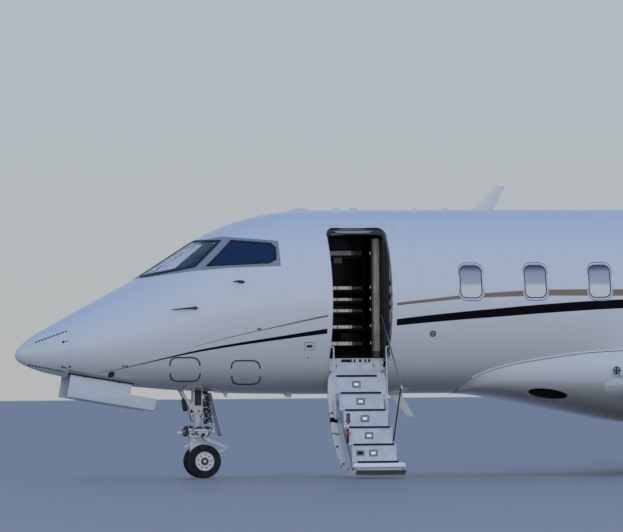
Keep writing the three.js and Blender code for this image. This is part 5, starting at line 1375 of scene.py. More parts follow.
def buildSteps():
    upper, outline = stepOutline()
    flight = bevelled(prism("flight", outline, stairs["front"] - 0.005, stairs["rear"] + 0.005, "x"), 0.004, 2)
    endY = upper[-1][0]
    side = [(y - 0.004, z - 0.006) for y, z in upper] + [(endY - 0.004, 0), (1.4, 0), (0.7, 0.7), (0.7, 1.2)]
    front = prism("cheekFront", side, stairs["front"] - stairs["cheek"], stairs["front"], "x")
    rear = prism("cheekRear", side, stairs["rear"], stairs["rear"] + stairs["cheek"], "x")
    whole = carve(carve(flight, [front, rear], "UNION"), [doorRoom()], "INTERSECT")
    addPiece(whole, "stepPaint", ["airstair_steps"], body="airstair")
    bars, grips, lamps, frames, plates, screws, backs = [], [], [], [], [], [], []
    for i in range(stairs["count"]):
        y = stairs["firstY"] + i * stairs["run"]
        z = stairs["firstZ"] - i * stairs["rise"]
        a, b = stairs["front"] - 0.018, stairs["rear"] - 0.002
        bar = prism("nosing", roundedOutline((a + b) / 2, z - 0.002, b - a, 0.026, 0.0125, 6), y - 0.016,
            y + 0.0095)
        bars.append(bar)
        if i:
            grips.append(box("grip", stairs["front"] + 0.02, stairs["rear"] - 0.02, y - 0.205, y - 0.022,
                z + 0.0002, z + 0.0022))
        grips.append(box("grip", stairs["front"] + 0.02, stairs["rear"] - 0.02, y - 0.012 - 0.05, y - 0.02, z,
            z + 0.003))
        if i < 5:
            mid = z - stairs["rise"] / 2 - 0.002
            s = stairs["lightStation"]
            lightFrame = prism("lightFrame", roundedOutline(s, mid, 0.104, 0.078, 0.008, 4), y - 0.001, y + 0.0045)
            carve(lightFrame, [prism("lightHole", roundedOutline(s, mid, 0.064, 0.038, 0.004, 3), y - 0.01,
                y + 0.02)])
            frames.append(bevelled(lightFrame, 0.0018, 1))
            backs.append(prism("lightBack", roundedOutline(s, mid, 0.114, 0.088, 0.01, 4), y - 0.001, y + 0.0012))
            lamps.append(box("light", s - 0.03, s + 0.03, y - 0.001, y + 0.0016, mid - 0.017, mid + 0.017, 0.001))
            edge = box("riserRim", a + 0.006, b - 0.006, y - 0.001, y + 0.002, z - stairs["rise"] + 0.026,
                z - stairs["rise"] + 0.03)
            plates.append(edge)
            count = 5 if i == 4 else 3
            for k in range(count):
                spot = a + 0.03 + (b - a - 0.06) * k / (count - 1)
                screws.append((place(spot, y + 0.0004, z - stairs["rise"] + 0.036), (0, 1, 0)))
    addPiece(joinAll("treadNosings", bars), "grip", sharp=50, body="airstair")
    addPiece(joinAll("treadGrips", grips), "grip", body="airstair")
    addPiece(joinAll("stepLightFrames", frames), "alloy", body="airstair")
    addPiece(joinAll("stepLightGaskets", backs), "seal", body="airstair")
    addPiece(joinAll("stepLights", lamps), "stepLampAndGlint", body="airstair")
    addPiece(joinAll("riserRims", plates), "paint", body="airstair")
    addPiece(heads("riserScrews", screws, 0.005, 0.0018, "screw"), "screw", body="airstair")
    y5 = stairs["firstY"] + 4 * stairs["run"]
    z5 = stairs["firstZ"] - 4 * stairs["rise"] - stairs["rise"] / 2
    case = prism("switchFrame", roundedOutline(4.345, z5, 0.118, 0.08, 0.01, 4), y5 - 0.001, y5 + 0.005)
    carve(case, [prism("switchHole", roundedOutline(4.345, z5, 0.086, 0.048, 0.005, 3), y5 - 0.01, y5 + 0.02)])
    addPiece(bevelled(case, 0.002, 1), "alloy", body="airstair")
    addPiece(box("switchPocket", 4.304, 4.386, y5 - 0.001, y5 + 0.0012, z5 - 0.022, z5 + 0.022), "seal",
        body="airstair")
    y3 = stairs["firstY"] + 2 * stairs["run"]
    z3 = stairs["firstZ"] - 2 * stairs["rise"] - stairs["rise"] / 2 - 0.002
    arrow = [(4.272, 0.07), (4.322, 0.07), (4.322, -0.03), (4.336, -0.03), (4.297, -0.082), (4.258, -0.03),
        (4.272, -0.03)]
    decal = prism("arrowDecal", [(s, z3 + h) for s, h in arrow], y3 - 0.001, y3 + 0.0009)
    addPiece(decal, "arrow", body="airstair")
    inner = [(4.284, 0.056), (4.31, 0.056), (4.31, -0.03), (4.318, -0.038), (4.297, -0.066), (4.276, -0.038),
        (4.284, -0.03)]
    core = prism("arrowCore", [(s, z3 + h) for s, h in inner], y3, y3 + 0.0013)
    addPiece(core, "arrowCore", body="airstair")
    y6 = stairs["firstY"] + 5 * stairs["run"]
    z6 = stairs["firstZ"] - 5 * stairs["rise"]
    lastTread = prism("lastTread", roundedOutline(y6 + 0.03, z6 - 0.046, 0.12, 0.06, 0.02, 6), 4.18, 4.88, "x")
    carve(lastTread, [doorRoom()], "INTERSECT")
    addPiece(lastTread, "whiteTread", body="airstair")
    catch = box("tagLatch", 4.212, 4.234, 1.6, 1.66, 0.46, 0.66, 0.006)
    addPiece(carve(catch, [doorRoom()], "INTERSECT"), "darkMetal", body="airstair")
    tag = box("orangeTag", 4.205, 4.26, 1.655, 1.668, 0.585, 0.61, 0.003)
    addPiece(carve(tag, [doorRoom()], "INTERSECT"), "orange", body="airstair")


def buildDoor():
    shell = doorway["shell"]
    outline = doorOutline(0.006, 14)
    panel = hullGrid("doorPanel", 3.9, 5.25, 0, -shell, 0.03, 192)
    edge = [cylinder("room", (e, stay["topY"], stay["topZ"]), (p, stay["topY"], stay["topZ"]),
        stay["radius"] + 0.006) for e, p in ((doorway["front"], 4.205), (doorway["rear"], 4.896))]
    for s in stay["stations"]:
        end = (s, stay["topY"] - 1.02 * (stay["lowY"] - stay["topY"]), stay["topZ"] - 1.02
            * (stay["lowZ"] - stay["topZ"]))
        edge.append(cylinder("room", (s, stay["topY"], stay["topZ"]), end, stay["radius"] + 0.006))
    carve(panel, [prism("doorOutline", outline, 0.3, 1.5)], "INTERSECT")
    carve(panel, [box("lowInside", 3.5, 5.4, 0, doorway["reveal"] + 0.01, 1.0, 2.0)] + edge
        + [hingeBar("lugRoom", (a - 0.006, b + 0.006), 0.022) for a, b in lugs])
    keepHullNormals(panel, (0, -shell))
    swungOpen(panel)
    addPiece(panel, "stripedDoor", ["airstair_door"], 0, body="airstair")
    bars = [hingeBar("knuckle", span, 0.0155) for span in knuckles]
    bars += [box("web", a, b, hinge.y - 0.012, hinge.y + 0.012, 1.4, 1.452) for a, b in knuckles]
    addPiece(swungOpen(joinAll("doorKnuckles", bars)), "alloy", body="airstair")
    top = doorway["head"] - 0.006
    ends = hullGrid("doorEndPad", 3.9, 5.25, -0.004, -shell + 0.004, 0.03, 192)
    carve(ends, [box("endRoom", 4.205, 4.878, 0, 2, top - 0.002, top + 0.0022)], "INTERSECT")
    corners = ringOnHull("doorCornerPads", [(grown(outline, 0.0016), -0.004),
        (grown(outline, 0.0016), -shell + 0.004), (grown(outline, -0.002), -shell + 0.004),
        (grown(outline, -0.002), -0.004)])
    carve(corners, [box("lowEnd", 3.5, 5.4, 0, 2, 1.0, top - 0.085), box("midEnd", 4.205, 4.878, 0, 2, 1.0, 4.0)])
    addPiece(swungOpen(joinAll("doorEndPad", [ends, corners])), "endRubber", body="airstair")
    lining = plateOnHull("doorLining", grown(outline, -0.062), -shell - 0.004, -shell - 0.0002, 1, 16)
    carve(lining, [box("lowEnd", 3.5, 5.4, 0, 2, 1.0, 1.8)])
    addPiece(swungOpen(lining), "doorLining", body="airstair")
    fittings, pads = [], []
    for side, edgeStation in ((-1, doorway["front"] + 0.008), (1, doorway["rear"] - 0.008)):
        for z in (1.86, 2.43, 2.88, 3.14):
            spot, _ = spotOnHull(edgeStation, z, 1, -0.03)
            latch = [(-0.004, 0), (-0.004, 0.0215), (0.004, 0.019), (0.004, 0)]
            fittings.append(turned("latch", latch, spot, (-side, 0, 0), 20))
            spot, out = spotOnHull(edgeStation - side * 0.024, z, 1, -shell - 0.005)
            pads.append(turned("pad", [(-0.002, 0), (-0.002, 0.016), (-0.012, 0.013), (-0.012, 0)], spot, out, 18))
    addPiece(swungOpen(joinAll("doorLatches", fittings)), "darkMetal", body="airstair")
    addPiece(swungOpen(joinAll("doorLatchPads", pads)), "darkMetal", body="airstair")


def buildStays():
    r = stay["radius"]
    for end, s, node, body, jamb in (
        ("Front", stay["stations"][0], "airstair_stay_front", "stay_front", doorway["front"] + 0.0004),
        ("Rear", stay["stations"][1], "airstair_stay_rear", "stay_rear", doorway["rear"] - 0.0004),
    ):
        top, low = Vector((stay["topY"], stay["topZ"])), Vector((stay["lowY"], stay["lowZ"]))
        down = (low - top).normalized()
        sections = [(0, r * 0.6), (0.012, r), (0.25, r * 0.95), (0.26, r * 0.8), (0.95, r * 0.8)]
        path = [place(s, *(top + down * a)) for a, _ in sections]
        bar = tube("stayBar", path, 0, 20, [b for _, b in sections])
        pin = cylinder("stayPin", (jamb, *top), (s, *top), r * 0.98, 20)
        eye = drum("stayEye", place(s, *low), (1, 0, 0), -0.0095, 0.0095, 0.0098)
        addPiece(joinAll("stay" + end, [bar, pin, eye]), "paint", [node], 50, body=body)


def buildRail():
    r = rail["radius"]
    foot, knee, top = rail["foot"], rail["knee"], rail["top"]
    between = (rail["post"] + rail["rail"]) / 2
    post = cylinder("postBar", (rail["post"], *foot), (rail["post"], *knee), r, 20)
    pin = cylinder("postPin", (stairs["rear"] + 0.0354, *foot), (rail["post"], *foot), r, 20)
    elbow = cylinder("postElbow", (rail["post"], *knee), (between - 0.0002, *knee), r, 20)
    addPiece(joinAll("handrailPost", [post, pin, elbow]), "railBlack", ["airstair_post"], 50, body="handrail_post")
    bar = cylinder("railBar", (rail["rail"], *knee), (rail["rail"], *top), r, 20)
    pin = cylinder("railPin", (between + 0.0002, *knee), (rail["rail"], *knee), r, 20)
    addPiece(joinAll("handrailRail", [bar, pin]), "railSteel", ["airstair_rail"], 50, body="handrail")
    joint = cylinder("railJoint", (rail["rail"], knee[0], knee[1]), (rail["rail"], knee[0] - 0.045,
        knee[1] + 0.038), r + 0.0035, 20)
    addPiece(joint, "paint", sharp=50, body="handrail")
    end = drum("railEnd", place(rail["rail"], *top), (1, 0, 0), -0.011, 0.011, 0.012)
    addPiece(end, "darkMetal", sharp=50, body="handrail")
    arm = tube("liftArm", curvePoints([place(4.935, 0.9, 1.8), place(4.938, 0.93, 1.72), place(4.936, 0.945, 1.66)],
        12), 0.007, 12)
    addPiece(arm, "railBlack", sharp=50)


print("door functions ready")

# Landing gear

noseGear = {"bore": 0.0226, "axle": 2.575, "steer": 2.475, "wheelY": 0.145, "radius": 0.2266, "bead": 0.1304,
    "width": 0.112}
mainGear = {"bore": 0.0346, "axle": 10.9, "strut": 10.74, "y": 1.48, "wheelY": 0.185, "radius": 0.3336,
    "bead": 0.1904, "width": 0.203}
tangle = {"seed": 11, "count": 26, "collar": 30}  # hoses of the nose leg

noseDoor = {"y": 0.33, "thick": 0.018, "front": 0.725, "frontZ": 1.419, "slope": radians(9.6), "length": 0.845,
    "drop": 0.318, "tail": 0.368, "tailDrop": 0.148, "knuckle": 0.009, "sillLow": 0.008, "sillHigh": 0.06,
    "sillTrim": 0.01, "lugs": [(0.9, 0.94), (1.36, 1.4)], "knuckles": [(0.9404, 0.98), (1.32, 1.3596)]}


def tyreProfile(gear, grooves):
    half, top, bead = gear["width"] / 2, gear["radius"], gear["bead"]
    side = [(0.72, bead), (0.8, bead + 0.05 * (top - bead)), (0.93, bead + 0.24 * (top - bead)),
        (1.0, bead + 0.5 * (top - bead)), (0.985, bead + 0.66 * (top - bead)), (0.93, bead + 0.8 * (top - bead)),
        (0.84, bead + 0.9 * (top - bead)), (0.7, bead + 0.965 * (top - bead))]
    crown = []
    depth = 0.0045 * gear["radius"] / 0.23
    for share in grooves:
        wide = 0.035
        for at, low in ((share + wide, 0), (share + wide * 0.7, 1), (share - wide * 0.7, 1), (share - wide, 0)):
            crown.append((at, top - 0.018 * (top - bead) * abs(at / 0.6) ** 2 - low * depth))
    left = [(-a * half, b) for a, b in side]
    right = [(a * half, b) for a, b in reversed(side)]
    middle = [(a * half, b) for a, b in sorted(crown)]
    smooth = []
    for block in (left, middle, right):
        smooth += block
    return smooth + [smooth[0]]


def buildTyre(name, gear, y, station, body, node):
    obj = turned(name, tyreProfile(gear, (-0.42, -0.14, 0.14, 0.42)), place(station, y, gear["radius"]), (0, 1, 0),
        96)
    addPiece(obj, "tyre", [node], 28, body=body)
    ribs = []
    for side in (-1, 1):
        r = gear["bead"] + 0.3 * (gear["radius"] - gear["bead"])
        off = gear["width"] / 2 * 0.965
        ribs.append(turned("rib", [(side * (off - 0.004), r), (side * (off + 0.0018), r + 0.002),
            (side * (off + 0.0018), r + 0.005), (side * (off - 0.004), r + 0.007), (side * (off - 0.004), r)],
            place(station, y, gear["radius"]), (0, 1, 0), 96))
    addPiece(joinAll(name + "Ribs", ribs), "tyre", body=body)


# one wheel; face is +1 where its outer side looks to port
def buildWheel(name, gear, y, station, face, body, holes, nodes=()):
    rim, half = gear["bead"] - 0.0004, gear["width"] / 2 * 0.72
    k = rim / 0.13
    f = face
    profile = [(-f * half, 0.05 * k), (-f * half, rim * 0.9), (-f * (half + 0.004 * k), rim * 0.985),
        (-f * half * 0.93, rim), (f * half * 0.93, rim), (f * (half + 0.004 * k), rim * 0.99),
        (f * (half + 0.005 * k), rim * 0.955), (f * (half - 0.002 * k), rim * 0.93),
        (f * (half - 0.013 * k), rim * 0.9), (f * (half - 0.016 * k), rim * 0.84),
        (f * (half - 0.006 * k), rim * 0.6), (f * (half - 0.001 * k), rim * 0.42), (f * half, rim * 0.34),
        (f * half, 0.05 * k)]
    centre = place(station, y, gear["radius"])
    wheel = turned(name, [(a * 0.999, b) for a, b in profile] + [(profile[0][0] * 0.999, profile[0][1])], centre,
        (0, 1, 0), 96)
    cutters = []
    for i in range(holes):
        angle = 2 * pi * (i + 0.35) / holes
        spot = centre + Vector((cos(angle), 0, sin(angle))) * rim * 0.665 + Vector((0, f * half * 0.5, 0))
        cutters.append(drum("ventHole", spot, (0, f, 0), -0.03 * k, 0.07 * k, 0.0095 * k, 20))
    carve(wheel, cutters)
    addPiece(wheel, "wheelPaint", nodes, 30, body=body)
    # painted shade: dark discs set inside the wheel's vent holes
    plugs = []
    for i in range(holes):
        angle = 2 * pi * (i + 0.35) / holes
        spot = centre + Vector((cos(angle), 0, sin(angle))) * rim * 0.665 + Vector((0, f * half * 0.88, 0))
        plugs.append(drum("ventHoleShade", spot, (0, f, 0), -0.004, 0.0005, 0.0095 * k, 20))
    addPiece(joinAll(name + "Vents", plugs), "seal", body=body)
    cap = turned(name + "Cap", [(0, 0), (0, 0.021 * k), (0.0135 * k, 0.019 * k), (0.017 * k, 0.012 * k),
        (0.017 * k, 0)], centre + Vector((0, f * half, 0)), (0, f, 0), 32)
    addPiece(cap, "wheelPaint", sharp=30, body=body)
    ring = turned(name + "Seal", [(0, 0.052 * k), (0.0035 * k, 0.052 * k), (0.0035 * k, 0.044 * k), (0, 0.044 * k),
        (0, 0.052 * k)], centre + Vector((0, f * (half + 0.001), 0)), (0, f, 0), 48)
    addPiece(ring, "seal", sharp=30, body=body)
    hub = turned(name + "Hub", [(-f * half * 0.9, 0), (-f * half * 0.9, 0.049 * k),
        (f * (half + 0.002 * k), 0.049 * k), (f * (half + 0.004 * k), 0.045 * k),
        (f * (half + 0.004 * k), 0.036 * k), (f * (half - 0.004 * k), 0.034 * k),
        (f * (half - 0.004 * k), 0.02 * k), (f * (half + 0.01 * k), 0.019 * k), (f * (half + 0.013 * k), 0.015 * k),
        (f * (half + 0.013 * k), 0)], centre, (0, 1, 0), 48)
    addPiece(hub, "hubMetal", sharp=30, body=body)
    bolts = []
    for i in range(holes):
        angle = 2 * pi * (i + 0.85) / holes
        spot = centre + Vector((cos(angle), 0, sin(angle))) * rim * 0.8 + Vector((0, f * (half - 0.0125 * k), 0))
        bolts.append((spot, (0, f, 0)))
    for i in range(8):
        angle = 2 * pi * i / 8
        spot = centre + Vector((cos(angle), 0, sin(angle))) * 0.0405 * k + Vector((0, f * (half + 0.005 * k), 0))
        bolts.append((spot, (0, f, 0)))
    addPiece(heads(name + "Bolts", bolts, 0.0045 * k, 0.004 * k, "screw", 6), "screw", body=body)


def buildNoseWheels():
    g = noseGear
    for side, end in lowFlanks:
        name = "nose" + end.capitalize()
        buildTyre(name + "Tyre", g, side * g["wheelY"], g["axle"], "nose_wheel_pair", "nose_tyre_" + end)
        buildWheel(name + "Wheel", g, side * g["wheelY"], g["axle"], side, "nose_wheel_pair", 9,
            ["nose_wheels"] if side > 0 else ())
    axle = cylinder("noseAxle", (g["axle"], -0.125, g["radius"]), (g["axle"], 0.125, g["radius"]), 0.0215, 32)
    addPiece(axle, "polished", sharp=50, body="nose_wheel_pair")


def axleSleeve(name, spot, bore, half, shoulder, low, high):
    profile = [(-half, bore), (-half, low), (-shoulder, high), (shoulder, high), (half, low), (half, bore),
        (-half, bore)]
    return turned(name, profile, spot, (0, 1, 0), 48)


def buildNoseFork():
    g = noseGear
    s, axle, z0 = g["steer"], g["axle"], g["radius"]
    axis = (0, 0, 1)
    collar = turned("collar", [(0, 0.04), (0, 0.086), (0.012, 0.094), (0.04, 0.094), (0.046, 0.08), (0.1, 0.08),
        (0.106, 0.095), (0.14, 0.095), (0.152, 0.086), (0.152, 0.04), (0, 0.04)], place(s, 0, 0.546), axis, 64)
    head = box("collarHead", s + 0.04, s + 0.19, -0.06, 0.06, 0.56, 0.66, 0.012)
    nose = box("collarNose", s - 0.112, s - 0.05, -0.055, 0.055, 0.57, 0.69, 0.012)
    arms = [cylinder("steerActuator", (s - 0.105, y, 0.652), (s + 0.15, y, 0.64), 0.024) for y in (-0.088, 0.088)]
    ends = [cylinder("steerRod", (s + 0.15, y, 0.64), (s + 0.235, y, 0.634), 0.011, 20) for y in (-0.088, 0.088)]
    eyes = [drum("eye", place(s + 0.235, y, 0.634), (0, 1, 0), -0.014, 0.014, 0.019) for y in (-0.088, 0.088)]
    plates = [prism("sidePlate", roundedCorners([(s - 0.085, 0.548), (s + 0.12, 0.548), (s + 0.175, 0.6),
        (s + 0.15, 0.64), (s - 0.06, 0.64), (s - 0.1, 0.6)], 0.02), a, a + 0.012) for a in (0.094, -0.106)]
    whole = joinAll("noseCollar", [collar, bevelled(head, 0.003), nose] + arms + ends + eyes + plates)
    addPiece(whole, "gearPaint", ["nose_gear_fork"], 35, body="nose_steering")
    piston = drum("nosePiston", place(s, 0, 0.33), axis, 0, 0.27, 0.0375, 48)
    addPiece(piston, "polished", sharp=50, body="nose_steering")
    fork = prism("noseFork", roundedCorners([(s - 0.066, 0.505), (s + 0.072, 0.505), (s + 0.08, 0.43),
        (axle + 0.06, z0 + 0.03), (axle + 0.04, z0 - 0.04), (axle - 0.03, z0 - 0.045), (s - 0.062, 0.33),
        (s - 0.074, 0.43)], 0.03), -0.045, 0.045)
    bevelled(fork, 0.01, 3)
    cap = turned("forkCap", [(0, 0), (0, 0.064), (0.014, 0.07), (0.04, 0.07), (0.054, 0.06), (0.054, 0)],
        place(s, 0, 0.48), axis, 48)
    sleeve = axleSleeve("axleSleeve", place(axle, 0, z0), g["bore"], 0.055, 0.045, 0.046, 0.052)
    hole = drum("axleHole", place(axle, 0, z0), (0, 1, 0), -0.1, 0.1, g["bore"], 32)
    carve(fork, [hole])
    addPiece(joinAll("noseForkBody", [fork, cap, sleeve]), "gearPaint", sharp=35, body="nose_steering")
    tow = [cylinder("towLug", (s - 0.135, y, 0.425), (s - 0.06, y, 0.452), 0.011, 16) for y in (-0.03, 0.03)]
    tow.append(cylinder("towPin", (s - 0.135, -0.05, 0.425), (s - 0.135, 0.05, 0.425), 0.014, 20))
    addPiece(joinAll("towFitting", tow), "gearPaint", sharp=50, body="nose_steering")
    links = []
    for y in (-0.034, 0.034):
        links.append(prism("upperLink", roundedCorners([(s + 0.11, 0.528), (s + 0.128, 0.56), (2.88, 0.44),
            (2.93, 0.422), (2.93, 0.4), (2.88, 0.408), (2.7, 0.468)], 0.008), y - 0.008, y + 0.008))
        links.append(prism("lowerLink", roundedCorners([(2.915, 0.412), (2.935, 0.398), (2.66, 0.262),
            (2.625, 0.262), (2.635, 0.292), (2.76, 0.345)], 0.008), y * 0.6 - 0.007, y * 0.6 + 0.007))
    links.append(box("linkRib", 2.7, 2.716, -0.034, 0.034, 0.462, 0.49, 0.003))
    links.append(box("linkRib", 2.79, 2.804, -0.034, 0.034, 0.434, 0.456, 0.003))
    links.append(cylinder("linkPin", (2.926, -0.052, 0.411), (2.926, 0.052, 0.411), 0.013))
    links.append(cylinder("linkRoot", (s + 0.118, -0.05, 0.544), (s + 0.118, 0.05, 0.544), 0.018))
    links.append(cylinder("linkFoot", (2.634, -0.034, 0.276), (2.634, 0.034, 0.276), 0.017))
    addPiece(joinAll("torqueLinks", links), "gearPaint", sharp=35, body="nose_steering")
    lampBody = turned("taxiLamp", [(0, 0), (0, 0.023), (0.006, 0.0245), (0.118, 0.0245), (0.126, 0.02),
        (0.14, 0.018), (0.14, 0)], place(2.246, 0.0, 0.612), (-1, 0, 0), 32)
    addPiece(lampBody, "gearPaint", sharp=40, body="nose_steering")
    lens = turned("taxiLens", [(-0.004, 0), (-0.003, 0.016), (0.001, 0.0225), (0.003, 0.0225), (0.003, 0)],
        place(2.246, 0.0, 0.612), (-1, 0, 0), 32)
    addPiece(lens, "lamp", sharp=40, body="nose_steering")
    darks = [box("valve", 2.395, 2.43, 0.05, 0.104, 0.665, 0.703, 0.005), box("valve", 2.545, 2.6, 0.052, 0.11,
        0.56, 0.606, 0.006), box("valve", 2.632, 2.668, -0.03, 0.068, 0.655, 0.69, 0.005),
        cylinder("nut", (2.42, 0.09, 0.596), (2.42, 0.122, 0.596), 0.017, 6),
        cylinder("nut", (2.5, 0.1, 0.585), (2.5, 0.118, 0.585), 0.013, 6),
        cylinder("nut", (2.575, 0.1, 0.585), (2.575, 0.118, 0.585), 0.013, 6),
        cylinder("nut", (2.64, 0.056, 0.6), (2.64, 0.074, 0.6), 0.02, 6),
        cylinder("nut", (2.345, -0.02, 0.575), (2.345, 0.05, 0.575), 0.015, 12)]
    addPiece(joinAll("collarFittings", darks), "darkMetal", sharp=35, body="nose_steering")
    nuts, nutY = [], 0.1067
    for station, z in ((2.4, 0.556), (2.44, 0.628), (2.485, 0.628), (2.53, 0.628), (2.59, 0.62), (2.625, 0.59),
            (2.54, 0.56), (2.46, 0.56)):
        nuts += [(place(station, side * nutY, z), (0, side, 0)) for side in (1, -1)]
    addPiece(heads("collarNuts", nuts, 0.0075, 0.007, "screw", 6), "screw", body="nose_steering")
    loops = []
    for start, mid, end in (((2.59, 0.075, 0.7), (2.69, 0.095, 0.668), (2.64, 0.08, 0.56)),
            ((2.4, 0.075, 0.69), (2.35, 0.085, 0.64), (2.4, 0.08, 0.56)), ((2.52, 0.085, 0.6), (2.56, 0.118, 0.54),
            (2.6, 0.085, 0.5))):
        loops.append(tube("loop", curvePoints([place(*start), place(*mid), place(*end)], 14), 0.0055, 10))
    rng, blocks = random.Random(tangle["seed"] + 1), []
    for _ in range(tangle["collar"]):
        turn, z = rng.uniform(-0.8, 3.6), rng.uniform(0.56, 0.7)
        points = []
        for _ in range(4):
            reach = rng.uniform(0.105, 0.175)
            points.append(place(noseGear["steer"] + reach * cos(turn), 0.03 + 0.5 * reach * sin(turn), z))
            turn += rng.uniform(0.15, 0.5)
            z = min(0.7, max(0.55, z + rng.uniform(-0.05, 0.05)))
        loops.append(tube("loop", curvePoints(points, 28), rng.uniform(0.0045, 0.007), 8))
        blocks.append(tube("union", [points[1], points[1] + Vector((0, 0, 0.024))], rng.uniform(0.009, 0.014), 6))
    addPiece(joinAll("collarUnions", blocks), "alloy", sharp=35, body="nose_steering")
    addPiece(joinAll("collarHoses", loops), "hose", sharp=60, body="nose_steering")


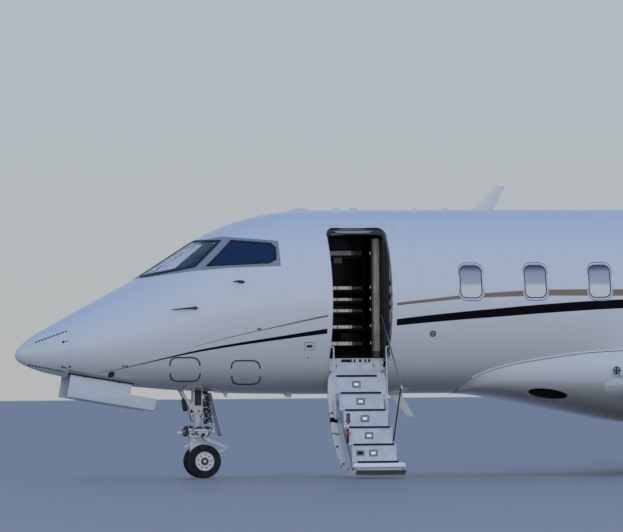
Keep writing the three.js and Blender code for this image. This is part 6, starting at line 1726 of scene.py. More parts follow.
def buildNoseLeg():
    s, roof = noseGear["steer"], 1.6196
    housing = bevelled(box("legHousing", 2.441, 2.582, -0.07, 0.07, 0.86, roof), 0.018, 3)
    recess = [box("recess", 2.466, 2.56, 0.03, 0.2, 0.978, 1.5), box("recess", 2.466, 2.56, -0.2, -0.03, 0.978,
        1.5)]
    carve(housing, recess)
    neck = loft("legNeck", [[place(2.5115 - w * cos(a), d * sin(a), z) for a in circleAngles(40)] for z, w,
        d in ((0.884, 0.068, 0.066), (0.85, 0.066, 0.066), (0.79, 0.058, 0.062), (0.735, 0.05, 0.056),
        (0.7012, 0.047, 0.055))])
    braces = [cylinder("brace", (s - 0.03, side * 0.045, 0.9), (2.04, side * 0.075, 1.6), 0.021)
        for side in (-1, 1)]
    cross = [cylinder("braceCross", (2.335, -0.06, 1.085), (2.335, 0.06, 1.085), 0.014, 20),
        cylinder("braceCross", (2.17, -0.07, 1.375), (2.17, 0.07, 1.375), 0.014, 20)]
    knuckle = box("braceKnuckle", 2.405, 2.47, -0.066, 0.066, 0.87, 0.935, 0.01)
    foot = box("braceFoot", 2.0, 2.08, -0.095, 0.095, 1.56, 1.6194, 0.006)
    plate = prism("legLugs", roundedCorners([(2.4, 0.985), (2.445, 1.04), (2.445, 0.86), (2.385, 0.845)], 0.012),
        0.045, 0.066)
    other = mirroredCopy(plate, "legLugsRight")
    arm = box("doorArm", 2.56, 2.738, -0.014, 0.014, 0.808, 0.842, 0.005)
    whole = joinAll("noseLeg", [housing, neck, knuckle, foot, plate, other, arm] + braces + cross)
    addPiece(whole, "gearPaint", ["nose_gear_leg"], 35)
    # painted shade: dark sheets at the backs of the leg housing recesses
    backs = [box("recessBack", 2.4665, 2.5595, a, b, 0.9785, 1.4995) for a,
        b in ((0.0302, 0.0345), (-0.0345, -0.0302))]
    addPiece(joinAll("legRecess", backs), "recess")
    rams = []
    for y in (-0.052, 0.052):
        rams.append(turned("ram", [(0, 0), (0, 0.018), (0.01, 0.0235), (0.15, 0.0235), (0.16, 0.018), (0.16, 0)],
            place(2.352, y, 0.902), Vector((0.028, 0, 0.158)), 24))
        rams.append(cylinder("ramRod", (2.324, y, 1.06), (2.3, y, 1.2), 0.0085, 16))
    addPiece(joinAll("downlockRams", rams), "darkMetal", sharp=40)
    shackle = drum("braceRing", place(2.262, 0, 1.215), (0, 1, 0), -0.088, 0.088, 0.03, 28)
    addPiece(shackle, "darkMetal", sharp=40)
    cable = []
    for path in ([(2.592, 0.05, 1.45), (2.606, 0.06, 1.15), (2.588, 0.062, 1.0), (2.612, 0.058, 0.9),
            (2.6, 0.06, 0.76)], [(2.6, 0.02, 1.45), (2.634, 0.034, 1.12), (2.612, 0.042, 0.98),
            (2.642, 0.035, 0.88), (2.618, 0.045, 0.74)], [(2.604, -0.04, 1.45), (2.64, -0.044, 1.1),
            (2.62, -0.042, 0.9), (2.636, -0.035, 0.75)], [(2.6, 0.052, 1.02), (2.652, 0.048, 0.96),
            (2.648, 0.052, 0.88), (2.602, 0.056, 0.85)], [(2.425, 0.064, 0.93), (2.398, 0.072, 0.86),
            (2.412, 0.07, 0.79), (2.44, 0.058, 0.76)]):
        cable.append(tube("cable", curvePoints([place(*p) for p in path], 28), 0.0068, 10))
    rng, clamps = random.Random(tangle["seed"]), []
    for _ in range(tangle["count"]):
        z = rng.uniform(0.9, 1.44)
        points = []
        while z > 0.745 and len(points) < 5:
            limit = 2.664 if z > 1.14 else 2.66 + (1.14 - z) * 0.2
            points.append(place(rng.uniform(2.592, limit), rng.uniform(-0.02, 0.074), z))
            z -= rng.uniform(0.035, 0.095)
        if len(points) < 2:
            continue
        cable.append(tube("cable", curvePoints(points, 8 * len(points)), rng.uniform(0.0045, 0.0085), 8))
        spot = points[len(points) // 2]
        clamps.append(tube("clamp", [spot, spot + Vector((0, 0, 0.022))], rng.uniform(0.01, 0.014), 10))
    addPiece(joinAll("legHoses", cable), "hose", sharp=60)
    addPiece(joinAll("hoseClamps", clamps), "alloy", sharp=35)
    clips = [box("clip", 2.58, 2.648, 0.02, 0.068, z, z + 0.018, 0.003) for z in (1.275, 1.105, 0.945, 0.8)]
    addPiece(joinAll("hoseClips", clips), "alloy")
    brass = []
    for at in ((2.604, 0.062, 1.172), (2.64, 0.04, 1.145), (2.612, 0.062, 0.985), (2.645, 0.045, 0.855),
            (2.608, 0.064, 0.765)):
        brass.append(cylinder("union", at, (at[0], at[1], at[2] + 0.034), 0.0105, 6))
    addPiece(joinAll("hoseUnions", brass), "brass", sharp=35)
    block = [box("manifold", 2.59, 2.662, -0.045, 0.05, 0.885, 0.925, 0.005),
        cylinder("accumulator", (2.628, -0.01, 0.73), (2.628, -0.01, 0.85), 0.026),
        cylinder("sensor", (2.52, 0.068, 0.905), (2.52, 0.088, 0.905), 0.01, 12),
        cylinder("sensor", (2.545, 0.06, 0.832), (2.545, 0.078, 0.832), 0.01, 12)]
    addPiece(joinAll("legFittings", block), "darkMetal", sharp=35)
    points = [(place(st, 0.0705, z), (0, 1, 0)) for st in (2.452, 2.571) for z in (1.45, 1.3, 1.15, 1.0, 0.9)]
    points += [(p - Vector((0, 0.141, 0)), (0, -1, 0)) for p, _ in points]
    addPiece(heads("legScrews", points, 0.0058, 0.003, "screw"), "screw")
    flapRings = []
    for t in np.linspace(0, 1, 11):
        st, z = 2.672 + (2.806 - 2.672) * t, 1.15 + (0.566 - 1.15) * t
        wide, bow = 0.125 + 0.03 * t, 0.014
        ring = []
        for y in np.linspace(-wide, wide, 13):
            ring.append(place(st + bow * (y / wide) ** 2 * (0.4 + t) - 0.005, y, z))
        for y in np.linspace(wide, -wide, 13):
            ring.append(place(st + bow * (y / wide) ** 2 * (0.4 + t) + 0.006, y, z))
        flapRings.append(ring)
    flap = loft("legDoor", flapRings)
    addPiece(bevelled(flap, 0.002, 1), "legDoorFace", sharp=40)
    ribs = [box("rib", 2.69, 2.72, -0.07, 0.07, 1.02, 1.03), box("rib", 2.738, 2.766, -0.07, 0.07, 0.815, 0.825)]
    addPiece(joinAll("legDoorRibs", ribs), "gearPaint")


def noseHingeZ(station):
    return noseDoor["frontZ"] - tan(noseDoor["slope"]) * (station - noseDoor["front"])


def noseDoorPoint(along, down):  # place on the hanging door
    rise, run = sin(noseDoor["slope"]), cos(noseDoor["slope"])
    return (noseDoor["front"] + along * run - down * rise, noseDoor["frontZ"] - along * rise - down * run)


def noseHingeBar(name, span, radius):
    y = noseDoor["y"]
    return cylinder(name, (span[0], y, noseHingeZ(span[0])), (span[1], y, noseHingeZ(span[1])), radius, 20)


def buildNoseDoors():
    d = noseDoor
    y, half, long = d["y"], d["thick"] / 2, d["length"]
    corners = [(0, 0), (long, 0), (long, d["tailDrop"]), (long + d["tail"], d["tailDrop"]),
        (long + d["tail"] - 0.015, d["drop"]), (0, d["drop"])]
    outline = roundedCorners([noseDoorPoint(*p) for p in corners], 0.012)
    for side, end in flanks:
        panel = prism("noseGearDoor", outline, y - half, y + half)
        carve(panel, [noseHingeBar("lugRoom", (a - 0.006, b + 0.006), 2 * d["knuckle"] + 0.002) for a,
            b in d["lugs"]])
        bevelled(panel, 0.002, 2)
        pan = prism("doorPan", roundedCorners([noseDoorPoint(*p) for p in ((0.03, 0.075), (long - 0.03, 0.075),
            (long - 0.03, 0.18), (long + d["tail"] - 0.04, 0.18), (long + d["tail"] - 0.05, d["drop"] - 0.03),
            (0.03, d["drop"] - 0.03))], 0.02), y - half - 0.006, y - half + 0.001)
        ribs = []
        for at in (0.14, 0.3, 0.46, 0.62, 0.78, 0.94, 1.08):
            top = 0.09 if at < long else 0.19
            corners = [(at, top), (at + 0.012, top), (at + 0.012, d["drop"] - 0.04), (at, d["drop"] - 0.04)]
            ribs.append(prism("rib", [noseDoorPoint(*p) for p in corners], y - half - 0.016, y - half - 0.005))
        bars = [noseHingeBar("knuckle", span, d["knuckle"]) for span in d["knuckles"]]
        bars += [box("web", a + 0.004, b - 0.004, y - 0.006, y + 0.006, noseHingeZ(a) - 0.03, noseHingeZ(b)) for a,
            b in d["knuckles"]]
        edges = [prism("edge", [noseDoorPoint(*p) for p in ((a, low), (b, low), (b, low + 0.006),
            (a, low + 0.006))], y + half - 0.001, y + half + 0.0012) for a, b,
            low in ((0.004, long + d["tail"] - 0.018, d["drop"] - 0.009),)]
        screws = [(place(p.x, y + half + 0.0002, p.y), (0, 1, 0)) for p in along(grown(outline, -0.02), 0.062)]
        lugBars = [noseHingeBar("lug", span, d["knuckle"]) for span in d["lugs"]]
        for a, b in d["lugs"]:
            z = noseHingeZ((a + b) / 2)
            lugBars.append(box("web", a + 0.003, b - 0.003, y, 0.358, z - 0.006, z + 0.006))
        ends = [hullCut["bayFront"], hullCut["bayStep"]]
        # painted shade: the bay sill is dark like the shaded curve of the belly above it
        sill = prism("baySill", [(s, noseHingeZ(s) - d["sillLow"]) for s in ends]
            + [(s, noseHingeZ(s) + d["sillHigh"]) for s in ends[::-1]], 0.35, 0.366)
        trim = prism("sillTrim", [(s, noseHingeZ(s) - d["sillLow"] - 0.002) for s in ends]
            + [(s, noseHingeZ(s) + d["sillTrim"]) for s in ends[::-1]], 0.3664, 0.369)
        made = [(joinAll("noseDoor" + end, [panel, bevelled(pan, 0.002, 1)] + ribs + bars), "doorPaint",
            ["nose_gear_door_" + end.lower()]), (joinAll("noseDoorSeals" + end, edges), "seal", ()),
            (joinAll("gearDoorLugs" + end, lugBars), "gearPaint", ()), (sill, "sillShade", ()), (trim, "seal", ())]
        for i, (obj, mat, nodes) in enumerate(made):
            name = ("baySill" if i == 3 else "baySillTrim") + end if i > 2 else obj.name
            obj = onFlank(obj, side, name)
            addPiece(obj, mat, nodes, 35, body="nose_door_" + end.lower() if i < 2 else "airframe")
        if side < 0:
            screws = [(Vector((p.x, -p.y, p.z)), (0, -1, 0)) for p, _ in screws]
        addPiece(heads("noseDoorScrews" + end, screws, 0.0038, 0.0008, "screw", 6), "screw",
            body="nose_door_" + end.lower())
    cut = hullCut
    wide, narrow, roof = cut["bayWide"], cut["bayNarrow"], cut["bayRoof"]
    frames = [box("bayRib", st, st + 0.014, -w + 0.001, w - 0.001, roof - 0.03, roof - 0.001) for st,
        w in ((0.95, wide), (1.2, wide), (1.45, wide), (1.75, narrow), (2.3, narrow), (2.62, narrow))]
    addPiece(joinAll("bayRibs", frames), "bayPaint")


def buildMainGear():
    g = mainGear
    for side, end in lowFlanks:
        body = "main_wheel_pair_" + end
        y = side * g["y"]
        title = end.capitalize()
        buildTyre("mainOuterTyre" + title, g, y + side * g["wheelY"], g["axle"], body, "main_tyre_outer_" + end)
        buildTyre("mainInnerTyre" + title, g, y - side * g["wheelY"], g["axle"], body, "main_tyre_inner_" + end)
        buildWheel("mainOuterWheel" + title, g, y + side * g["wheelY"], g["axle"], side, body, 10,
            ["main_wheels_" + end])
        buildWheel("mainInnerWheel" + title, g, y - side * g["wheelY"], g["axle"], -side, body, 10)
        axle = cylinder("mainAxle" + title, (g["axle"], y - 0.16, g["radius"]), (g["axle"], y + 0.16, g["radius"]),
            0.0335, 32)
        addPiece(axle, "polished", sharp=50, body=body)
        s, axleZ = g["strut"], g["radius"]
        post = turned("mainPost", [(0, 0), (0, 0.05), (0.02, 0.056), (0.56, 0.056), (0.58, 0.048), (0.66, 0.048),
            (0.66, 0)], place(s, y, 0.44), (0, 0, 1), 40)
        knee = turned("mainKnee", [(-0.042, 0), (-0.042, 0.055), (-0.036, 0.061), (0.036, 0.061), (0.042, 0.055),
            (0.042, 0)], place(s, y, 0.47), (0, 1, 0), 40)
        arm = prism("mainArm", roundedCorners([(s - 0.05, 0.51), (s + 0.05, 0.53), (g["axle"] + 0.05, axleZ + 0.04),
            (g["axle"] + 0.045, axleZ - 0.045), (g["axle"] - 0.02, axleZ - 0.055), (s - 0.06, 0.44)], 0.03),
            y - 0.034, y + 0.034)
        bevelled(arm, 0.01, 3)
        sleeve = axleSleeve("mainSleeve", place(g["axle"], y, axleZ), g["bore"], 0.042, 0.034, 0.06, 0.066)
        carve(arm, [drum("hole", place(g["axle"], y, axleZ), (0, 1, 0), -0.1, 0.1, g["bore"], 32)])
        brace = cylinder("sideBrace", (s, y - side * 0.02, 0.62), (s - 0.02, y - side * 0.42, 1.0), 0.024)
        low = place(g["axle"] + 0.01, y, axleZ + 0.065)
        high = place(s + 0.118, y, 1.095)
        mid = low.lerp(high, 0.42)
        shock = tube("shockBody", [mid, high], 0.03, 28)
        whole = joinAll("mainLeg", [post, knee, arm, sleeve, brace, shock])
        trim = hullTrim(whole)
        addPiece(trim, "gearPaint", ["main_gear_leg_" + end], 35)
        trim.name = "mainLeg" + title
        addPiece(tube("shockRod" + title, [low, mid], 0.019, 24), "polished", sharp=50)
        hoses = [tube("hose", curvePoints([place(s - 0.055, y + o, 1.02), place(s - 0.066, y + o, 0.78),
            place(s - 0.045, y + o * 1.4, 0.56), place(s + 0.04, y + o * 1.6, 0.44)], 20), 0.007, 10)
            for o in (-0.025, 0.025)]
        addPiece(joinAll("mainHoses" + title, hoses), "hose", sharp=60)


print("gear functions ready")

# Wings, tail, belly fairing

wingRows = [  # station, y, z, chord, thickness share, twist, lean
    (7.814, 1.0, 1.192, 4.536, 0.125, 2, 0), (9.729, 4.6, 1.38, 2.621, 0.12, 1, 0),
    (12.07, 9.0, 1.611, 1.35, 0.11, 0, 0), (12.215, 9.27, 1.672, 1.235, 0.105, 0, 35),
    (12.4, 9.45, 1.84, 1.12, 0.1, 0, 66), (13.17, 9.74, 2.68, 0.56, 0.1, 0, 74),
]
tailRows = [(18.0, 0, 6.01, 2.06, 0.1, 0, 0), (20.065, 3.64, 6.01, 0.81, 0.09, 0, 0)]
finRows = [(13.7, 0, 3.42, 5.32, 0.055, 0, 90), (15.45, 0, 3.85, 3.77, 0.085, 0, 90),
    (17.71, 0, 5.905, 2.476, 0.1, 0, 90)]
surfaces = {  # panel, from, to, hinge share, axis column
    "flap": (0, 1.68, 4.44, 0.72, 1), "aileron": (1, 6.0, 8.65, 0.75, 1), "elevator": (0, 0.3, 3.38, 0.7, 1),
    "rudder": (1, 3.95, 5.7, 0.7, 2),
}
spoilerSizes = {"panel": 0, "from": 2.31, "to": 3.88, "share": 0.53, "width": 0.36, "skin": 0.028, "room": 0.02}
fairingRows = [(6.05, 1.19, 1.112, 0.36, 1.15), (6.21, 1.33, 1.105, 0.67, 1.24), (6.6, 1.47, 1.05, 0.88, 1.29),
    (7.12, 1.566, 0.952, 1.01, 1.29), (7.8, 1.65, 0.815, 1.13, 1.27), (8.42, 1.68, 0.705, 1.26, 1.24),
    (9.2, 1.7, 0.655, 1.37, 1.2), (11.2, 1.7, 0.65, 1.38, 1.18), (12.2, 1.65, 0.74, 1.3, 1.2),
    (13.0, 1.54, 0.93, 1.09, 1.26), (13.7, 1.34, 1.15, 0.64, 1.26)]
running = 0.006


def meanPoint(row, share):
    station, y, z, chord, thick, twist, lean = row
    back = share * chord
    lean = radians(lean)
    normal = Vector((0, -sin(lean), cos(lean)))
    point = place(station + back, y, z) - normal * back * sin(radians(twist))
    x = share
    half = 5 * thick * (0.2969 * sqrt(x) - 0.126 * x - 0.3516 * x ** 2 + 0.2843 * x ** 3 - 0.1 * x ** 4) * chord
    return point, normal, half


def mixRows(low, high, share):
    return tuple(a + (b - a) * share for a, b in zip(low, high))


def liftingRing(row, extra=0.0, count=28, edge=0.003):
    shares = [(1 - cos(pi * k / count)) / 2 for k in range(count + 1)]
    upper, lower = [], []
    for share in shares:
        point, normal, half = meanPoint(row, share)
        thick = max(half, edge * share) + extra
        if share == 1:
            point = point - Vector((extra, 0, 0))
        if share == 0:
            upper.append(point + Vector((extra, 0, 0)))
            continue
        upper.append(point + normal * max(thick, 0.001))
        lower.append(point - normal * max(thick, 0.001))
    return upper + lower[::-1]


def denseRows(rows, steps, smoothFrom=None):
    dense = []
    for i in range(len(rows) - 1):
        count = steps[i]
        for k in range(count):
            t = k / count
            if smoothFrom is not None and i >= smoothFrom:
                p0, p1 = rows[i - 1], rows[i]
                p2 = rows[i + 1]
                p3 = rows[i + 2] if i + 2 < len(rows) else tuple(2 * b - a for a, b in zip(rows[i], rows[i + 1]))
                if i == smoothFrom:
                    p0 = mixRows(rows[i], rows[i - 1], 0.08)
                dense.append(tuple(0.5 * (2 * b + (c - a) * t + (2 * a - 5 * b + 4 * c - d) * t * t
                    + (3 * b - a - 3 * c + d) * t ** 3) for a, b, c, d in zip(p0, p1, p2, p3)))
            else:
                dense.append(mixRows(rows[i], rows[i + 1], t))
    dense.append(rows[-1])
    return dense


def lifting(name, rows, extra=0.0):
    return loft(name, [liftingRing(row, extra) for row in rows])


def onLifting(rows, panel, at, share, column):
    low, high = rows[panel], rows[panel + 1]
    return meanPoint(mixRows(low, high, (at - low[column]) / (high[column] - low[column])), share)


# box on a hinge line; reach holds how far it goes past the ends, aft, ahead and through
def hingeBox(name, start, end, normal, reach):
    alongLine = (end - start).normalized()
    aft = alongLine.cross(normal).normalized()
    if aft.x > 0:
        aft = -aft
    through = alongLine.cross(aft)
    points = []
    for a in (-reach["end"], (end - start).length + reach["end"]):
        for b in (-reach["ahead"], reach["aft"]):
            for c in (-reach["through"], reach["through"]):
                points.append(start + alongLine * a + aft * b + through * c)
    faces = [(0, 1, 3, 2), (4, 6, 7, 5), (0, 4, 5, 1), (2, 3, 7, 6), (0, 2, 6, 4), (1, 5, 7, 3)]
    return pointOutwards(makeObject(name, points, faces))


def splitSurface(parent, rows, key, name):
    panel, low, high, share, column = surfaces[key]
    start, normal, halfA = onLifting(rows, panel, low, share, column)
    end, _, halfB = onLifting(rows, panel, high, share, column)
    moving = linked(name, parent.data.copy())
    carve(moving, [hingeBox("movingBox", start, end, normal, {"end": 0, "aft": 2.5, "ahead": 0, "through": 0.6})],
        "INTERSECT")
    nose = tube("surfaceNose", [start, end], 0, 40, [halfA - 0.001, halfB - 0.001])
    carve(moving, [nose], "UNION")
    bay = hingeBox("bayBox", start, end, normal, {"end": running + 0.002, "aft": 2.5,
        "ahead": max(halfA, halfB) + running, "through": 0.6})
    carve(parent, [bay])
    return moving


def aboveWing(obj, depth):
    mean = [[meanPoint(row, share)[0] for share in (0, 1)] for row in wingRows[:2]]
    rings = [[a, b, b + Vector((0, 0, 1.5)), a + Vector((0, 0, 1.5))] for a, b in mean]
    carve(obj, [loft("upperHalf", rings)], "INTERSECT")
    return carve(obj, [lifting("wingCore", denseRows(wingRows[:2], [6]), -depth)])


def spoilerPoint(at):
    point, normal, half = onLifting(wingRows, spoilerSizes["panel"], at, spoilerSizes["share"], 1)
    return point + normal * (half - spoilerSizes["skin"] / 2), normal


def surfaceScrews(name, rows, panel, low, high, share, column, count, body, side):
    places = []
    for k in range(count):
        at = low + (high - low) * (k + 0.5) / count
        for sign in (1, -1):
            point, normal, half = onLifting(rows, panel, at, share, column)
            places.append((point + normal * sign * (half + 0.0002), normal * sign))
    if side < 0:
        places = [(Vector((p.x, -p.y, p.z)), Vector((n.x, -n.y, n.z))) for p, n in places]
    addPiece(heads(name, places, 0.004, 0.001, "screw", 6), "screw", body=body)


def buildWings():
    rows = denseRows(wingRows, [12, 12, 6, 6, 12], 2)
    wing = lifting("wingSkin", rows)
    start, normal = spoilerPoint(spoilerSizes["from"])
    end, _ = spoilerPoint(spoilerSizes["to"])
    reach = {"end": 0, "aft": spoilerSizes["width"], "ahead": 0, "through": 0.4}
    spoiler = linked("spoiler", wing.data.copy())
    carve(spoiler, [aboveWing(hingeBox("spoilerBox", start, end, normal, reach), spoilerSizes["skin"])],
        "INTERSECT")
    reach = {"end": running, "aft": spoilerSizes["width"] + running, "ahead": spoilerSizes["room"], "through": 0.4}
    carve(wing, [aboveWing(hingeBox("spoilerBay", start, end, normal, reach), spoilerSizes["skin"] + running)])
    flap = splitSurface(wing, wingRows, "flap", "flap")
    aileron = splitSurface(wing, wingRows, "aileron", "aileron")
    addPair(wing, "paint", "wing", 25)
    addPair(flap, "paint", "flap", 25, body="flap_panel")
    addPair(aileron, "paint", "aileron", 25, body="aileron_panel")
    addPair(spoiler, "paint", "spoiler", 25, body="spoiler_panel")
    leading = []
    for i in (0, 1):
        part = denseRows(wingRows[i:i + 2], [8])
        if i == 0:
            part = part[1:]
        strip = []
        for row in part:
            ring = []
            for share in (0.085, 0.055, 0.03, 0.012, 0.0, -0.012, -0.03, -0.055, -0.085):
                point, norm, half = meanPoint(row, abs(share))
                ring.append(point + norm * copysign(half + 0.0008, share if share else 1) * (1 if share else 0)
                    + (Vector((0.0008, 0, 0)) if share == 0 else Vector()))
            for share in (-0.085, -0.05, -0.02, 0.02, 0.05, 0.085):
                point, norm, half = meanPoint(row, abs(share))
                ring.append(point + norm * copysign(half - 0.004, share))
            strip.append(ring)
        leading.append(loft("leadingEdge", strip))
    edge = joinAll("leadingEdge", leading)
    addPair(edge, "edgeMetal", sharp=40)
    fences = []
    for y in (2.55, 3.75, 5.15):
        panel = 0 if y < 4.6 else 1
        low, high = wingRows[panel], wingRows[panel + 1]
        row = mixRows(low, high, (y - low[1]) / (high[1] - low[1]))
        rings = []
        for share, wide, deep in ((0.5, 0.006, 0.02), (0.56, 0.03, 0.07), (0.64, 0.04, 0.1), (0.7, 0.04, 0.11)):
            point, norm, half = meanPoint(row, share)
            centre = point - norm * (half * 0.6)
            rings.append([centre + Vector((0, wide * cos(a), 0)) - norm * (deep * sin(a))
                for a in circleAngles(24)])
        fences.append(loft("trackFairing", rings))
    addPair(joinAll("flapTracks", fences), "paint", sharp=50)
    for key, body, slot, rowsOf, count in (("flap", "flap_panel", "wing_alloy_paint", wingRows, 30),
            ("aileron", "aileron_panel", "wing_alloy_paint", wingRows, 26)):
        panel, low, high, share, column = surfaces[key]
        for side, end in lowFlanks:
            surfaceScrews(key + "Screws" + end.capitalize(), rowsOf, panel, low + 0.05, high - 0.05, share + 0.02,
                column, count, body + "_" + end, side)
            surfaceScrews(key + "ShroudScrews" + end.capitalize(), rowsOf, panel, low + 0.05, high - 0.05,
                share - 0.045, column, count, "airframe", side)
    for side, end, mat in ((1, "Left", "redLamp"), (-1, "Right", "greenLamp")):
        at = place(12.235, side * 9.335, 1.748)
        lamp = turned("navLamp" + end, [(-0.09, 0), (-0.09, 0.022), (0.0, 0.024), (0.03, 0.018), (0.042, 0)], at,
            (1, side * 0.25, 0), 28)
        addPiece(lamp, mat, sharp=50)
    wicks = []
    for y, share in ((8.75, 0), (8.95, 0)):
        point, _, _ = onLifting(wingRows, 1, y, 1.0, 1)
        wicks.append(tube("wick", [point, point - Vector((0.13, 0, 0))], 0.0028, 8))
    for t in (0.35, 0.75):
        point, _, _ = meanPoint(mixRows(wingRows[4], wingRows[5], t), 1.0)
        wicks.append(tube("wick", [point, point - Vector((0.12, 0, 0))], 0.0028, 8))
    addPair(joinAll("staticWicks", wicks), "darkMetal", sharp=50)


def bulletProfile(grow=0.0):
    key = [(17.56, 0), (17.6, 0.04), (17.9, 0.105), (18.9, 0.125), (19.9, 0.07), (20.18, 0.02), (20.2, 0)]
    stations = np.array([p[0] for p in key])
    radii = np.array([p[1] for p in key])
    fine = np.concatenate((17.56 + 0.34 * np.linspace(0, 1, 14) ** 2, np.linspace(17.95, 20.2, 40)))
    smooth = monotone(stations, radii, fine)
    return [(s - 17.56, max(r, 0) + (grow if 0 < r else 0)) for s, r in zip(fine, smooth)]


def buildTail():
    half = lifting("tailHalf", denseRows(tailRows, [16]))
    elevator = splitSurface(half, tailRows, "elevator", "elevator")
    other = mirroredCopy(half, "tailOther")
    bullet = turned("tailBullet", bulletProfile(), place(17.56, 0, 6.01), (-1, 0, 0), 64)
    carve(half, [other, bullet], "UNION")
    half.name = "tailplaneSkin"
    addPiece(half, "paint", ["tailplane"], 25)
    addPair(elevator, "paint", "elevator", 25, body="elevator_panel")
    fin = lifting("finSkin", denseRows(finRows, [10, 16]))
    rudder = splitSurface(fin, finRows, "rudder", "rudderSkin")
    carve(fin, [hullGrid("hullRoom", 12.9, 19.54, 0.0004, None, 0.08, 96),
        lifting("tailRoom", denseRows(tailRows, [10]), 0.0004), lifting("tailRoomTwo",
        [(r[0], -r[1], *r[2:]) for r in denseRows(tailRows, [10])], 0.0004),
        turned("bulletRoom", bulletProfile(0.001), place(17.56, 0, 6.01), (-1, 0, 0), 64)])
    addPiece(fin, "finPaint", ["fin"], 25)
    addPiece(rudder, "finPaint", ["rudder"], 25, body="rudder_panel")
    panel, low, high, share, column = surfaces["elevator"]
    for side, end in lowFlanks:
        surfaceScrews("elevatorScrews" + end.capitalize(), tailRows, panel, low + 0.05, high - 0.05, share + 0.025,
            column, 28, "elevator_panel_" + end, side)
    panel, low, high, share, column = surfaces["rudder"]
    surfaceScrews("rudderScrews", finRows, panel, low + 0.05, high - 0.05, share + 0.02, column, 22, "rudder_panel",
        1)
    edge = []
    for row in denseRows(tailRows, [8])[1:]:
        ring = []
        for share in (0.07, 0.035, 0.012, 0.0, -0.012, -0.035, -0.07):
            point, norm, halfT = meanPoint(row, abs(share))
            shift = Vector((0.0008, 0, 0)) if share == 0 else norm * copysign(halfT + 0.0008, share)
            ring.append(point + shift)
        for share in (-0.07, -0.02, 0.02, 0.07):
            point, norm, halfT = meanPoint(row, abs(share))
            ring.append(point + norm * copysign(halfT - 0.003, share))
        edge.append(ring)
    addPair(loft("tailLeadingEdge", edge), "polished", sharp=40)
    wicks = []
    for y in (2.2, 2.7, 3.2):
        point, _, _ = onLifting(tailRows, 0, y, 1.0, 1)
        wicks.append(tube("wick", [point, point - Vector((0.11, 0, 0))], 0.0026, 8))
    joined = joinAll("elevatorWicks", wicks)
    addPair(joined, "darkMetal", sharp=50, body="elevator_panel")


def fairingRing(row, grow=0.0, steps=64):
    station, lip, keel, half, waist = row
    half, keel, lip = half + grow, keel - grow, lip + grow
    ring = []
    for i in range(steps + 1):
        angle = -pi * i / steps
        across = copysign(abs(cos(angle)) ** 0.8, cos(angle))
        down = abs(sin(angle)) ** 0.8
        ring.append(place(station, half * across, waist - (waist - keel) * down))
    crown, bodyKeel, bodyHalf, bodyWaist = [float(v) for v in sectionAt(station)]
    fall = (bodyWaist - lip) / (bodyWaist - bodyKeel)
    edge = bodyHalf * sqrt(1 - min(fall, 0.999) ** 2) + 0.008
    ring += [place(station, -edge, lip), place(station, edge, lip)]
    return ring


def denseFairing(steps=0.06):
    table = np.array(fairingRows)
    count = int((table[-1, 0] - table[0, 0]) / steps)
    stations = np.linspace(table[0, 0], table[-1, 0], count)
    columns = [monotone(table[:, 0], table[:, k], stations) for k in range(1, 5)]
    return [tuple(float(v) for v in row) for row in zip(stations, *columns)]


def wingRoom(extra=0.0004):
    rows = denseRows(wingRows, [12, 8, 4, 4, 6], 2)
    first, second = rows[0], rows[1]
    share = -0.0008 / (second[1] - first[1])
    rows[0] = mixRows(first, second, share)
    return lifting("wingRoom", rows, extra)


def hullTrim(obj):  # trims a gear leg where it enters the wing and the belly fairing
    room = wingRoom()
    other = mirroredCopy(room, "wingRoomRight")
    fairing = loft("fairingRoom", [fairingRing(row, 0.0004, 40) for row in denseFairing(0.2)])
    return carve(obj, [room, other, fairing])


def buildFairing():
    rows = denseFairing()
    fairing = loft("bellyFairing", [fairingRing(row) for row in rows])
    room = wingRoom()
    other = mirroredCopy(room, "wingRoomRight")
    oval = [(7.165 + 0.268 * cos(a) * cos(0.14) + 0.062 * sin(a) * sin(0.14),
        1.102 - 0.268 * cos(a) * sin(0.14) + 0.062 * sin(a) * cos(0.14)) for a in circleAngles(56)]
    pocket = prism("ovalPocket", oval, 0.66, 1.5)
    pocketOther = mirroredCopy(pocket, "ovalPocketRight")
    carve(fairing, [hullGrid("hullRoom", 5.4, 14.4, 0.0006, None, 0.12, 128), room, other, pocket, pocketOther])
    addPiece(fairing, "bellyPaint", ["wing_body_fairing"], 24)
    # painted shade: a near black cup lining the oval inlet
    for side, end in flanks:
        cup = prism("inletCup", grown(oval, -0.0005), 0.662, 0.872)
        carve(cup, [prism("cupHole", grown(oval, -0.006), 0.67, 0.9)])
        addPiece(onFlank(cup, side, "inletCup" + end), "inlet", sharp=40)
    fitting = []
    centre = Vector((8.06, 1.41))
    for du, dv in ((0.04, 0.008), (0.008, 0.04)):
        u0, v0 = centre.x - du, centre.y - dv
        fitting.append(box("cross", u0, u0 + 2 * du, 1.165, 1.196, v0, v0 + 2 * dv, 0.004))
    fitting.append(turned("crossRing", [(0, 0.046), (0.012, 0.051), (0.02, 0.051), (0.02, 0.04), (0, 0.04),
        (0, 0.046)], place(8.06, 1.172, 1.41), (0, 1, 0), 32))
    whole = joinAll("crossFitting", fitting)
    addPair(whole, "darkMetal", sharp=40)
    # painted light along the fairing's top edge: the raised lip band is paler than the paint as a painted
    # highlight, and the dark band below it is a painted shadow
    for name, rise, wide, high, mat in (("fairingLip", 0.02, 0.014, 0.01, "whiteTread"),
            ("fairingEdgeShadow", 0.006, 0.008, 0.003, "groove")):
        edge = [(row[0], row[1] + rise) for row in rows[2:-2]]
        addPair(bandOnHull(name, edge, wide, -0.001, high, 1, closed=False), mat, sharp=40)


print("wing functions ready")

# Engines

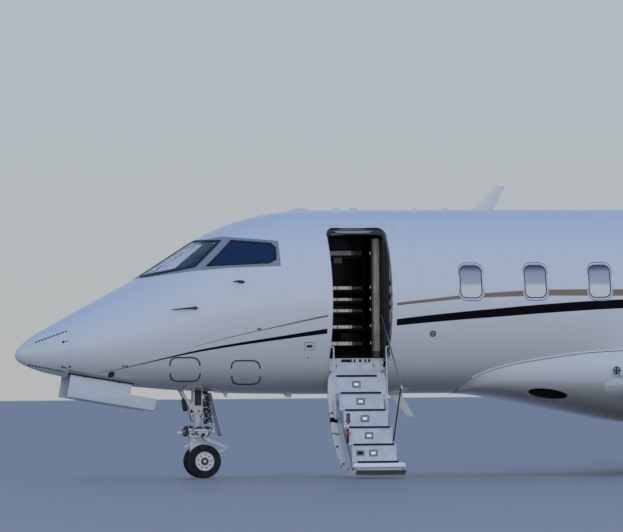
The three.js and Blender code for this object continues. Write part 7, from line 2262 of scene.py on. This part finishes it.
engine = {"y": 1.94, "z": 2.79, "blades": 18, "guideVanes": 30}
cowlOuter = [(13.26, 0.47), (13.268, 0.497), (13.3, 0.524), (13.38, 0.548), (13.52, 0.58), (14.05, 0.626),
    (14.6, 0.632), (15.1, 0.628), (15.9, 0.572), (16.4, 0.48), (16.78, 0.402)]
cowlInner = [(13.26, 0.47), (13.27, 0.452), (13.32, 0.434), (13.42, 0.4255), (13.6, 0.425), (13.9, 0.44),
    (14.15, 0.4552), (15.1, 0.4552), (15.9, 0.425), (16.78, 0.382)]
pylon = {"front": 14.05, "rear": 16.25, "bottom": 2.73, "top": 2.85}


def spun(name, profile, grow=0.0, sides=96, y=None):
    first = profile[0][0]
    return turned(name, [(s - first, r + grow) for s, r in profile], place(first, engine["y"] if y is None else y,
        engine["z"]), (-1, 0, 0), sides)


def alongProfile(key, stations):
    xs, rs = np.array([k[0] for k in key]), np.array([k[1] for k in key])
    return [(float(s), float(r)) for s, r in zip(stations, monotone(xs, rs, np.asarray(stations)))]


def bladeTree():  # turns copies of a blade round the x axis
    tree, given = nodeTree("bladeRing", (("Count", "Int"),))
    points = addNode(tree, "GeometryNodePoints", {"Count": given["Count"]}).outputs["Points"]
    index = addNode(tree, "GeometryNodeInputIndex").outputs["Index"]
    angle = mathNode(tree, "MULTIPLY", mathNode(tree, "DIVIDE", index, given["Count"]), 2 * pi)
    angles = addNode(tree, "ShaderNodeCombineXYZ", {"X": angle})
    turn = addNode(tree, "FunctionNodeEulerToRotation", {"Euler": angles.outputs["Vector"]})
    return instanced(tree, given, points, given["Geometry"], turn.outputs["Rotation"])


bladeGroup = bladeTree()


# ring of blades; sections are (radius, chord, thickness, pitch, sweep) along one blade
def bladeRing(name, sections, count, mat):
    rings = []
    for radius, chord, thick, pitch, sweep in sections:
        ring = []
        for a in circleAngles(28):
            u, v = chord / 2 * cos(a), thick / 2 * sin(a) * (1 - 0.35 * cos(a))
            v += 0.05 * chord * (1 - cos(a) ** 2)
            ring.append(Vector((-sweep + u * cos(pitch) - v * sin(pitch), u * sin(pitch) + v * cos(pitch), radius)))
        rings.append(ring)
    return throughNodes(loft(name, rings), bladeGroup, Count=count, Finish=materials[mat])


def buildCowl():
    outer = alongProfile(cowlOuter, np.concatenate(([13.3485], np.linspace(13.4, 16.7, 60), [16.78])))
    inner = alongProfile(cowlInner, np.concatenate((np.linspace(16.78, 13.42, 50), [13.3485])))
    profile = outer + inner
    cowl = spun("cowl", profile + [profile[0]])
    rings = []
    for t in np.linspace(0, 1, 14):
        y = 0.8 + 1.14 * t
        front, rear = pylon["front"] + 0.15 * t, pylon["rear"] - 0.1 + 0.1 * t
        ring = []
        for a in circleAngles(56):
            c = cos(a)
            flat = copysign(min(abs(sin(a)) * 1.6, 1.0), sin(a))
            ring.append(place((front + rear) / 2 - (rear - front) / 2 * c, y,
                (pylon["bottom"] + pylon["top"]) / 2 + (pylon["top"] - pylon["bottom"]) / 2 * flat))
        rings.append(ring)
    arm = loft("pylonArm", rings)
    inside = spun("pylonRoom", [(13.0, 0), (13.0, 0.5), (17.0, 0.5), (17.0, 0)], 0, 64)
    carve(arm, [inside, hullGrid("hullRoom", 12.9, 18.5, 0.0004, None, 0.1, 128)])
    carve(cowl, [arm], "UNION")
    return cowl


def buildEngines():
    addPair(buildCowl(), "paint", "nacelle", 24)
    lipOut = alongProfile(cowlOuter, [13.26, 13.2615, 13.265, 13.272, 13.282, 13.296, 13.315, 13.3455])
    lipIn = alongProfile(cowlInner, [13.3455, 13.33, 13.31, 13.295, 13.282, 13.272, 13.265, 13.2615])
    addPair(spun("cowlLip", lipOut + lipIn + [lipOut[0]]), "polished", sharp=60)
    seams = []
    for station in (14.02, 14.95, 15.86, 16.45):
        (_, r), = alongProfile(cowlOuter, [station])
        seams.append(spun("seam", [(station - 0.002, r - 0.003), (station - 0.002, r + 0.0006),
            (station + 0.002, r + 0.0006), (station + 0.002, r - 0.003), (station - 0.002, r - 0.003)], 0, 96))
    whole = joinAll("cowlSeams", seams)
    addPair(whole, "groove", sharp=40)
    liner = alongProfile(cowlInner, np.linspace(13.47, 14.1, 14))
    lining = [(s, r - 0.0015) for s, r in liner] + [(s, r - 0.004) for s, r in reversed(liner)]
    addPair(spun("inletLiner", lining + [lining[0]]), "liner", sharp=40)
    spinner = alongProfile([(13.83, 0), (13.85, 0.03), (13.98, 0.092), (14.18, 0.142), (14.3, 0.145),
        (14.3996, 0.145)], np.concatenate((13.83 + 0.35 * np.linspace(0, 1, 26) ** 1.8, [14.25, 14.3, 14.3996])))
    addPair(spun("spinner", spinner + [(14.3996, 0)]), "spinner", "fan", 40, body="fan_rotor")
    swirl = []
    for k in range(26):
        t = k / 25
        angle, station = 2.6 * t, 13.868 + 0.26 * t
        (_, r), = alongProfile([(13.83, 0), (13.85, 0.03), (13.98, 0.092), (14.18, 0.142), (14.3, 0.145)],
            [station])
        swirl.append(place(station, engine["y"] + r * cos(angle), engine["z"] + r * sin(angle)))
    addPair(tube("spinnerSwirl", swirl, 0.0045, 10), "paint", sharp=60, body="fan_rotor")
    sections = []
    for t in np.linspace(0, 1, 12):
        sections.append((0.135 + 0.3035 * t, 0.118 + 0.045 * t, 0.013 - 0.007 * t, 0.45 + 0.62 * t,
            0.015 * sin(3 * t)))

    def fanBlades():
        ring = bladeRing("fanBlades", sections, engine["blades"], "fanMetal")
        return moved(ring, Matrix.Translation(place(14.24, engine["y"], engine["z"])))

    addPair(fanBlades(), "fanMetal", sharp=30, body="fan_rotor")
    vanes = [(0.15 + 0.3 * t, 0.055, 0.005, -0.28, 0) for t in (0, 0.5, 1)]

    def guideVanes():
        ring = bladeRing("guideVanes", vanes, engine["guideVanes"], "darkMetal")
        return moved(ring, Matrix.Translation(place(14.425, engine["y"], engine["z"])))

    addPair(guideVanes(), "darkMetal", sharp=30)
    core = [(14.402, 0), (14.402, 0.148), (14.455, 0.15), (14.455, 0.4546), (14.65, 0.4546), (14.66, 0.33),
        (15.0, 0.326), (15.5, 0.308), (15.9, 0.29), (16.2, 0.235), (16.5, 0.165), (16.8, 0.085), (16.97, 0.03),
        (17.01, 0.01), (17.01, 0)]
    addPair(spun("engineCore", core), "steel", "engine", 25)
    nozzle = [(16.62, 0.4415), (16.79, 0.4005), (16.81, 0.396), (16.81, 0.388), (16.62, 0.392), (16.62, 0.4415)]
    addPair(spun("nozzleRing", [(s, r + 0.0012) for s, r in nozzle]), "steel", sharp=30)
    bolts = []
    for station in (13.362, 14.0, 16.6):
        (_, r), = alongProfile(cowlOuter, [station])
        for k in range(72):
            a = 2 * pi * k / 72
            out = Vector((0, cos(a), sin(a)))
            bolts.append((place(station, engine["y"], engine["z"]) + out * (r + 0.0002), out))
    made = heads("cowlRivets", bolts, 0.0035, 0.0008, "screw", 6)
    addPair(made, "screw")


print("engine functions ready")

# Build all pieces

for step in (buildRadome, buildForward, buildCentre, buildAft, buildTailExhaust, buildCockpitGlass, frameRivets,
        buildCabinWindows, buildPanels, buildPorts, buildProbes, buildAntennas, buildSkinScrews):
    step()
print("hull made")
for step in (buildDoorway, buildEntry, buildGalley, buildCabin, buildSteps, buildDoor, buildStays, buildRail):
    step()
print("doorway and cabin made")
for step in (buildNoseWheels, buildNoseFork, buildNoseLeg, buildNoseDoors, buildMainGear):
    step()
print("gear made")
for step in (buildWings, buildTail, buildFairing, buildEngines):
    step()
print("wings, tail and engines made")

# Floor, light and camera

stageLook = {
    "floor": 400.0, "sky": 1.0,
    "steps": [(0.0, (0.474, 0.485, 0.479)), (0.06, (0.445, 0.497, 0.539)), (0.3, (0.36, 0.45, 0.6)),
              (1.0, (0.165, 0.31, 0.64))],  # sky tint by height
}


def buildFloor():
    half = stageLook["floor"]
    floor = makeObject("floor", [(-half, -half, -0.002), (half, -half, -0.002), (half, half, -0.002),
        (-half, half, -0.002)], [(0, 1, 2, 3)])
    floor.data.materials.append(materials["floor"])


def buildWorld():
    world = bpy.data.worlds.new("softSky")
    world.use_nodes = True
    bpy.context.scene.world = world
    tree = world.node_tree
    sky = tree.nodes["Background"].inputs
    height = partsOf(tree, addNode(tree, "ShaderNodeTexCoord").outputs["Generated"])["Z"]
    tree.links.new(rampOf(tree, height, stageLook["steps"]), sky["Color"])
    sky["Strength"].default_value = stageLook["sky"]


def areaLight(name, spot, target, size, power, tint):
    data = bpy.data.lights.new(name, "AREA")
    data.shape = "RECTANGLE"
    data.size, data.size_y = size
    data.energy = power
    data.color = tint
    obj = bpy.data.objects.new(name, data)
    obj.location = spot
    obj.rotation_euler = (Vector(target) - Vector(spot)).to_track_quat("-Z", "Y").to_euler()
    bpy.context.scene.collection.objects.link(obj)
    return obj


def buildCamera():
    data = bpy.data.cameras.new("camera")
    data.sensor_width = 36
    data.lens = cameraPlace["lens"]
    data.clip_end = 900
    obj = bpy.data.objects.new("camera", data)
    azimuth, pitch, roll = (radians(cameraPlace[k]) for k in ("azimuth", "pitch", "roll"))
    forward = Vector((-sin(azimuth) * cos(pitch), -cos(azimuth) * cos(pitch), sin(pitch)))
    right = Vector((-cos(azimuth), sin(azimuth), 0))
    up = right.cross(forward)
    turnedRight = right * cos(roll) - up * sin(roll)
    turnedUp = up * cos(roll) + right * sin(roll)
    obj.matrix_world = Matrix(((turnedRight.x, turnedUp.x, -forward.x, cameraPlace["spot"][0]),
        (turnedRight.y, turnedUp.y, -forward.y, cameraPlace["spot"][1]), (turnedRight.z, turnedUp.z, -forward.z,
        cameraPlace["spot"][2]), (0, 0, 0, 1)))
    bpy.context.scene.collection.objects.link(obj)
    bpy.context.scene.camera = obj


cameraPlace = {"spot": (23.737, 78.467, 1.27), "lens": 342.5, "azimuth": 12.5, "pitch": 1.131, "roll": 0.45}
buildFloor()
buildWorld()
areaLight("keySky", (16, 110, 18), (4, 0, 2), (60, 30), 31000, (1.0, 0.98, 0.95)).visible_glossy = False
buildCamera()
bpy.context.scene.view_settings.view_transform = "Standard"
print("stage made")
